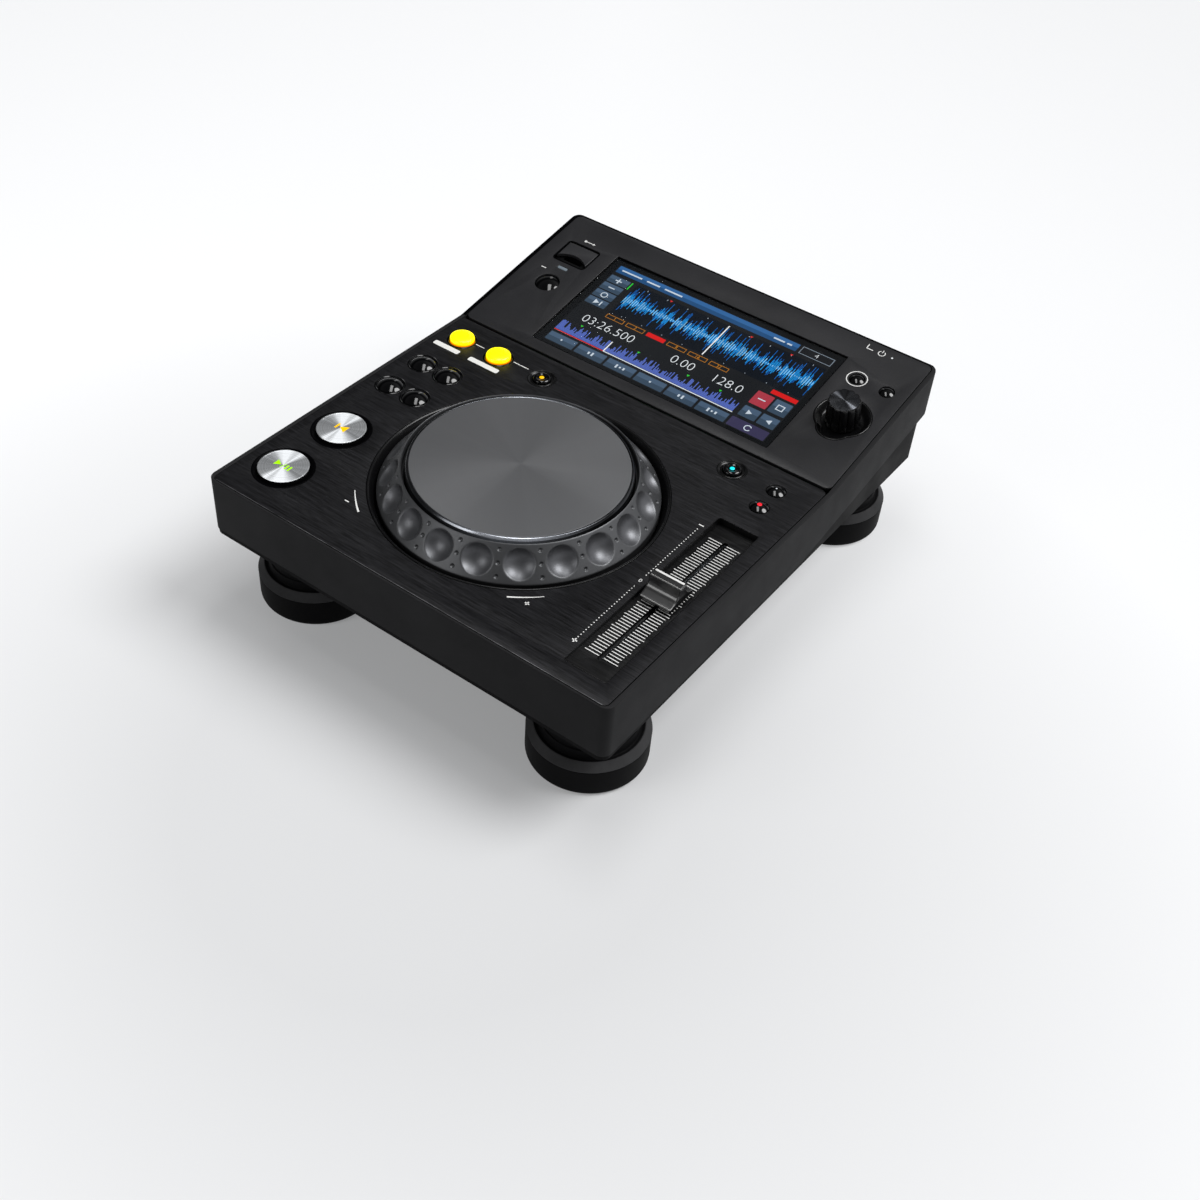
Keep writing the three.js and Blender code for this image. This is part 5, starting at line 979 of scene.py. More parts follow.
class Pattern(Tree):
    """A geometry node tree with named inputs that ends in real faces of one material."""

    def __init__(self, name: str, material: Material, inputs: dict[str, object]) -> None:
        """Starts the tree.

        Args:
            name: the tree's name.
            material: the faces' material.
            inputs: name and value of each other input.
        """
        super().__init__(bpy.data.node_groups.new(name, "GeometryNodeTree"))
        interface = self.tree.interface
        for way in ("INPUT", "OUTPUT"):
            interface.new_socket(name="Geometry", in_out=way, socket_type="NodeSocketGeometry")
        self.values: dict[str, object] = {}
        for label, value in {**inputs, "Material": material}.items():
            kind = next(kind for python, kind in SOCKET_KINDS if isinstance(value, python))
            socket = interface.new_socket(name=label, in_out="INPUT", socket_type=f"NodeSocket{kind}")
            self.values[socket.identifier] = value
        self.entry = self.node("NodeGroupInput").outputs
        self.exit = self.node("NodeGroupOutput")

    def line(self, offset: Socket) -> Socket:
        """As many points as the input Count, in a line from the input Start."""
        inputs = {"Count": self.entry["Count"], "Start Location": self.entry["Start"], "Offset": offset}
        return self.node("GeometryNodeMeshLine", inputs, mode="OFFSET").outputs[0]

    def run(
        self, points: Socket, shape: Socket, base: Mesh | None = None, weld: float = 0.0, **more: Socket
    ) -> Mesh:
        """Puts a shape on every point, makes the copies real, and runs the tree.

        Args:
            points: the places of the copies.
            shape: what is copied.
            base: the mesh that the tree starts from, empty if left out.
            weld: gap that is closed between copies.
            more: further inputs of the copying, such as Rotation.

        Returns:
            The plain result, in the base's own units.
        """
        placed = self.node("GeometryNodeInstanceOnPoints", {"Points": points, "Instance": shape, **more})
        last = self.node("GeometryNodeRealizeInstances", {0: placed.outputs[0]}).outputs[0]
        if weld:
            last = self.node("GeometryNodeMergeByDistance", {"Geometry": last, "Distance": weld}).outputs[0]
        dressed = self.node("GeometryNodeSetMaterial", {"Geometry": last, "Material": self.entry["Material"]})
        self.feed(self.exit.inputs[0], dressed.outputs[0])
        owner = linked("pattern", stored("pattern", bmesh.new() if base is None else base))
        modifier = owner.modifiers.new("pattern", "NODES")
        modifier.node_group = self.tree
        for identifier, value in self.values.items():
            modifier[identifier] = value
        return spent(owner)


def turned_copies(sector: Mesh, count: int, finish: Finish) -> Mesh:
    """Copies of a sector turned about the Z axis and welded into one ring.

    Args:
        sector: one share of the ring.
        count: how many shares make the ring.
        finish: the ring's finish.

    Returns:
        The ring.
    """
    pattern = Pattern("Turned copies", material_of(finish), {"Count": count})
    points = pattern.node("GeometryNodePoints", {"Count": pattern.entry["Count"]}).outputs[0]
    index = pattern.node("GeometryNodeInputIndex").outputs[0]
    share = pattern.maths("DIVIDE", TURN, pattern.entry["Count"])
    angle = pattern.vector(z=pattern.maths("MULTIPLY", index, share))
    return pattern.run(points, pattern.entry["Geometry"], sector, 0.004, Rotation=angle)


def row_of_bars(count: int, start: Place, step: Place, size: Place, finish: Finish) -> Mesh:
    """A straight row of equal bars.

    Args:
        count: how many bars.
        start: middle of the first bar.
        step: move from one bar to the next.
        size: size of a bar.
        finish: the bars' finish.

    Returns:
        The bars.
    """
    inputs = {"Count": count, "Start": start, "Step": step, "Size": size}
    pattern = Pattern("Row of bars", material_of(finish), inputs)
    cube = pattern.node("GeometryNodeMeshCube", {"Size": pattern.entry["Size"]}).outputs["Mesh"]
    return pattern.run(pattern.line(pattern.entry["Step"]), cube)


def row_of_dots(count: int, start: Place, step: Place, radius: float, depth: float, finish: Finish) -> Mesh:
    """A straight row of round dots.

    Args:
        count: how many dots.
        start: middle of the first dot.
        step: move from one dot to the next.
        radius: radius of a dot.
        depth: thickness of a dot.
        finish: the dots' finish.

    Returns:
        The dots.
    """
    inputs = {"Count": count, "Start": start, "Step": step, "Radius": radius, "Depth": depth}
    pattern = Pattern("Row of dots", material_of(finish), inputs)
    size = {"Vertices": 14, "Radius": pattern.entry["Radius"], "Depth": pattern.entry["Depth"]}
    disc = pattern.node("GeometryNodeMeshCylinder", size).outputs["Mesh"]
    return pattern.run(pattern.line(pattern.entry["Step"]), disc)


@dataclass(frozen=True)
class Wave:
    """A row of bars whose heights wander, as a sound's loudness does.

    Args:
        count: how many bars.
        start: middle of the first bar.
        pitch: move from one bar to the next.
        width: width of a bar.
        low: least height.
        high: greatest height.
        swell: how quickly the loudness swells along the row.
        seed: seed of the wandering.
        lift: share of its height that a bar stands above the row's line.
        depth: thickness of a bar.
    """

    count: int
    start: Place
    pitch: float
    width: float
    low: float
    high: float
    swell: float
    seed: int
    lift: float = 0.0
    depth: float = 0.02

    def build(self, finish: Finish) -> Mesh:
        """Makes the bars in one finish."""
        values = {key.capitalize(): value for key, value in asdict(self).items()}
        pattern = Pattern("Wave of bars", material_of(finish), values)
        entry, maths = pattern.entry, pattern.maths
        index = pattern.node("GeometryNodeInputIndex").outputs[0]
        along = {"W": maths("MULTIPLY", index, entry["Swell"]), "Detail": 3}
        swelling = pattern.node("ShaderNodeTexNoise", along, noise_dimensions="1D").outputs[0]
        wander = pattern.node("FunctionNodeRandomValue", {"Seed": entry["Seed"]}, data_type="FLOAT")
        chance = next(socket for socket in wander.outputs if socket.type == "VALUE")
        mixed = maths("MULTIPLY", maths("POWER", swelling, 1.6), maths("POWER", chance, 1.3))
        reach = maths("SUBTRACT", entry["High"], entry["Low"])
        height = maths("ADD", entry["Low"], maths("MULTIPLY", maths("MULTIPLY", mixed, 3.2), reach))
        height = maths("MINIMUM", height, entry["High"])
        row = pattern.line(pattern.vector(entry["Pitch"]))
        offset = pattern.vector(y=maths("MULTIPLY", height, entry["Lift"]))
        lifted = pattern.node("GeometryNodeSetPosition", {"Geometry": row, "Offset": offset}).outputs[0]
        cube = pattern.node("GeometryNodeMeshCube").outputs["Mesh"]
        return pattern.run(lifted, cube, Scale=pattern.vector(entry["Width"], height, entry["Depth"]))


# The base of every sub-assembly


@dataclass
class Assembly:
    """A sub-assembly, which turns its meshes into pieces of the frame and counts them."""

    pieces: int = field(default=0, init=False)

    def put(
        self,
        name: str,
        bm: Mesh,
        place: Matrix | Plane,
        finish: Finish,
        slot: Slot,
        node: str = "",
        smooth: float = 32.0,
        body: str = Body.CASE,
    ) -> bpy.types.Object:
        """Makes a piece and ties it to its body.

        Args:
            name: the piece's name.
            bm: its mesh, in millimetres on its own plane.
            place: that plane, or a place on it.
            finish: its finish.
            slot: the record's slot; not used.
            node: frame node that it stands for.
            smooth: edges sharper than this stay sharp, degrees.
            body: what it rides on.

        Returns:
            The piece's object.
        """
        data = stored(name, bm)
        data.transform(place.matrix() if isinstance(place, Plane) else place)
        data.shade_smooth()
        data.set_sharp_from_angle(angle=math.radians(smooth))
        data.materials.clear()
        data.materials.append(material_of(finish))
        piece = linked(name, data)
        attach(piece, str(body))
        if node:
            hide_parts(node)
        self.pieces += 1
        return piece


# Case


@dataclass
class UpperCase(Assembly):
    """The upper case: a tub turned over, with a rim round both plates."""

    radius: float = 5.0
    wall: float = 2.5
    housing: float = 28.0
    lower_edge: float = 48.0
    edge: float = 0.6
    rim: Place = (2.4, 0.9, 1.1)
    overhang: float = 11.7
    power_x: float = 82.0
    power_radius: float = 3.7
    smooth: float = 28.0

    def top(self, y: float) -> float:
        """Height of the rim at a place."""
        return DECK_Z + max(0.0, y - PANEL.y) * SLOPE

    def seam(self, y: float) -> float:
        """Height of the sloping seam at a place."""
        return self.top(REAR) - self.housing - (REAR - y) * SLOPE

    def bottom(self, y: float) -> float:
        """Height of the lower edge at a place."""
        return max(self.lower_edge, self.seam(y))

    def loop(self, insets: Place, height: Callable[[float], float], lift: float = 0.0) -> list[Vector]:
        """A loop round the case, with points where the sides bend.

        Args:
            insets: insets of the sides, the front and the rear.
            height: height at a place.
            lift: how far the loop runs above that height.

        Returns:
            The loop's points.
        """
        side, front, rear = insets
        half = CASE_WIDTH / 2 - side
        radius = max(0.8, self.radius - (side + front) / 2)
        outline = box_outline(-half, half, front - REAR, REAR - rear, radius, 8)
        stops = [REAR - (self.seam(REAR) - self.lower_edge) / SLOPE, PANEL.y]
        middle = len(outline) // 2
        points = outline[:middle] + [(half, y) for y in stops]
        points += outline[middle:] + [(-half, y) for y in reversed(stops)]
        return [Vector((x, y, height(y) + lift)) for x, y in points]

    def build(self) -> None:
        """Makes the case and the power key in its rear wall."""
        wall, rim = (self.wall,) * 3, self.rim
        loops = [self.loop(wall, self.bottom), self.loop((0.3,) * 3, self.bottom)]
        loops.append(self.loop((0.0,) * 3, self.bottom, 0.3))
        for across, up in arc(self.edge, 0, 90, 4):
            loops.append(self.loop((self.edge - across,) * 3, self.top, up - self.edge))
        loops.append(self.loop(tuple(side - 0.15 for side in rim), self.top))
        inside = ((rim, -0.15), (rim, -3.0), (wall, -3.6))
        loops += [self.loop(insets, self.top, lift) for insets, lift in inside]
        half, front, rear = (CASE_WIDTH - self.wall) / 2, REAR - self.overhang - 2, REAR - 1
        corners = ((-half, front), (half, front), (half, rear), (-half, rear))
        under = [[Vector((x, y, self.seam(y) + lift)) for x, y in corners] for lift in (0.0, 2.0)]
        whole = merged(lofted(loops), lofted(under, closed=False))
        piece = self.put(
            "upper_case_skin", whole, WORLD, CASE_PLASTIC, Slot.CHARCOAL, "upper_case", self.smooth
        )
        self.bore_power_hole(piece)

    def bore_power_hole(self, piece: bpy.types.Object) -> None:
        """Bores the rear wall for the power key and makes the key."""
        centre = (self.power_x, REAR, self.top(REAR) - self.housing / 2)
        along = Matrix.Rotation(math.radians(-90), 4, "X")
        r = self.power_radius
        drill = moved(turned([(0, -6), (r, -6), (r, 3), (0, 3)], 48), *centre, along)
        tool = linked("drill", stored("drill", drill))
        tool.data.transform(WORLD.matrix())
        modifier = piece.modifiers.new("bore", "BOOLEAN")
        modifier.operation, modifier.solver, modifier.object = "DIFFERENCE", "EXACT", tool
        result = evaluated(piece)
        piece.modifiers.remove(modifier)
        piece.data = result
        result.set_sharp_from_angle(angle=math.radians(self.smooth))
        bpy.data.objects.remove(tool)
        profile = rounded([(0, -1.4, 0), (2.4, -1.3, 0.3), (3.4, -1.45, 0.25), (3.4, -8, 0.1), (0, -8, 0)])
        cap = moved(turned(profile, 48), *centre, along)
        self.put("power_key_cap", cap, WORLD, SATIN, Slot.BLACK, "power_button", body=Body.POWER)


@dataclass
class Feet(Assembly):
    """Four round rubber feet on dark necks, each with a lighter band over its chamfer: painted light from
    above.
    """

    radius: float = 30.5
    side: float = 88.9
    depths: Point = (37.0, 269.5)
    neck_top: float = 46.5

    def build(self) -> None:
        """Makes each foot."""
        r, top = self.radius, self.neck_top
        base = [(0, 0.6, 0), (r - 9, 0.6, 0.3), (r - 9.6, 0, 0.3), (r, 0, 3.4)]
        base += [(r, 16.5, 1.0), (r - 3.4, 20.4, 0.9)]
        neck = [(25.2, 20.4, 0.6), (24.8, 21.6, 0.5), (24.4, 24.6, 0.5), (23.6, 24.8, 0.3), (23.6, top, 0.4)]
        profile = rounded([*base, *neck, (0, top, 0)], 6)
        inner = r - 3.6
        band = [(r - 0.1, 16.4), (r + 0.05, 16.9), (r - 3.15, 20.45), (inner, 20.5), (inner, 20.2)]
        for depth, row in zip(self.depths, ("front", "rear")):
            for x, side in ((-self.side, "left"), (self.side, "right")):
                foot, place = f"foot_{row}_{side}", Plane(DECK.y, 0).matrix(x, depth)
                self.put(f"{foot}_rubber", turned(profile, 128), place, RUBBER, Slot.RUBBER, foot, 40)
                # The chamfer band is lighter than the foot: painted light from above.
                chamfer = turned(band, 128, closed=True)
                self.put(f"{foot}_chamfer", chamfer, place, PAINTED_LIGHT_CHAMFER, Slot.RUBBER, smooth=40)


# Round keys


class KeyKind(Enum):
    """The kinds of round key.

    Each has the radius of its cap and of the plate's opening, the rise of its
    dome, or nought, and how deep the dome's rim sits.
    """

    MAIN = (12.9, 15.0, 0.0, 0.0)
    DOME = (6.9, 7.25, 2.4, 0.0)
    LOOP = (6.9, 7.25, 0.0, 0.0)
    LED = (4.9, 8.0, 0.0, 0.0)
    SMALL = (4.9, 5.25, 1.7, 0.0)
    STOP = (6.9, 7.25, 1.9, 0.9)
    PANEL = (4.0, 4.35, 1.3, 0.4)

    def __init__(self, radius: float, hole: float, rise: float, sunk: float) -> None:
        """Names the four measures."""
        self.radius, self.hole, self.rise, self.sunk = radius, hole, rise, sunk


@dataclass(frozen=True)
class Key:
    """One round key: its node's stem, place, kind and light."""

    stem: str
    x: float
    y: float
    kind: KeyKind
    light: Light | None = None


DECK_KEYS = (
    Key("play", -98.8, 29.0, KeyKind.MAIN, Light.GREEN),
    Key("cue", -98.8, 70.4, KeyKind.MAIN, Light.AMBER),
    Key("track_back", -106.6, 142.4, KeyKind.DOME),
    Key("track_forward", -89.2, 142.4, KeyKind.DOME),
    Key("search_back", -106.6, 116.0, KeyKind.DOME),
    Key("search_forward", -89.2, 116.0, KeyKind.DOME),
    Key("loop_in", -105.4, 174.2, KeyKind.LOOP),
    Key("loop_out", -79.6, 174.2, KeyKind.LOOP),
    Key("loop_exit", -49.4, 174.2, KeyKind.LED, Light.AMBER),
    Key("vinyl_mode", 72.6, 175.6, KeyKind.LED, Light.CYAN),
    Key("tempo_range", 99.0, 175.6, KeyKind.SMALL, Light.WHITE),
    Key("master_tempo", 99.0, 159.4, KeyKind.SMALL, Light.RED),
)
PANEL_KEYS = (
    Key("usb_stop", -98.4, 49.6, KeyKind.STOP),
    Key("back", 90.0, 78.6, KeyKind.PANEL),
    Key("tag", 108.2, 78.6, KeyKind.PANEL),
)
COLLARS = {KeyKind.DOME: 8.4, KeyKind.LOOP: 8.6}
SLANTED_STROKE = [(-1.0, -1.8), (-0.5, -1.8), (0.9, 1.8), (0.4, 1.8)]
PAUSE = bars((2.2, 0, 1.0, 3.6), (4.2, 0, 1.0, 3.6))
SIGNS = {
    "play": [triangle(-5.0, 0, 3.6, 1), SLANTED_STROKE, *PAUSE],
    "cue": [bar(-2.6, 0, 1.1, 4.2), triangle(3.4, 0, 4.4, -1)],
}


@dataclass
class Keys(Assembly):
    """All the round keys, with their rings, lights and signs."""

    foot: float = -4.0
    main_top: float = 1.55

    def crown(self, kind: KeyKind, distance: float) -> float:
        """The height of a dome at a distance from its middle."""
        ball = (kind.radius**2 + kind.rise**2) / (2 * kind.rise)
        return math.sqrt(max(0.0, ball * ball - distance * distance)) - ball + kind.rise - kind.sunk

    def cap_profile(self, kind: KeyKind) -> Profile:
        """The profile of a key's cap, from its foot to its middle."""
        r, foot, top = kind.radius, self.foot, self.main_top
        if kind.rise:
            dome = [r * math.cos(math.radians(a)) for a in range(0, 86, 5)] + [0.0]
            return [(0.0, foot), (r, foot), *((u, self.crown(kind, u)) for u in dome)]
        groove = [(r - 1.0, 1.6, 0.12), (r - 1.1, 1.5, 0.1), (r - 1.4, top, 0.1), (0, top, 0)]
        dish = [(r - 1.7, 1.15, 0.3), (r - 2.6, 0.75, 0.5), (0, 0.75, 0)]
        corners, steps = {
            KeyKind.MAIN: ([(r - 0.2, 1.1, 0.1), (r, 1.2, 0.1), (r - 0.3, top, 0.15), *groove], 3),
            KeyKind.LOOP: ([(r, 2.4, 1.6), (r - 2.6, 3.1, 1.2), (0, 3.2, 0)], 6),
            KeyKind.LED: ([(r, 0.6, 0.5), (r - 0.9, 1.2, 0.4), *dish], 4),
        }[kind]
        return rounded([(0, foot, 0), (corners[0][0], foot, 0.1), *corners], steps)

    def build(self) -> None:
        """Makes every key."""
        for keys, plane in ((DECK_KEYS, DECK), (PANEL_KEYS, PANEL)):
            for key in keys:
                self.make(key, plane.matrix(key.x, key.y))

    def make(self, key: Key, place: Matrix) -> None:
        """Makes one key with what belongs to it."""
        kind = key.kind
        finish, slot, steps = POLISHED, Slot.GLOSS, 96
        if kind is KeyKind.MAIN:
            centre = place @ Vector((0, 0, 0))
            name = f"Spun {key.stem} cap"
            # The cap's colour carries painted highlight fans.
            finish = SpunMetal(name, paint("8a8c8e"), centre, 0.26, 0.4, 0.000001, streak=0.08, metallic=0.3)
            slot, steps = Slot.SILVER, 128
        elif kind is KeyKind.LOOP:
            finish, slot = YELLOW_LIGHT, Slot.YELLOW
        cap = turned(self.cap_profile(kind), steps)
        self.put(f"{key.stem}_cap", cap, place, finish, slot, f"{key.stem}_button", body=f"{key.stem}_key")
        if kind is KeyKind.MAIN:
            self.main_ring(key, place)
        elif kind is KeyKind.LED:
            self.bezel(key, place)
        elif kind in COLLARS:
            self.collar(key, place, COLLARS[kind])
        self.sign(key, place)

    def main_ring(self, key: Key, place: Matrix) -> None:
        """The dark skirt below a main key's metal, and the polished ring round it."""
        outer, inner = key.kind.radius + 0.02, key.kind.radius - 0.3
        skirt = turned([(inner, -3.9), (outer, -3.9), (outer, 1.05), (inner, 1.05)], 128, closed=True)
        self.put(f"{key.stem}_skirt", skirt, place, SATIN, Slot.BLACK, body=f"{key.stem}_key")
        foot = [(13.25, -1.8, 0.1), (14.75, -1.8, 0.1), (14.75, 0.02, 0.02), (15.9, 0.02, 0.05)]
        profile = rounded([*foot, (15.9, 0.1, 0.1), (15.3, 0.2, 0.2), (13.25, -0.5, 0.2)])
        ring = turned(profile, 128, closed=True)
        self.put(f"{key.stem}_surround", ring, place, DEEP_BLACK, Slot.GLOSS, f"{key.stem}_ring", 40)

    def collar(self, key: Key, place: Matrix, outer: float) -> None:
        """The thin polished collar round a small key."""
        inner = key.kind.radius + 0.45
        corners = [(inner, 0.0, 0.02), (outer, 0.0, 0.02), (outer, 0.12, 0.1), (outer - 0.5, 0.3, 0.15)]
        profile = rounded([*corners, (inner, 0.05, 0.05)], 3)
        self.put(f"{key.stem}_collar", turned(profile, closed=True), place, POLISHED, Slot.GLOSS, smooth=40)

    def bezel(self, key: Key, place: Matrix) -> None:
        """The dished ring in which a small lit key sits."""
        outer, inner = key.kind.hole - 0.05, key.kind.radius + 0.4
        corners = [(inner, -1.5, 0.1), (outer, -1.5, 0.1), (outer, 0.05, 0.05), (outer - 0.5, 0.1, 0.2)]
        corners += [(outer - 1.1, -0.5, 0.3), (inner + 0.9, -0.9, 0.3)]
        corners += [(inner + 0.5, -0.6, 0.2), (inner, -0.6, 0.1)]
        bezel = turned(rounded(corners), closed=True)
        self.put(f"{key.stem}_bezel", bezel, place, SATIN, Slot.GLOSS, smooth=40)

    def sign(self, key: Key, place: Matrix) -> None:
        """The lit sign or the small lens on a key."""
        if key.light is None:
            return
        if key.stem in SIGNS:
            name, mesh = "sign", patch(SIGNS[key.stem], 0.0, surface=lambda x, y: self.main_top)
        else:
            r = 0.5 if key.light is Light.WHITE else 1.3
            z = 0.75 if key.kind is KeyKind.LED else self.crown(key.kind, 0) - 0.25
            lens = [(0, -0.6), (r, -0.6), (r, 0.1), (r * 0.8, 0.28), (r * 0.45, 0.38), (0, 0.42)]
            name, mesh = "light", turned([(u, z + v) for u, v in lens], 32)
        self.put(f"{key.stem}_{name}", mesh, place, key.light.finish(), Slot.IVORY, body=f"{key.stem}_key")


# Deck


@dataclass
class DeckSheet(Assembly):
    """The brushed deck plate with its openings, and the marks printed on it."""

    jog_hole: float = 75.75
    tray: Box = (88.0, 111.4, 12.5, 139.9)
    thickness: float = 1.5
    scale_x: float = 84.7

    def build(self) -> None:
        """Makes the plate and a painted highlight: a light line along its front edge."""
        half = PLATE_HALF
        holes = [circle_outline(*JOG, self.jog_hole, 192), box_outline(*self.tray, 1.6, 5)]
        holes += [circle_outline(key.x, key.y, key.kind.hole) for key in DECK_KEYS]
        plate = slab(box_outline(-half, half, 1.3, 192.0, 2.7, 8), -self.thickness, 0, holes, 0.22)
        self.put("deck_sheet", plate, DECK, DECK_SHEET, Slot.BRUSHED, "deck_plate", 25)
        # A thin light strip along the front edge: painted highlight.
        line = slab(box_outline(2 - half, half - 2, 1.42, 1.66, 0.1, 2), -0.05, 0.03, (), 0.02)
        self.put("deck_front_line", line, DECK, PAINTED_EDGE_HIGHLIGHT, Slot.BRUSHED, smooth=30)
        self.print_marks()

    def print_marks(self) -> None:
        """Prints the arcs, the fader's dotted line and the small signs."""
        x = self.scale_x
        marks = [arc_band(JOG, 81.0, (0.35, 0.95), 222.8, 234.7, 16)]
        marks.append(arc_band(JOG, 80.4, (0.95, 0.35), 304.2, 316.5, 16))
        marks += bars((-57.8, 30.6, 2.6, 0.7), (x, 128.6, 2.8, 0.7))
        marks += bars((-93.9, 175.8, 6.0, 0.55), (-65.4, 176.3, 10.4, 0.55))
        marks += plus(53.8, 30.3, 2.4, 0.7) + plus(x, 25.4, 2.8, 0.7)
        fields = plates(((-116.0, -98.4, 161.2, 164.8), (-91.4, -71.0, 161.3, 164.9)), 1.0, 4)
        dots = []
        for y, step in ((81.5, 1.98), (71.7, -1.98)):
            dots.append(row_of_dots(23, (x, y, 0.015), (0, step, 0), 0.34, 0.03, WHITE_INK_AND_HIGHLIGHT))
        for name, mesh in (
            ("deck_marks", patch(marks, 0.0)),
            ("deck_label_fields", patch(fields, 0.0)),
            ("fader_dotted_line", merged(*dots)),
            ("fader_zero", text_mesh("0", 3.4, 0.03, x, 76.6)),
        ):
            self.put(name, mesh, DECK, WHITE_INK_AND_HIGHLIGHT, Slot.IVORY)


# Jog wheel


def grid_stops(start: float, end: float, dense: Sequence[Point], fine: float, coarse: float) -> list[float]:
    """Stops along a line that are closer together near chosen places.

    Args:
        start: first stop.
        end: last stop.
        dense: middle and half-reach of each place with close stops.
        fine: step inside those places.
        coarse: step elsewhere.

    Returns:
        The stops, symmetric where the places are.
    """
    edges = sorted({start, end, *(min(max(m + s * r, start), end) for m, r in dense for s in (-1, 1))})
    stops: list[float] = []
    for a, b in zip(edges, edges[1:]):
        step = fine if any(abs((a + b) / 2 - m) <= r for m, r in dense) else coarse
        count = max(1, math.ceil((b - a) / step))
        stops += [a + (b - a) * k / count for k in range(count)]
    return stops + [end]


@dataclass
class JogWheel(Assembly):
    """The dimpled wheel in its well, and the spun plate on top."""

    edge: Point = (70.5, -1.0)
    rim: Point = (59.0, 13.3)
    dimples: int = 20
    first: float = 2.2
    dimple_radius: float = 7.75
    dimple_depth: float = 3.4
    pit_radius: float = 1.0
    pit_depth: float = 0.8
    pit_shares: Place = (0.15, 0.5, 0.85)

    @property
    def face(self) -> Vector:
        """Radius and height from the lower edge of the wheel's face to its rim."""
        return Vector(self.rim) - Vector(self.edge)

    def cone(self, share: float) -> Vector:
        """Radius and height at a share of the way up the wheel's face."""
        return Vector(self.edge) + self.face * share

    def hollow(self, distance: float, radius: float, depth: float, soft: float) -> float:
        """Depth of a round hollow at a distance from its middle."""
        if distance >= radius + soft:
            return 0.0
        ball = (radius**2 + depth**2) / (2 * depth)
        if distance < radius - soft:
            return math.sqrt(ball * ball - distance * distance) - ball + depth
        lip = math.sqrt(ball * ball - (radius - soft) ** 2) - ball + depth
        t = (radius + soft - distance) / (2 * soft)
        return lip * t * t

    def dip(self, radius: float, angle: float, share: float) -> float:
        """Depth of the dimple and pits at a radius, an angle and a share of the way up."""
        length, half = self.face.length, math.pi / self.dimples
        away = math.hypot(radius * angle, (share - 0.5) * length)
        dip = self.hollow(away, self.dimple_radius, self.dimple_depth, 0.35)
        for pit in self.pit_shares:
            away = math.hypot(radius * (half - abs(angle)), (share - pit) * length)
            dip += self.hollow(away, self.pit_radius, self.pit_depth, 0.16)
        return dip

    def sector(self) -> Mesh:
        """One share of the wheel's face, with its dimple and half of each row of pits."""
        normal = Vector((self.face.y, -self.face.x)).normalized()
        half = math.pi / self.dimples
        columns = grid_stops(-half, half, [(-half, 0.021), (half, 0.021)], 0.0032, 0.0085)
        shares = grid_stops(0, 1, [(share, 0.075) for share in self.pit_shares], 0.0125, 0.026)
        bm = bmesh.new()

        def ring(u: float, z: float) -> list[bmesh.types.BMVert]:
            """A plain row of points at a radius and a height."""
            return [bm.verts.new((*polar(u, angle), z)) for angle in columns]

        rows = []
        for share in shares:
            u, z = self.cone(share)
            row = []
            for angle in columns:
                dip = self.dip(u, angle, share)
                row.append(bm.verts.new((*polar(u - normal.x * dip, angle), z - normal.y * dip)))
            rows.append(row)
        u, z = self.rim
        rows += [ring(*point) for point in ((u - 0.25, z + 0.1), (u - 0.5, z - 0.1), (u - 0.7, z - 0.9))]
        rows += [ring(*point) for point in ((57.9, 9.0), (57.3, 8.6), (57.3, 6.0))]
        under = ((57.3, 3.9), (67.9, -4.0), (67.9, -8.0), (70.5, -8.0))
        under += ((70.5, -2.4), (70.8, -1.8), (70.75, -1.35))
        rows = [ring(*point) for point in under] + rows
        skin(bm, rows + rows[:1], wrap=False)
        return bm

    def build(self) -> None:
        """Makes the well, the wheel and the plate."""
        place = DECK.matrix(*JOG, 0, math.radians(self.first))
        centre = place @ Vector((0, 0, 0))
        lip = [(75.45, -3.2, 0.2), (75.45, 0.06, 0.15), (74.9, 0.16, 0.15)]
        slope = [(74.2, -0.25, 0.2), (72.0, -3.9, 0.3)]
        floor = [(71.8, -4.6, 0.3), (71.8, -17, 1.0), (8, -17, 0.4), (8, 2, 0.3), (5, 2, 0.2)]
        outside = [(5, -18.8, 0.2), (79.8, -18.8, 0.4), (79.8, -3.2, 0.2)]
        well = turned(rounded([*lip, *slope, *floor, *outside]), 256, closed=True)
        self.put("jog_well_ring", well, place, SATIN, Slot.BLACK, "jog_well", 40)
        metal = DimpledMetal(
            "Jog ring metal",
            paint("58595b"),
            paint("646568"),
            centre,
            self.first,
            self.dimples,
            tuple(self.cone(0.5) * MM),
            tuple(self.face.normalized()),
            self.dimple_radius * MM,
        )
        ring = turned_copies(self.sector(), self.dimples, metal)
        bmesh.ops.recalc_face_normals(ring, faces=ring.faces)
        self.put("jog_wheel_ring", ring, place, metal, Slot.RING, "jog_wheel", 38, Body.WHEEL)
        hub = [(5.1, 6), (5.1, 4), (11, 4), (11, -6), (13, -6), (13, 4), (57.4, 3.9), (57.4, 6)]
        web = turned(rounded([(u, z, 0.2) for u, z in hub], 2), 128, closed=True)
        self.put("jog_wheel_web", web, place, BASE, Slot.RING, smooth=40, body=Body.WHEEL)
        self.top_plate(place, centre)

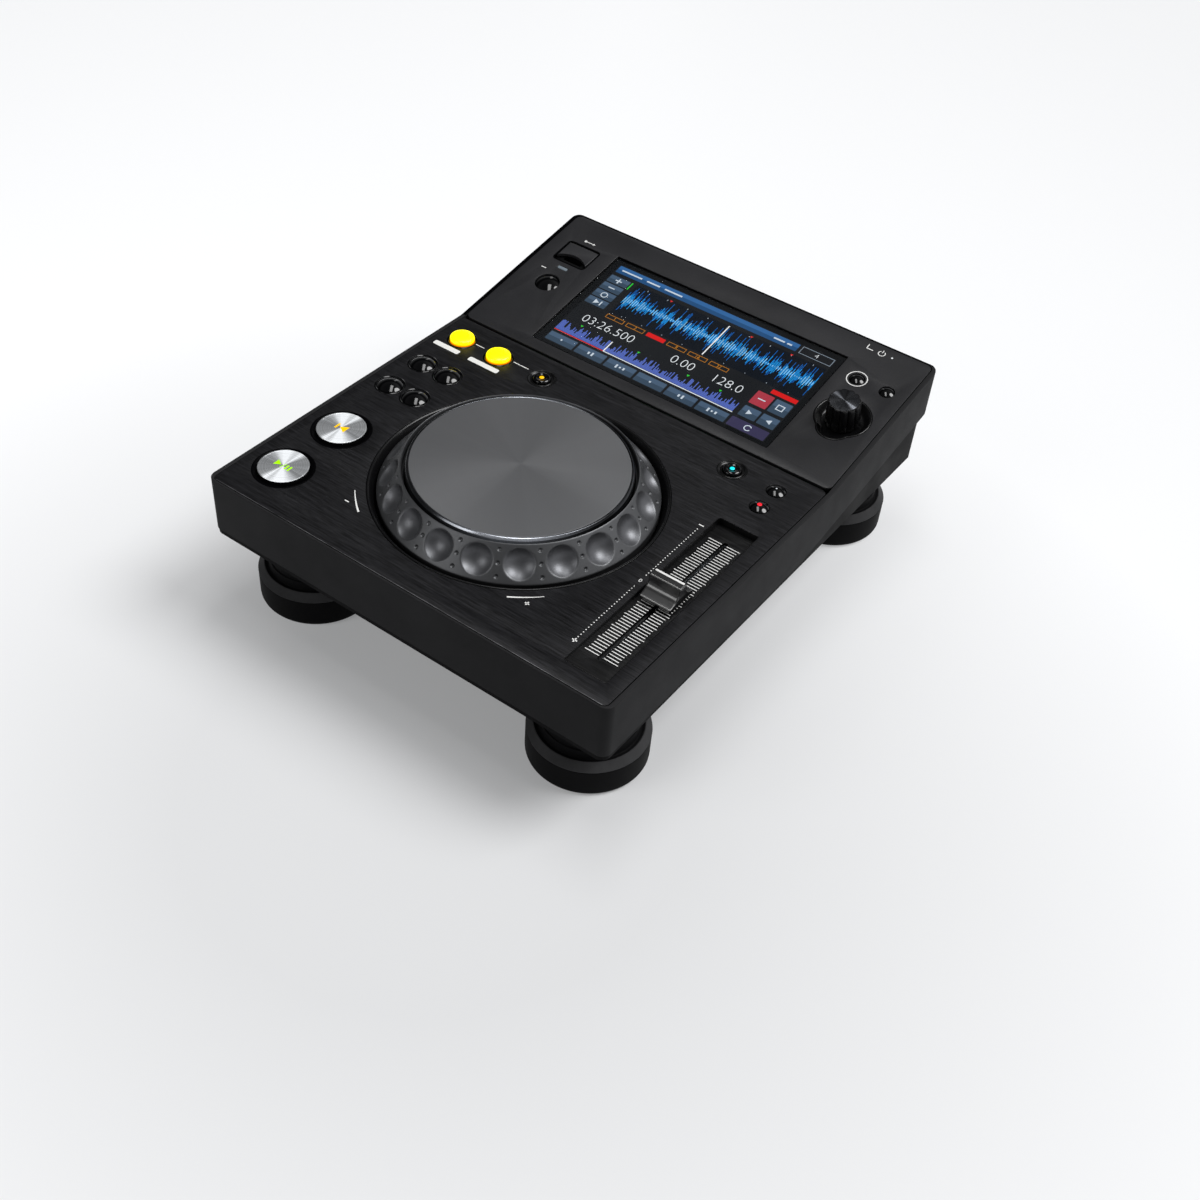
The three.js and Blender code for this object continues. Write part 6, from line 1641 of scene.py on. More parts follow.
    def top_plate(self, place: Matrix, centre: Vector) -> None:
        """The spun plate, the groove round it and its polished edge, with highlights painted into the colour
        of the plate and the edge.
        """
        top = [(0, 14.3, 0), (54.7, 14.3, 0.15), (54.9, 13.9, 0.1), (55.0, 7.2, 0.2)]
        plate = rounded([*top, (53.4, 6.9, 0.3), (53.4, 11.9, 0.4), (0, 11.9, 0)])
        # A faint painted highlight fan in the plate's colour.
        look = {"fan": 0.1, "fan_turn": 139, "fan_sharp": 2, "thin_turn": 139, "glint": 1.5}
        look |= {"streak": 0.03, "anisotropy": 0.6, "metallic": 0.4}
        metal = SpunMetal("Spun jog plate", paint("6c6d6f"), centre, 0.4, 0.9, 0.000006, **look)
        self.put("jog_plate", turned(plate, 256), place, metal, Slot.PLATTER, "jog_platter", 30, Body.PLATTER)
        outer = [(55.15, 14.3, 0.08), (55.7, 14.25, 0.2), (56.6, 13.3, 0.3), (56.6, 6.9, 0.3)]
        edge = turned(rounded([(54.95, 7.0, 0.1), (54.95, 14.1, 0.1), *outer]), 256, closed=True)
        # A painted highlight in the edge's colour: a narrow pair of fans at its front and rear.
        look = {"fan_turn": -57, "fan_sharp": 12, "thin_turn": -57, "glint": 40}
        look |= {"streak": 0.02, "anisotropy": 0.3, "metallic": 0.8}
        bright = SpunMetal("Polished plate edge", paint("242527"), centre, 0.2, 0.5, 0.000002, **look)
        self.put("jog_plate_edge", edge, place, bright, Slot.PLATTER, smooth=30, body=Body.PLATTER)


# Tempo fader


@dataclass
class TempoFader(Assembly):
    """The fader's sunk tray, its scale and its cap."""

    x: float = 99.7
    y: float = 76.2
    width: float = 23.4
    length: float = 127.4
    front_recess: float = 0.8
    rear_recess: float = 3.8
    slot_width: float = 2.6
    slot_length: float = 106.0
    tick_pitch: float = 2.03
    cap_width: float = 17.4
    cap_length: float = 19.4

    def build(self) -> None:
        """Makes the tray, the scale and the cap."""
        place = DECK.matrix(self.x, self.y)
        self.tray(place)
        self.scale(place)
        self.cap(place)

    def sloped(self, bm: Mesh) -> Mesh:
        """A flat mesh laid on the tray's floor, which falls towards the rear."""
        middle = (self.front_recess + self.rear_recess) / 2
        fall = (self.rear_recess - self.front_recess) / self.length
        for vert in bm.verts:
            vert.co.z -= middle + fall * vert.co.y
        return bm

    def tray(self, place: Matrix) -> None:
        """A tray with a sloping floor, a slot and upright walls."""
        w, l = self.slot_width / 2, self.slot_length / 2
        slot = box_outline(-w, w, -l, l, 1.2, 5)
        w, l = self.width / 2, self.length / 2
        box = (-w, w, -l, l)
        floor = self.sloped(slab(box_outline(*inset(box, -0.2), 1.5), -1.5, 0, [slot], 0.1))
        self.put("fader_tray_floor", floor, place, TRAY_SHEET, Slot.BRUSHED, "fader_tray", 25)
        inner, outer = box_outline(*inset(box, 0.35), 1.3, 5), box_outline(*inset(box, 0.02), 1.58, 5)
        wall = slab(outer, -self.rear_recess - 1.0, 0.06, [inner], 0.1)
        self.put("fader_tray_edge", wall, place, SATIN, Slot.BLACK, smooth=30)

    def scale(self, place: Matrix) -> None:
        """The ticks on both sides of the slot, each fifth one longer."""
        pitch = self.tick_pitch
        rows = []
        for way, short, long in ((-1, 6.9, 7.7), (1, 6.7, 7.5)):
            plans = [(11, long, -25, 5)] + [(4, short, -24 + 5 * group, 1) for group in range(10)]
            for count, length, first, step in plans:
                start = (way * (1.4 + length / 2), first * pitch, 0.015)
                rows.append(row_of_bars(count, start, (0, step * pitch, 0), (length, 0.5, 0.05), WHITE_INK_AND_HIGHLIGHT))
        self.put("fader_scale", self.sloped(merged(*rows)), place, WHITE_INK_AND_HIGHLIGHT, Slot.IVORY)

    def cap_outline(self) -> Profile:
        """The cap's side view: a narrow ridge between two hollow slopes."""
        end = self.cap_length / 2
        foot = [(end, 0.5, 0), (end, 2.0, 0.5), (end - 1.2, 2.4, 0.9)]
        half = rounded([*foot, (3.4, 4.6, 5.0), (2.6, 10.4, 0.5), (0, 10.5, 0)], 12)
        return half + [(-u, v) for u, v in reversed(half[:-1])]

    def cap(self, place: Matrix) -> None:
        """The cap with softened ends, a white line along its ridge, painted highlight lines along the ridge's
        front edge and the cap's foot, and fine ribs.
        """
        side, middle = self.cap_outline(), Vector((0, 3.6))
        half, end = self.cap_width / 2, self.cap_length / 2
        ends = [(half, 0.5), (half - 0.15, 0.22), (half - 0.5, 0.0), (half - 0.8, 0.0)]
        loops = []
        for x, shrink in [(-x, shrink) for x, shrink in ends] + ends[::-1]:
            points = [Vector(point) + (middle - Vector(point)).normalized() * shrink for point in side]
            loops.append([Vector((x, point.x, max(0.5, point.y))) for point in points])
        cap = lofted(loops, closed=False)
        self.put("fader_cap_top", cap, place, CAP_PLASTIC, Slot.BLACK, "fader_cap", 35, Body.FADER)
        w = half - 0.7
        line = slab(box_outline(-w, w, 0.9, 2.1, 0.3, 3), 10.4, 10.6, (), 0.04)
        # Thin white lines on the ridge's front edge and along the foot: painted highlights.
        edge = slab(box_outline(-w, w, -2.3, -2.2, 0.02, 2), 10.35, 10.5)
        foot = slab(box_outline(-w - 0.3, w + 0.3, 0.4 - end, 0.5 - end, 0.02, 2), 2.0, 2.2)
        self.put("fader_cap_line", merged(line, edge, foot), place, WHITE_INK_AND_HIGHLIGHT, Slot.IVORY, body=Body.FADER)
        size = (self.cap_width - 1.6, 0.28, 0.12)
        ribs = row_of_bars(5, (0, -1.75, 10.48), (0, 0.55, 0), size, CAP_PLASTIC)
        self.put("fader_cap_ribs", ribs, place, CAP_PLASTIC, Slot.BLACK, body=Body.FADER)


# Selector


@dataclass
class Selector(Assembly):
    """The turning and pushing knob in its dish."""

    x: float = 98.3
    y: float = 49.8
    dish_radius: float = 15.2
    scoop_radius: float = 9.8
    scoop_offset: float = 8.6
    knob_top: float = 8.8
    knob_base: float = 9.3
    knob_height: float = 12.0
    ribs: int = 12

    def opening(self, grow: float) -> Profile:
        """The edge of the dish with its thumb scoop.

        Args:
            grow: how far outside the dish the edge runs.

        Returns:
            The edge as one loop.
        """
        big, small = self.dish_radius + grow, self.scoop_radius + grow
        meet_y = (big**2 - small**2 + self.scoop_offset**2) / (2 * self.scoop_offset)
        if meet_y >= big:
            return circle_outline(self.x, self.y, big, 96)
        meet_x = math.sqrt(big**2 - meet_y**2)
        a0 = math.atan2(-meet_y, meet_x)
        a1 = math.atan2(-meet_y, -meet_x) + TURN
        b0 = math.atan2(self.scoop_offset - meet_y, -meet_x)
        b1 = math.atan2(self.scoop_offset - meet_y, meet_x)
        if b1 < b0:
            b1 += TURN
        dish = [polar(big, a0 + (a1 - a0) * k / 90, self.x, self.y) for k in range(91)]
        turns = [b0 + (b1 - b0) * k / 36 for k in range(1, 36)]
        return dish + [polar(small, turn, self.x, self.y - self.scoop_offset) for turn in turns]

    def build(self) -> None:
        """Makes the dish and the knob."""
        self.dish()
        self.knob()

    def dish(self) -> None:
        """A polished dish, lofted from below its rim over the rim to its floor."""
        middle = Vector((self.x, self.y - 1.2))
        rim = [Vector(point) for point in self.opening(0.0)]
        wall = ((0.0, -5.4), (0.0, -2.6), (0.0, -0.05), (0.25, 0.12), (0.6, 0.1))
        loops = []
        for pull, z in (*wall, (0.9, -0.15), (2.0, -1.6), (3.2, -3.4), (4.4, -4.0)):
            pulled = [point + (middle - point).normalized() * pull for point in rim]
            loops.append([(point.x, point.y, z) for point in pulled])
        self.put("selector_cup", lofted(loops, closed=False), PANEL, SATIN, Slot.GLOSS, "selector_dish", 40)

    def sector(self) -> Mesh:
        """One rib of the knob's side."""
        half = math.pi / self.ribs
        base, top, height = self.knob_base, self.knob_top, self.knob_height
        levels = [(-3.1, base - 0.2, 0.5), (-2.8, base, 0.8), (0, base, 1), (height - 1.6, top + 0.05, 1)]
        levels += [(height - 0.8, top, 1), (height - 0.4, top - 0.12, 0.85), (height - 0.15, top - 0.35, 0.6)]
        levels += [(height - 0.1, top - 0.8, 0.2), (height - 0.3, top - 1.1, 0)]
        bm = bmesh.new()
        rows = []
        for z, r, rib in levels:
            row = []
            for k in range(17):
                angle = -half + 2 * half * k / 16
                dip = 1.1 * rib * (1 - abs(math.cos(angle / half * math.pi / 2)) ** 0.6)
                row.append(bm.verts.new((*polar(r - dip, angle), z)))
            rows.append(row)
        skin(bm, rows, wrap=False)
        return bm

    def knob(self) -> None:
        """The ribbed knob and its turned top, with a painted highlight streak in the top's colour."""
        place = PANEL.matrix(self.x, self.y)
        side = turned_copies(self.sector(), self.ribs, SATIN)
        bmesh.ops.holes_fill(side, edges=[edge for edge in side.edges if edge.is_boundary], sides=0)
        bmesh.ops.recalc_face_normals(side, faces=side.faces)
        self.put("selector_knob_body", side, place, SATIN, Slot.BLACK, "selector_knob", 40, Body.KNOB)
        reach, height = self.knob_top - 0.9, self.knob_height
        edge = [(reach, height - 0.4, 0.1), (reach, height, 0.12)]
        top = rounded([(0, height - 0.4, 0), *edge, (0, height, 0)], 3)
        # A narrow painted highlight fan in the top's colour.
        look = {"fan_turn": -18.6, "fan_sharp": 70, "thin_turn": -18.6, "glint": 30, "metallic": 0.7}
        centre = place @ Vector((0, 0, 0))
        metal = SpunMetal("Turned knob top", paint("1d1e20"), centre, 0.26, 0.35, lean=PANEL_TILT, **look)
        self.put("selector_knob_top", turned(top), place, metal, Slot.BLACK, body=Body.KNOB)


# Screen panel


@dataclass
class ScreenPanel(Assembly):
    """The tilted panel with its window, and the signs printed on it."""

    length: float = 109.1
    thickness: float = 2.0

    def build(self) -> None:
        """Makes the panel, the window's edge, the printed signs and the small lamp."""
        outline = box_outline(-PLATE_HALF, PLATE_HALF, 1.0, self.length, 3.6, 8)
        holes = [box_outline(*WINDOW, 0.8, 4), box_outline(*FLAP_OPENING, 1.2, 4)]
        holes.append(box_outline(*LIGHT_OPENING, 0.5, 3))
        holes += [circle_outline(key.x, key.y, key.kind.hole) for key in PANEL_KEYS]
        holes.append(Selector().opening(0.3))
        face = slab(outline, -self.thickness, 0, holes, 0.3)
        self.put("screen_panel_face", face, PANEL, PANEL_PLASTIC, Slot.CHARCOAL, "screen_panel", 25)
        outer, inner = box_outline(*inset(WINDOW, 0.02), 0.8, 4), box_outline(*inset(WINDOW, 0.5), 0.5, 4)
        edge = slab(outer, -2.6, -0.25, [inner], 0.12)
        self.rim_band()
        self.put("window_edge", edge, PANEL, DEEP_BLACK, Slot.GLOSS, smooth=30)
        self.print_signs()
        lamp = turned([(0, -0.3), (0.55, -0.3), (0.55, 0.1), (0.35, 0.22), (0, 0.26)], 24)
        self.put("sleep_lamp", lamp, PANEL.matrix(97.6, 103.0), Light.WHITE.finish(), Slot.IVORY)

    def rim_band(self) -> None:
        """A dark band over the rim and the gap along the panel's left and rear: painted shade."""
        outer = arc(4.2, 180, 90, 9, -117.5, 105.8) + [(119.0, 110.0)]
        inner = arc(3.4, 180, 90, 9, -116.3, 106.0) + [(119.0, 109.4)]
        band = slab([(-121.7, 1.0), *outer, *inner[::-1], (-119.7, 1.0)], -0.1, 0.06, (), 0.02)
        self.put("panel_rim_band", band, PANEL, DEEP_BLACK, Slot.BLACK, smooth=30)

    def print_signs(self) -> None:
        """Prints the ring round a key, the power sign, the plug sign and the small bars."""
        back = PANEL_KEYS[1]
        ring = slab(circle_outline(back.x, back.y, 5.9), 0.0, 0.03, [circle_outline(back.x, back.y, 5.35)])
        signs = [arc_band((91.2, 103.1), 1.9, (0.5, 0.5), 125, 415)]
        signs += bars((91.2, 104.7, 0.5, 2.2), (82.0, 104.3, 0.6, 3.2), (84.0, 102.6, 4.0, 0.6))
        signs += bars((-108.2, 59.2, 3.3, 0.6), (-98.5, 91.3, 5.0, 0.5), (-101.4, 91.3, 1.5, 1.5))
        signs.append([(-96.1, 90.4), (-94.5, 91.3), (-96.1, 92.2)])
        self.put("panel_signs", merged(ring, patch(signs, 0.0)), PANEL, WHITE_INK_AND_HIGHLIGHT, Slot.IVORY)


@dataclass
class Picture(Assembly):
    """What the screen shows: a title bar, a sound wave, readouts, its overview and keys."""

    z: float = -2.47
    layer_step: float = 0.02

    def show(self, name: str, bm: Mesh, code: str) -> None:
        """Puts down one colour of the picture."""
        self.put(f"screen_{name}", bm, PANEL, self.glow(name, code), Slot.GLASS)

    def glow(self, name: str, code: str) -> Glow:
        """A lit colour of the picture."""
        return Glow(f"Screen {name}", paint(code), 1.0, 0.03, 0.0)

    def build(self) -> None:
        """Lays the whole picture from the back to the front."""
        slate = [(-72.0, -58.4, y, y + 6.2) for y in (50.0, 57.1, 64.2, 71.3)]
        slate += [(-72 + 20.1 * k, -53.4 + 20.1 * k, 12.8, 19.9) for k in range(6)]
        slate += [(61.6, 72.0, 33.0, 43.6), (50.0, 60.4, 22.2, 30.6), (61.6, 72.0, 22.2, 30.6)]
        tops = [(x0 + 0.3, x1 - 0.3, (y0 + y1) / 2, y1 - 0.3) for x0, x1, y0, y1 in slate]
        frames = [edge for x in (-54, -40, -12, 2, 16) for edge in frame_outline(x, x + 12, 45.4, 48.6, 0.35)]
        marks = [triangle_down(x, 32.4) for x in (-60, -21, 12, 33)]
        played = [bar(-55.0, 22.0, 34.0, 0.6), *(triangle_down(x, 77.4) for x in (-30, 24, 50))]
        self.lay(
            ("ground", plates([inset(WINDOW, 0.5)], 0.2, 1), "0d0f11", 0),
            ("field", plates([(-72.6, 72.6, 12.2, 87.0)], 0.3, 1), "1a1c1f", 1),
            ("slate_keys", plates(slate), "3a4c5e", 2),
            ("slate_key_tops", plates(tops, 0.3), "4b6077", 3),
            ("violet_key", plates([(48.8, 72.0, 12.8, 19.9)]), "3c3856", 2),
            ("red_key", plates([(50.0, 60.4, 33.0, 43.6)]), "b23a48", 2),
            ("title_bar", plates([(-72.0, 50.0, 80.4, 86.4)], 0.3), "24507e", 2),
            ("title_bar_light", plates([(-72.0, 50.0, 83.4, 86.4)], 0.3), "3468a0", 3),
            ("number_frame", frame_outline(52.0, 72.0, 80.4, 86.4, 0.35), "8e9aa6", 2),
            ("source_bar", bars((-57.2, 74.4, 0.8, 6.2)), "2fd03c", 2),
            ("amber_frames", frames, "c07a20", 2),
            ("red_fields", plates([(-26.0, -14.0, 45.4, 48.6), (56.0, 72.0, 45.4, 48.6)], 0.3), "e01c1c", 2),
            ("signs", self.signs(), "d3dde6", 4),
            ("wave_field", plates([(-54.0, 72.0, 50.0, 77.6)], 0.2, 1), "0b121b", 2),
        )
        self.waves()
        self.lay(
            ("playhead", bars((9.0, 63.8, 0.7, 27.6), (-38.0, 26.4, 0.7, 8.8)), "ffffff", 6),
            ("overview_line", bars((-12.5, 22.0, 119.0, 0.6)), "e8eef2", 3),
            ("overview_played", played, "e03030", 4),
            ("cue_marks", marks, "38d23c", 4),
        )
        self.ticks()
        self.readouts()

    def lay(self, *rows: tuple[str, list[Profile], str, int]) -> None:
        """Lays flat shapes, each row with its name, outlines, colour and layer."""
        for name, outlines, code, layer in rows:
            self.show(name, patch(outlines, self.z + layer * self.layer_step), code)

    def signs(self) -> list[Profile]:
        """The plain signs on the screen's keys and in its title bar."""
        circle = arc_band((-65.2, 60.2), 1.9, (0.6, 0.6), 0, 360)
        turn = arc_band((60.4, 16.35), 1.9, (0.6, 0.6), 30, 330)
        signs = [circle, turn, *plus(-65.2, 74.4, 4.2, 0.8), *frame_outline(64.6, 69.0, 36.2, 40.4, 0.6)]
        signs += bars((-65.2, 67.3, 4.2, 0.8), (-62.6, 53.1, 0.8, 3.6), (55.2, 38.3, 4.6, 0.8))
        signs += [triangle(-67.0, 53.1, 3.2, 1), triangle(53.6, 26.4, 3.0, 1), triangle(68.4, 26.4, 3.0, -1)]
        for k in range(6):
            x, extra = 20.1 * k - 62.7, k % 3
            for j in range(1 + extra):
                signs.append(bar(x + 2.4 * j - 1.2 * extra, 16.35, 1.1, 1.1 + 0.8 * ((j + k) % 3)))
        title = ((-62, 14), (-47, 9), (-33, 12), (38, 7), (44.6, 3))
        return signs + [bar(x, 83.4, width, 1.1) for x, width in title]

    def waves(self) -> None:
        """The sound wave in three colours, and the overview below it."""
        base = self.z + 0.06
        left, middle = -53.4, 63.8
        for name, wave, code in (
            ("wave_deep", Wave(170, (left - 0.2, middle, base), 0.74, 0.3, 1.2, 24.0, 0.12, 11), "0a6fd0"),
            ("wave_mid", Wave(170, (left, middle, base + 0.02), 0.74, 0.42, 0.8, 13.0, 0.12, 11), "1c9be8"),
            ("wave_light", Wave(90, (left, middle, base + 0.04), 1.4, 0.34, 0.5, 8.0, 0.24, 5), "a9e2ff"),
            ("overview", Wave(165, (-71.7, 22.6, base), 0.72, 0.6, 2.0, 8.4, 0.07, 3, 0.5), "5a70c4"),
        ):
            self.show(name, wave.build(self.glow(name, code)), code)

    def ticks(self) -> None:
        """The ticks below and above the sound wave."""
        code, z = "b7c2cc", self.z + 0.06
        finish, step, size = self.glow("ticks", code), (13.75, 0, 0), (0.4, 1.2, 0.02)
        rows = [row_of_bars(9, (-46, y, z), step, size, finish) for y in (51.0, 76.6)]
        self.show("ticks", merged(*rows), code)

    def readouts(self) -> None:
        """The plain numbers of the readouts."""
        large = [(words, 9.0, x, 38.2) for words, x in (("03:26.500", -46.5), ("0.00", 4.0), ("128.0", 33.0))]
        beats = (("1", -48), ("2", -34), ("8", -6), ("16", 8), ("32", 22))
        small = [(words, 3.2, x, 46.9) for words, x in beats]
        for name, rows, code in (
            ("figures", [*large, ("4", 5.0, 62.0, 83.3)], "f2f5f7"),
            ("small_figures", small, "f09a20"),
        ):
            whole = merged(*(text_mesh(words, size, 0.02, x, y, 0.02 * size) for words, size, x, y in rows))
            self.show(name, moved(whole, z=self.z + 0.1), code)


@dataclass
class ScreenGlass(Assembly):
    """The cover glass over the picture."""

    def build(self) -> None:
        """Makes the glass."""
        glass = slab(box_outline(*inset(WINDOW, 0.3), 0.6, 3), -2.2, -0.8, (), 0.1)
        self.put("cover_glass", glass, PANEL, ClearGlass("Cover glass"), Slot.GLASS, "screen_glass", 25)


# USB port


@dataclass
class UsbPort(Assembly):
    """The flap over the port, the well below it and its light."""

    x: float = -98.4
    y: float = 85.1
    width: float = 20.6
    front: float = -12.5
    radius: float = 1.3
    corner: float = 2.2

    def build(self) -> None:
        """Makes the flap, the well below it and the light."""
        half, corner = self.width / 2 - 0.1, self.corner
        scoop = [self.front + 4.2 * math.sin(math.pi * k / 20) ** 0.75 for k in range(21)]
        lip = [(0.2 - half + (2 * half - 0.4) * k / 20, y) for k, y in enumerate(scoop)]
        right = arc(corner, 0, 90, 6, half - corner, -1.3)
        back = right + [(-x, y) for x, y in reversed(right)]
        flap = slab([(-half, self.front), *lip, (half, self.front), *back], -0.5, 1.25, (), 0.3)
        rise = slab([*lip, *((x * 0.94, y + 0.8) for x, y in reversed(lip))], 0.6, 1.7, (), 0.2)
        pin = turned([(0, -half), (1.25, -half), (1.25, half), (0, half)], 32)
        hinge = moved(pin, turn=Matrix.Rotation(math.radians(90), 4, "Y"))
        lid, place = merged(flap, rise, hinge), PANEL.matrix(self.x, self.y, -self.radius)
        self.put("usb_flap_lid", lid, place, LID_PLASTIC, Slot.BLACK, "usb_cover", 35, Body.FLAP)
        hole = box_outline(*FLAP_OPENING, 1.2, 4)
        well = slab(box_outline(*inset(FLAP_OPENING, -0.9), 2.6), -5.0, 0.08, [hole], 0.05)
        self.put("usb_well", well, PANEL, DEEP_BLACK, Slot.BLACK)
        light = slab(box_outline(*inset(LIGHT_OPENING, 0.3), 0.4, 3), -3.0, 0.05, (), 0.15)
        self.put("usb_light", light, PANEL, Light.BAR.finish(), Slot.IVORY, "usb_light_bar")


# Underside and rear


@dataclass
class Fasteners(Assembly):
    """Screws under the player and on its jack plate."""

    radius: float = 2.9
    height: float = 1.3
    steps: int = 32

    def screw(self) -> Mesh:
        """A pan-head screw with a cross recess, its axis along Z."""
        head = ((1.0, 0.0), (1.0, 0.35), (0.86, 0.8), (0.6, 1.12), (0.3, self.height))
        angles = [TURN * k / self.steps for k in range(self.steps)]
        loops = [[(*polar(self.radius * share, angle), z) for angle in angles] for share, z in head]
        cross = [polar(0.35 + 1.15 * abs(math.cos(2 * angle)) ** 6, angle) for angle in angles]
        loops += [[(*point, z) for point in cross] for z in (self.height - 0.02, 0.2)]
        return lofted(loops, closed=False)

    def scattered(self, name: str, places: Sequence[Place], turn: float) -> None:
        """Puts in screws that all face the same way.

        Args:
            name: the piece's name.
            places: where they stand in the world, millimetres.
            turn: turn of their heads about X, degrees.
        """
        data = stored("screw", moved(self.screw(), turn=Matrix.Rotation(math.radians(turn), 4, "X")))
        model = linked("screw", data)
        pattern = Pattern("Screws at points", material_of(BLACK_STEEL), {"Screw": model})
        shape = pattern.node("GeometryNodeObjectInfo", {0: pattern.entry["Screw"]}).outputs["Geometry"]
        base = bmesh.new()
        for place in places:
            base.verts.new(place)
        screws = pattern.run(pattern.entry["Geometry"], shape, base)
        bpy.data.objects.remove(model)
        self.put(name, screws, WORLD, BLACK_STEEL, Slot.STEEL)

    def build(self) -> None:
        """Puts the screws in."""
        under = [(x, DECK.y + depth, 45.5) for x in (-112.85, 112.85) for depth in (80.0, 204.0)]
        under += [(0, DECK.y + depth, 45.5) for depth in (12, 279)]
        self.scattered("underside_screws", under, 180)
        rear = ((-100.4, 62.6), (-83.0, 52.9), (-40.0, 59.4), (0.0, 59.4), (64.0, 59.4), (98.8, 64.2))
        self.scattered("jack_plate_screws", [(x, 136.7, z) for x, z in rear], -90)


def dress_frame(frame: dict) -> None:
    """Gives the frame nodes that still show their finishes."""
    works = ("jog_spindle", "jog_encoder_disc", "fader_track", "fader_lever", "lcd_module")
    encoder = ("selector_encoder", "selector_shaft")
    boards = ("deck_key", "tempo_key", "usb_key", "screen_key", "main", "power")
    for finish, nodes in (
        (BASE, ("lower_case", "rear_jack_plate", "jog_sensor")),
        (SATIN, ("mains_inlet", "usb_socket")),
        (BOARD, tuple(f"{board}_board" for board in boards)),
        (STEEL, (*works, *encoder, "network_jack", "usb_b_jack")),
        (GILT, ("phono_jack_left", "phono_jack_right")),
        (IVORY, ("jog_bearing", "selector_rotor")),
    ):
        for node in nodes:
            materials = frame["nodes"][node].data.materials
            materials.clear()
            materials.append(material_of(finish))


# Stage


@dataclass(frozen=True)
class Lamp:
    """An area lamp: its place and size in metres, its power in watts, and which way it faces.

    Args:
        name: the lamp's name.
        place: where it hangs.
        size: width and length.
        power: its power.
        down: whether it faces straight down, in line with the camera, or else the player.
    """

    name: str
    place: Place
    size: Point
    power: float
    down: bool = False


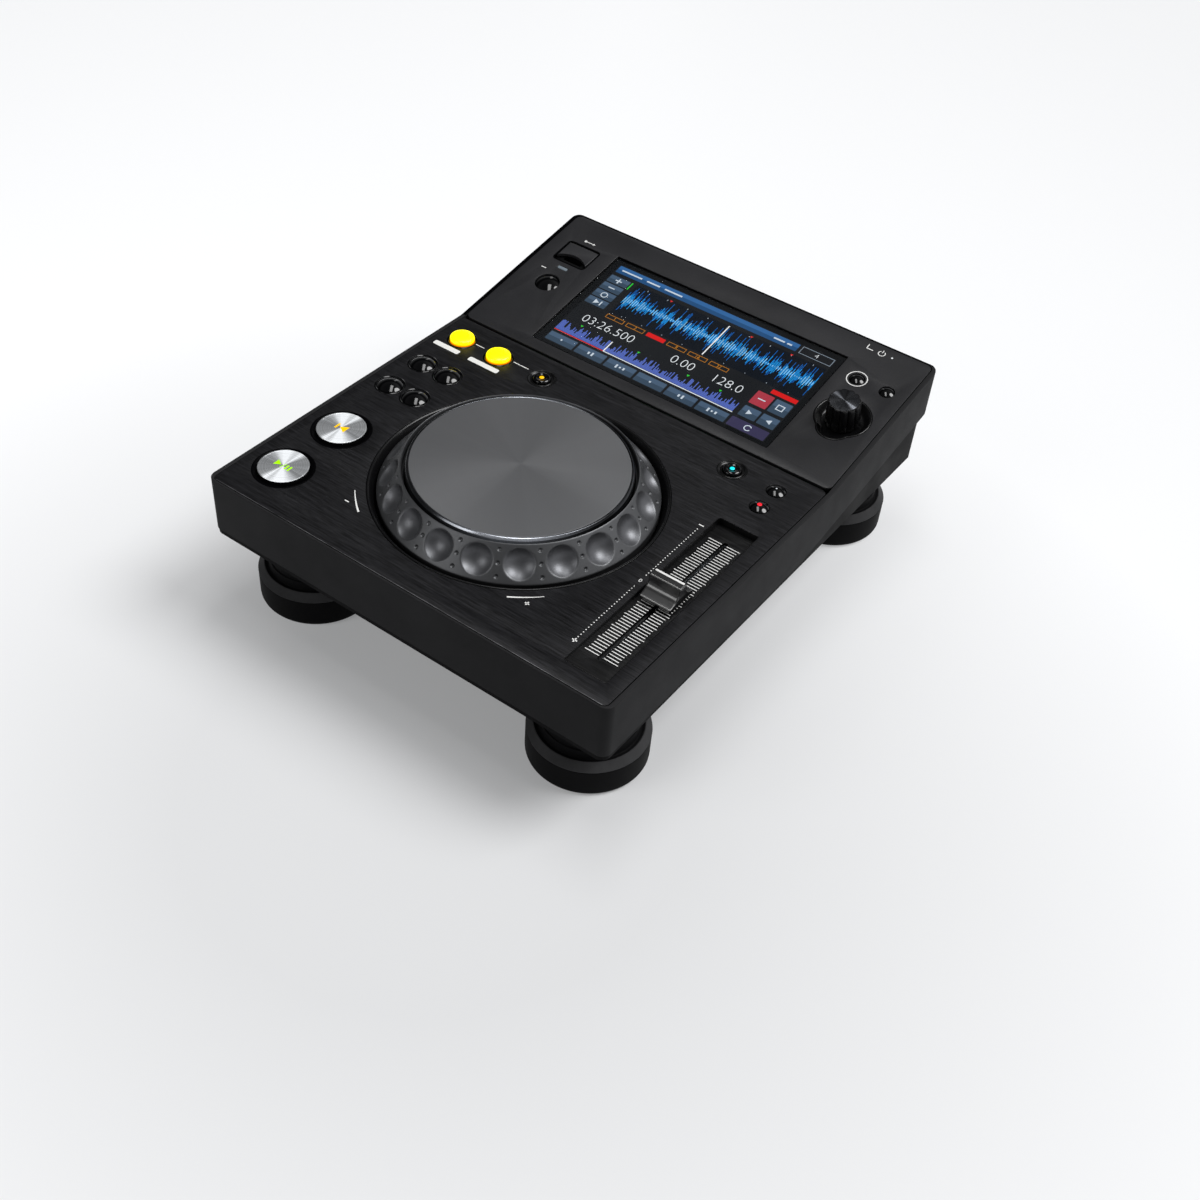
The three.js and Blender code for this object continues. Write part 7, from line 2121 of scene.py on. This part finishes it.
@dataclass
class Stage:
    """The floor, the sky, the lamps and the camera."""

    lens: float = 45.5
    azimuth: float = 32.742
    elevation: float = 43.268
    roll: float = 5.083
    distance: float = 697.8
    target: Place = (78.06, -97.13, 80.0)
    sky_stops: tuple[Point, ...] = ((8.0, 1.0), (27.0, 0.05), (35.0, 0.05), (45.0, 0.45), (70.0, 0.3))
    bright_side: Place = (0.85, 0.53, 0.0)
    dim_share: float = 0.2
    backdrop: Place = (0.93, 0.935, 0.945)
    floor_reach: float = 6.0
    # The floor's glow is least near the player and grows with distance: painted shadow.
    glow: Point = (0.22, 0.5)
    glow_middle: Place = (0.05, -0.18, 0.0)
    glow_reach: Point = (0.12, 0.42)
    sun_way: Place = (0.9, 0.7, 1.64)
    sun_strength: float = 2.3
    sun_angle: float = 30.0
    lamps: tuple[Lamp, ...] = (
        Lamp("softbox", (-0.35, -0.84, 0.64), (0.45, 0.45), 2.1),
        Lamp("strip", (-0.05, 0.05, 1.05), (0.22, 0.7), 3.2, down=True),
        Lamp("card", (-0.62, 0.93, 0.36), (0.1, 0.5), 0.12),
    )

    def build(self) -> None:
        """Sets up everything that isn't the player."""
        self.floor()
        self.sky()
        self.light()
        self.camera()
        bpy.context.scene.view_settings.view_transform = "Standard"

    def floor(self) -> None:
        """A plain pale floor, which looks lighter to the camera with the distance from the player: a painted
        shadow round the player.
        """
        reach = self.floor_reach
        data = bpy.data.meshes.new("floor")
        corners = [(-reach, -reach, 0), (reach, -reach, 0), (reach, reach, 0), (-reach, reach, 0)]
        data.from_pydata(corners, [], [(0, 1, 2, 3)])
        floor = linked("floor", data)
        graph = Graph("Pale floor")
        rays = graph.node("ShaderNodeLightPath").outputs
        seen = graph.maths("MAXIMUM", rays["Is Camera Ray"], rays["Is Glossy Ray"])
        seen = graph.maths("MAXIMUM", seen, rays["Is Transmission Ray"])
        # Less glow near the player: painted shadow.
        away = graph.vector_maths("LENGTH", graph.place(centre=self.glow_middle))["Value"]
        graph.dressed(
            Base_Color=(0.5, 0.503, 0.51, 1.0),
            Roughness=0.5,
            Specular_IOR_Level=0.2,
            Emission_Color=(0.98, 0.99, 1.0, 1.0),
            Emission_Strength=graph.maths("MULTIPLY", seen, graph.spread(away, *self.glow, *self.glow_reach)),
        )
        data.materials.append(graph.material)

    def sky(self) -> None:
        """A pale horizon, brightest at the right, with a dark band above it and a soft top."""
        world = bpy.data.worlds.new("Studio")
        world.use_nodes = True
        bpy.context.scene.world = world
        tree, nodes = Tree(world.node_tree), world.node_tree.nodes
        way = tree.node("ShaderNodeTexCoord").outputs["Generated"]
        height = tree.node("ShaderNodeSeparateXYZ", {0: way}).outputs[2]
        ramp = tree.node("ShaderNodeValToRGB", {"Fac": height})
        elements = ramp.color_ramp.elements
        while len(elements) < len(self.sky_stops):
            elements.new(0.5)
        for element, (rise, level) in zip(elements, self.sky_stops):
            element.position = math.sin(math.radians(rise))
            element.color = (level, level * 1.01, level * 1.03, 1.0)
        facing = tree.vector_maths("DOT_PRODUCT", way, self.bright_side)["Value"]
        light = nodes["Background"]
        tree.feed(light.inputs["Color"], ramp.outputs["Color"])
        tree.feed(light.inputs["Strength"], tree.spread(facing, self.dim_share, 1.0, -0.1, 0.8))
        pale = tree.node("ShaderNodeBackground", {"Color": (*self.backdrop, 1.0)}).outputs[0]
        seen = tree.node("ShaderNodeLightPath").outputs["Is Camera Ray"]
        mixed = tree.node("ShaderNodeMixShader", {0: seen, 1: light.outputs[0], 2: pale}).outputs[0]
        tree.feed(nodes["World Output"].inputs["Surface"], mixed)

    def light(self) -> None:
        """A broad sun from the right rear, a strip above, a softbox in front and a slim card behind."""
        sun = bpy.data.lights.new("sun", "SUN")
        sun.energy, sun.angle = self.sun_strength, math.radians(self.sun_angle)
        self.hang(sun, self.sun_way)
        for lamp in self.lamps:
            data = bpy.data.lights.new(lamp.name, "AREA")
            data.shape, data.energy = "RECTANGLE", lamp.power
            data.size, data.size_y = lamp.size
            self.hang(data, lamp.place, lamp.down)

    def hang(self, data: bpy.types.Light, place: Place, down: bool = False) -> None:
        """Puts a lamp at a place, facing the player or straight down."""
        lamp = linked(data.name, data)
        lamp.location = place
        lamp.rotation_mode = "QUATERNION"
        if down:
            turn = Matrix.Rotation(math.radians(self.azimuth), 3, "Z").to_quaternion()
        else:
            turn = (Vector(place) - Vector((0, 0, DECK_Z * MM))).to_track_quat("Z", "Y")
        lamp.rotation_quaternion = turn

    def camera(self) -> None:
        """A camera at the photograph's angle."""
        a, e, r = (math.radians(v) for v in (self.azimuth, self.elevation, self.roll))
        back = Vector((math.sin(a) * math.cos(e), -math.cos(a) * math.cos(e), math.sin(e)))
        right = Vector((math.cos(a), math.sin(a), 0.0))
        up = back.cross(right)
        axes = (right * math.cos(r) + up * math.sin(r), up * math.cos(r) - right * math.sin(r), back)
        data = bpy.data.cameras.new("camera")
        data.lens, data.sensor_width = self.lens, 36.0
        camera = linked("camera", data)
        place = Matrix.Translation((Vector(self.target) + back * self.distance) * MM)
        camera.matrix_world = place @ Matrix(axes).transposed().to_4x4()
        bpy.context.scene.camera = camera


PARTS = (
    UpperCase,
    Feet,
    DeckSheet,
    Keys,
    JogWheel,
    TempoFader,
    ScreenPanel,
    Picture,
    ScreenGlass,
    Selector,
    UsbPort,
    Fasteners,
)


def main() -> None:
    """Builds the player round its frame, piece by piece."""
    logging.basicConfig(level=logging.INFO, format="%(name)s: %(message)s")
    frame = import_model()
    Stage().build()
    dress_frame(frame)
    for kind in PARTS:
        part = kind()
        part.build()
        log.info("%s: %d pieces", kind.__name__, part.pieces)


if __name__ == "__main__":
    main()
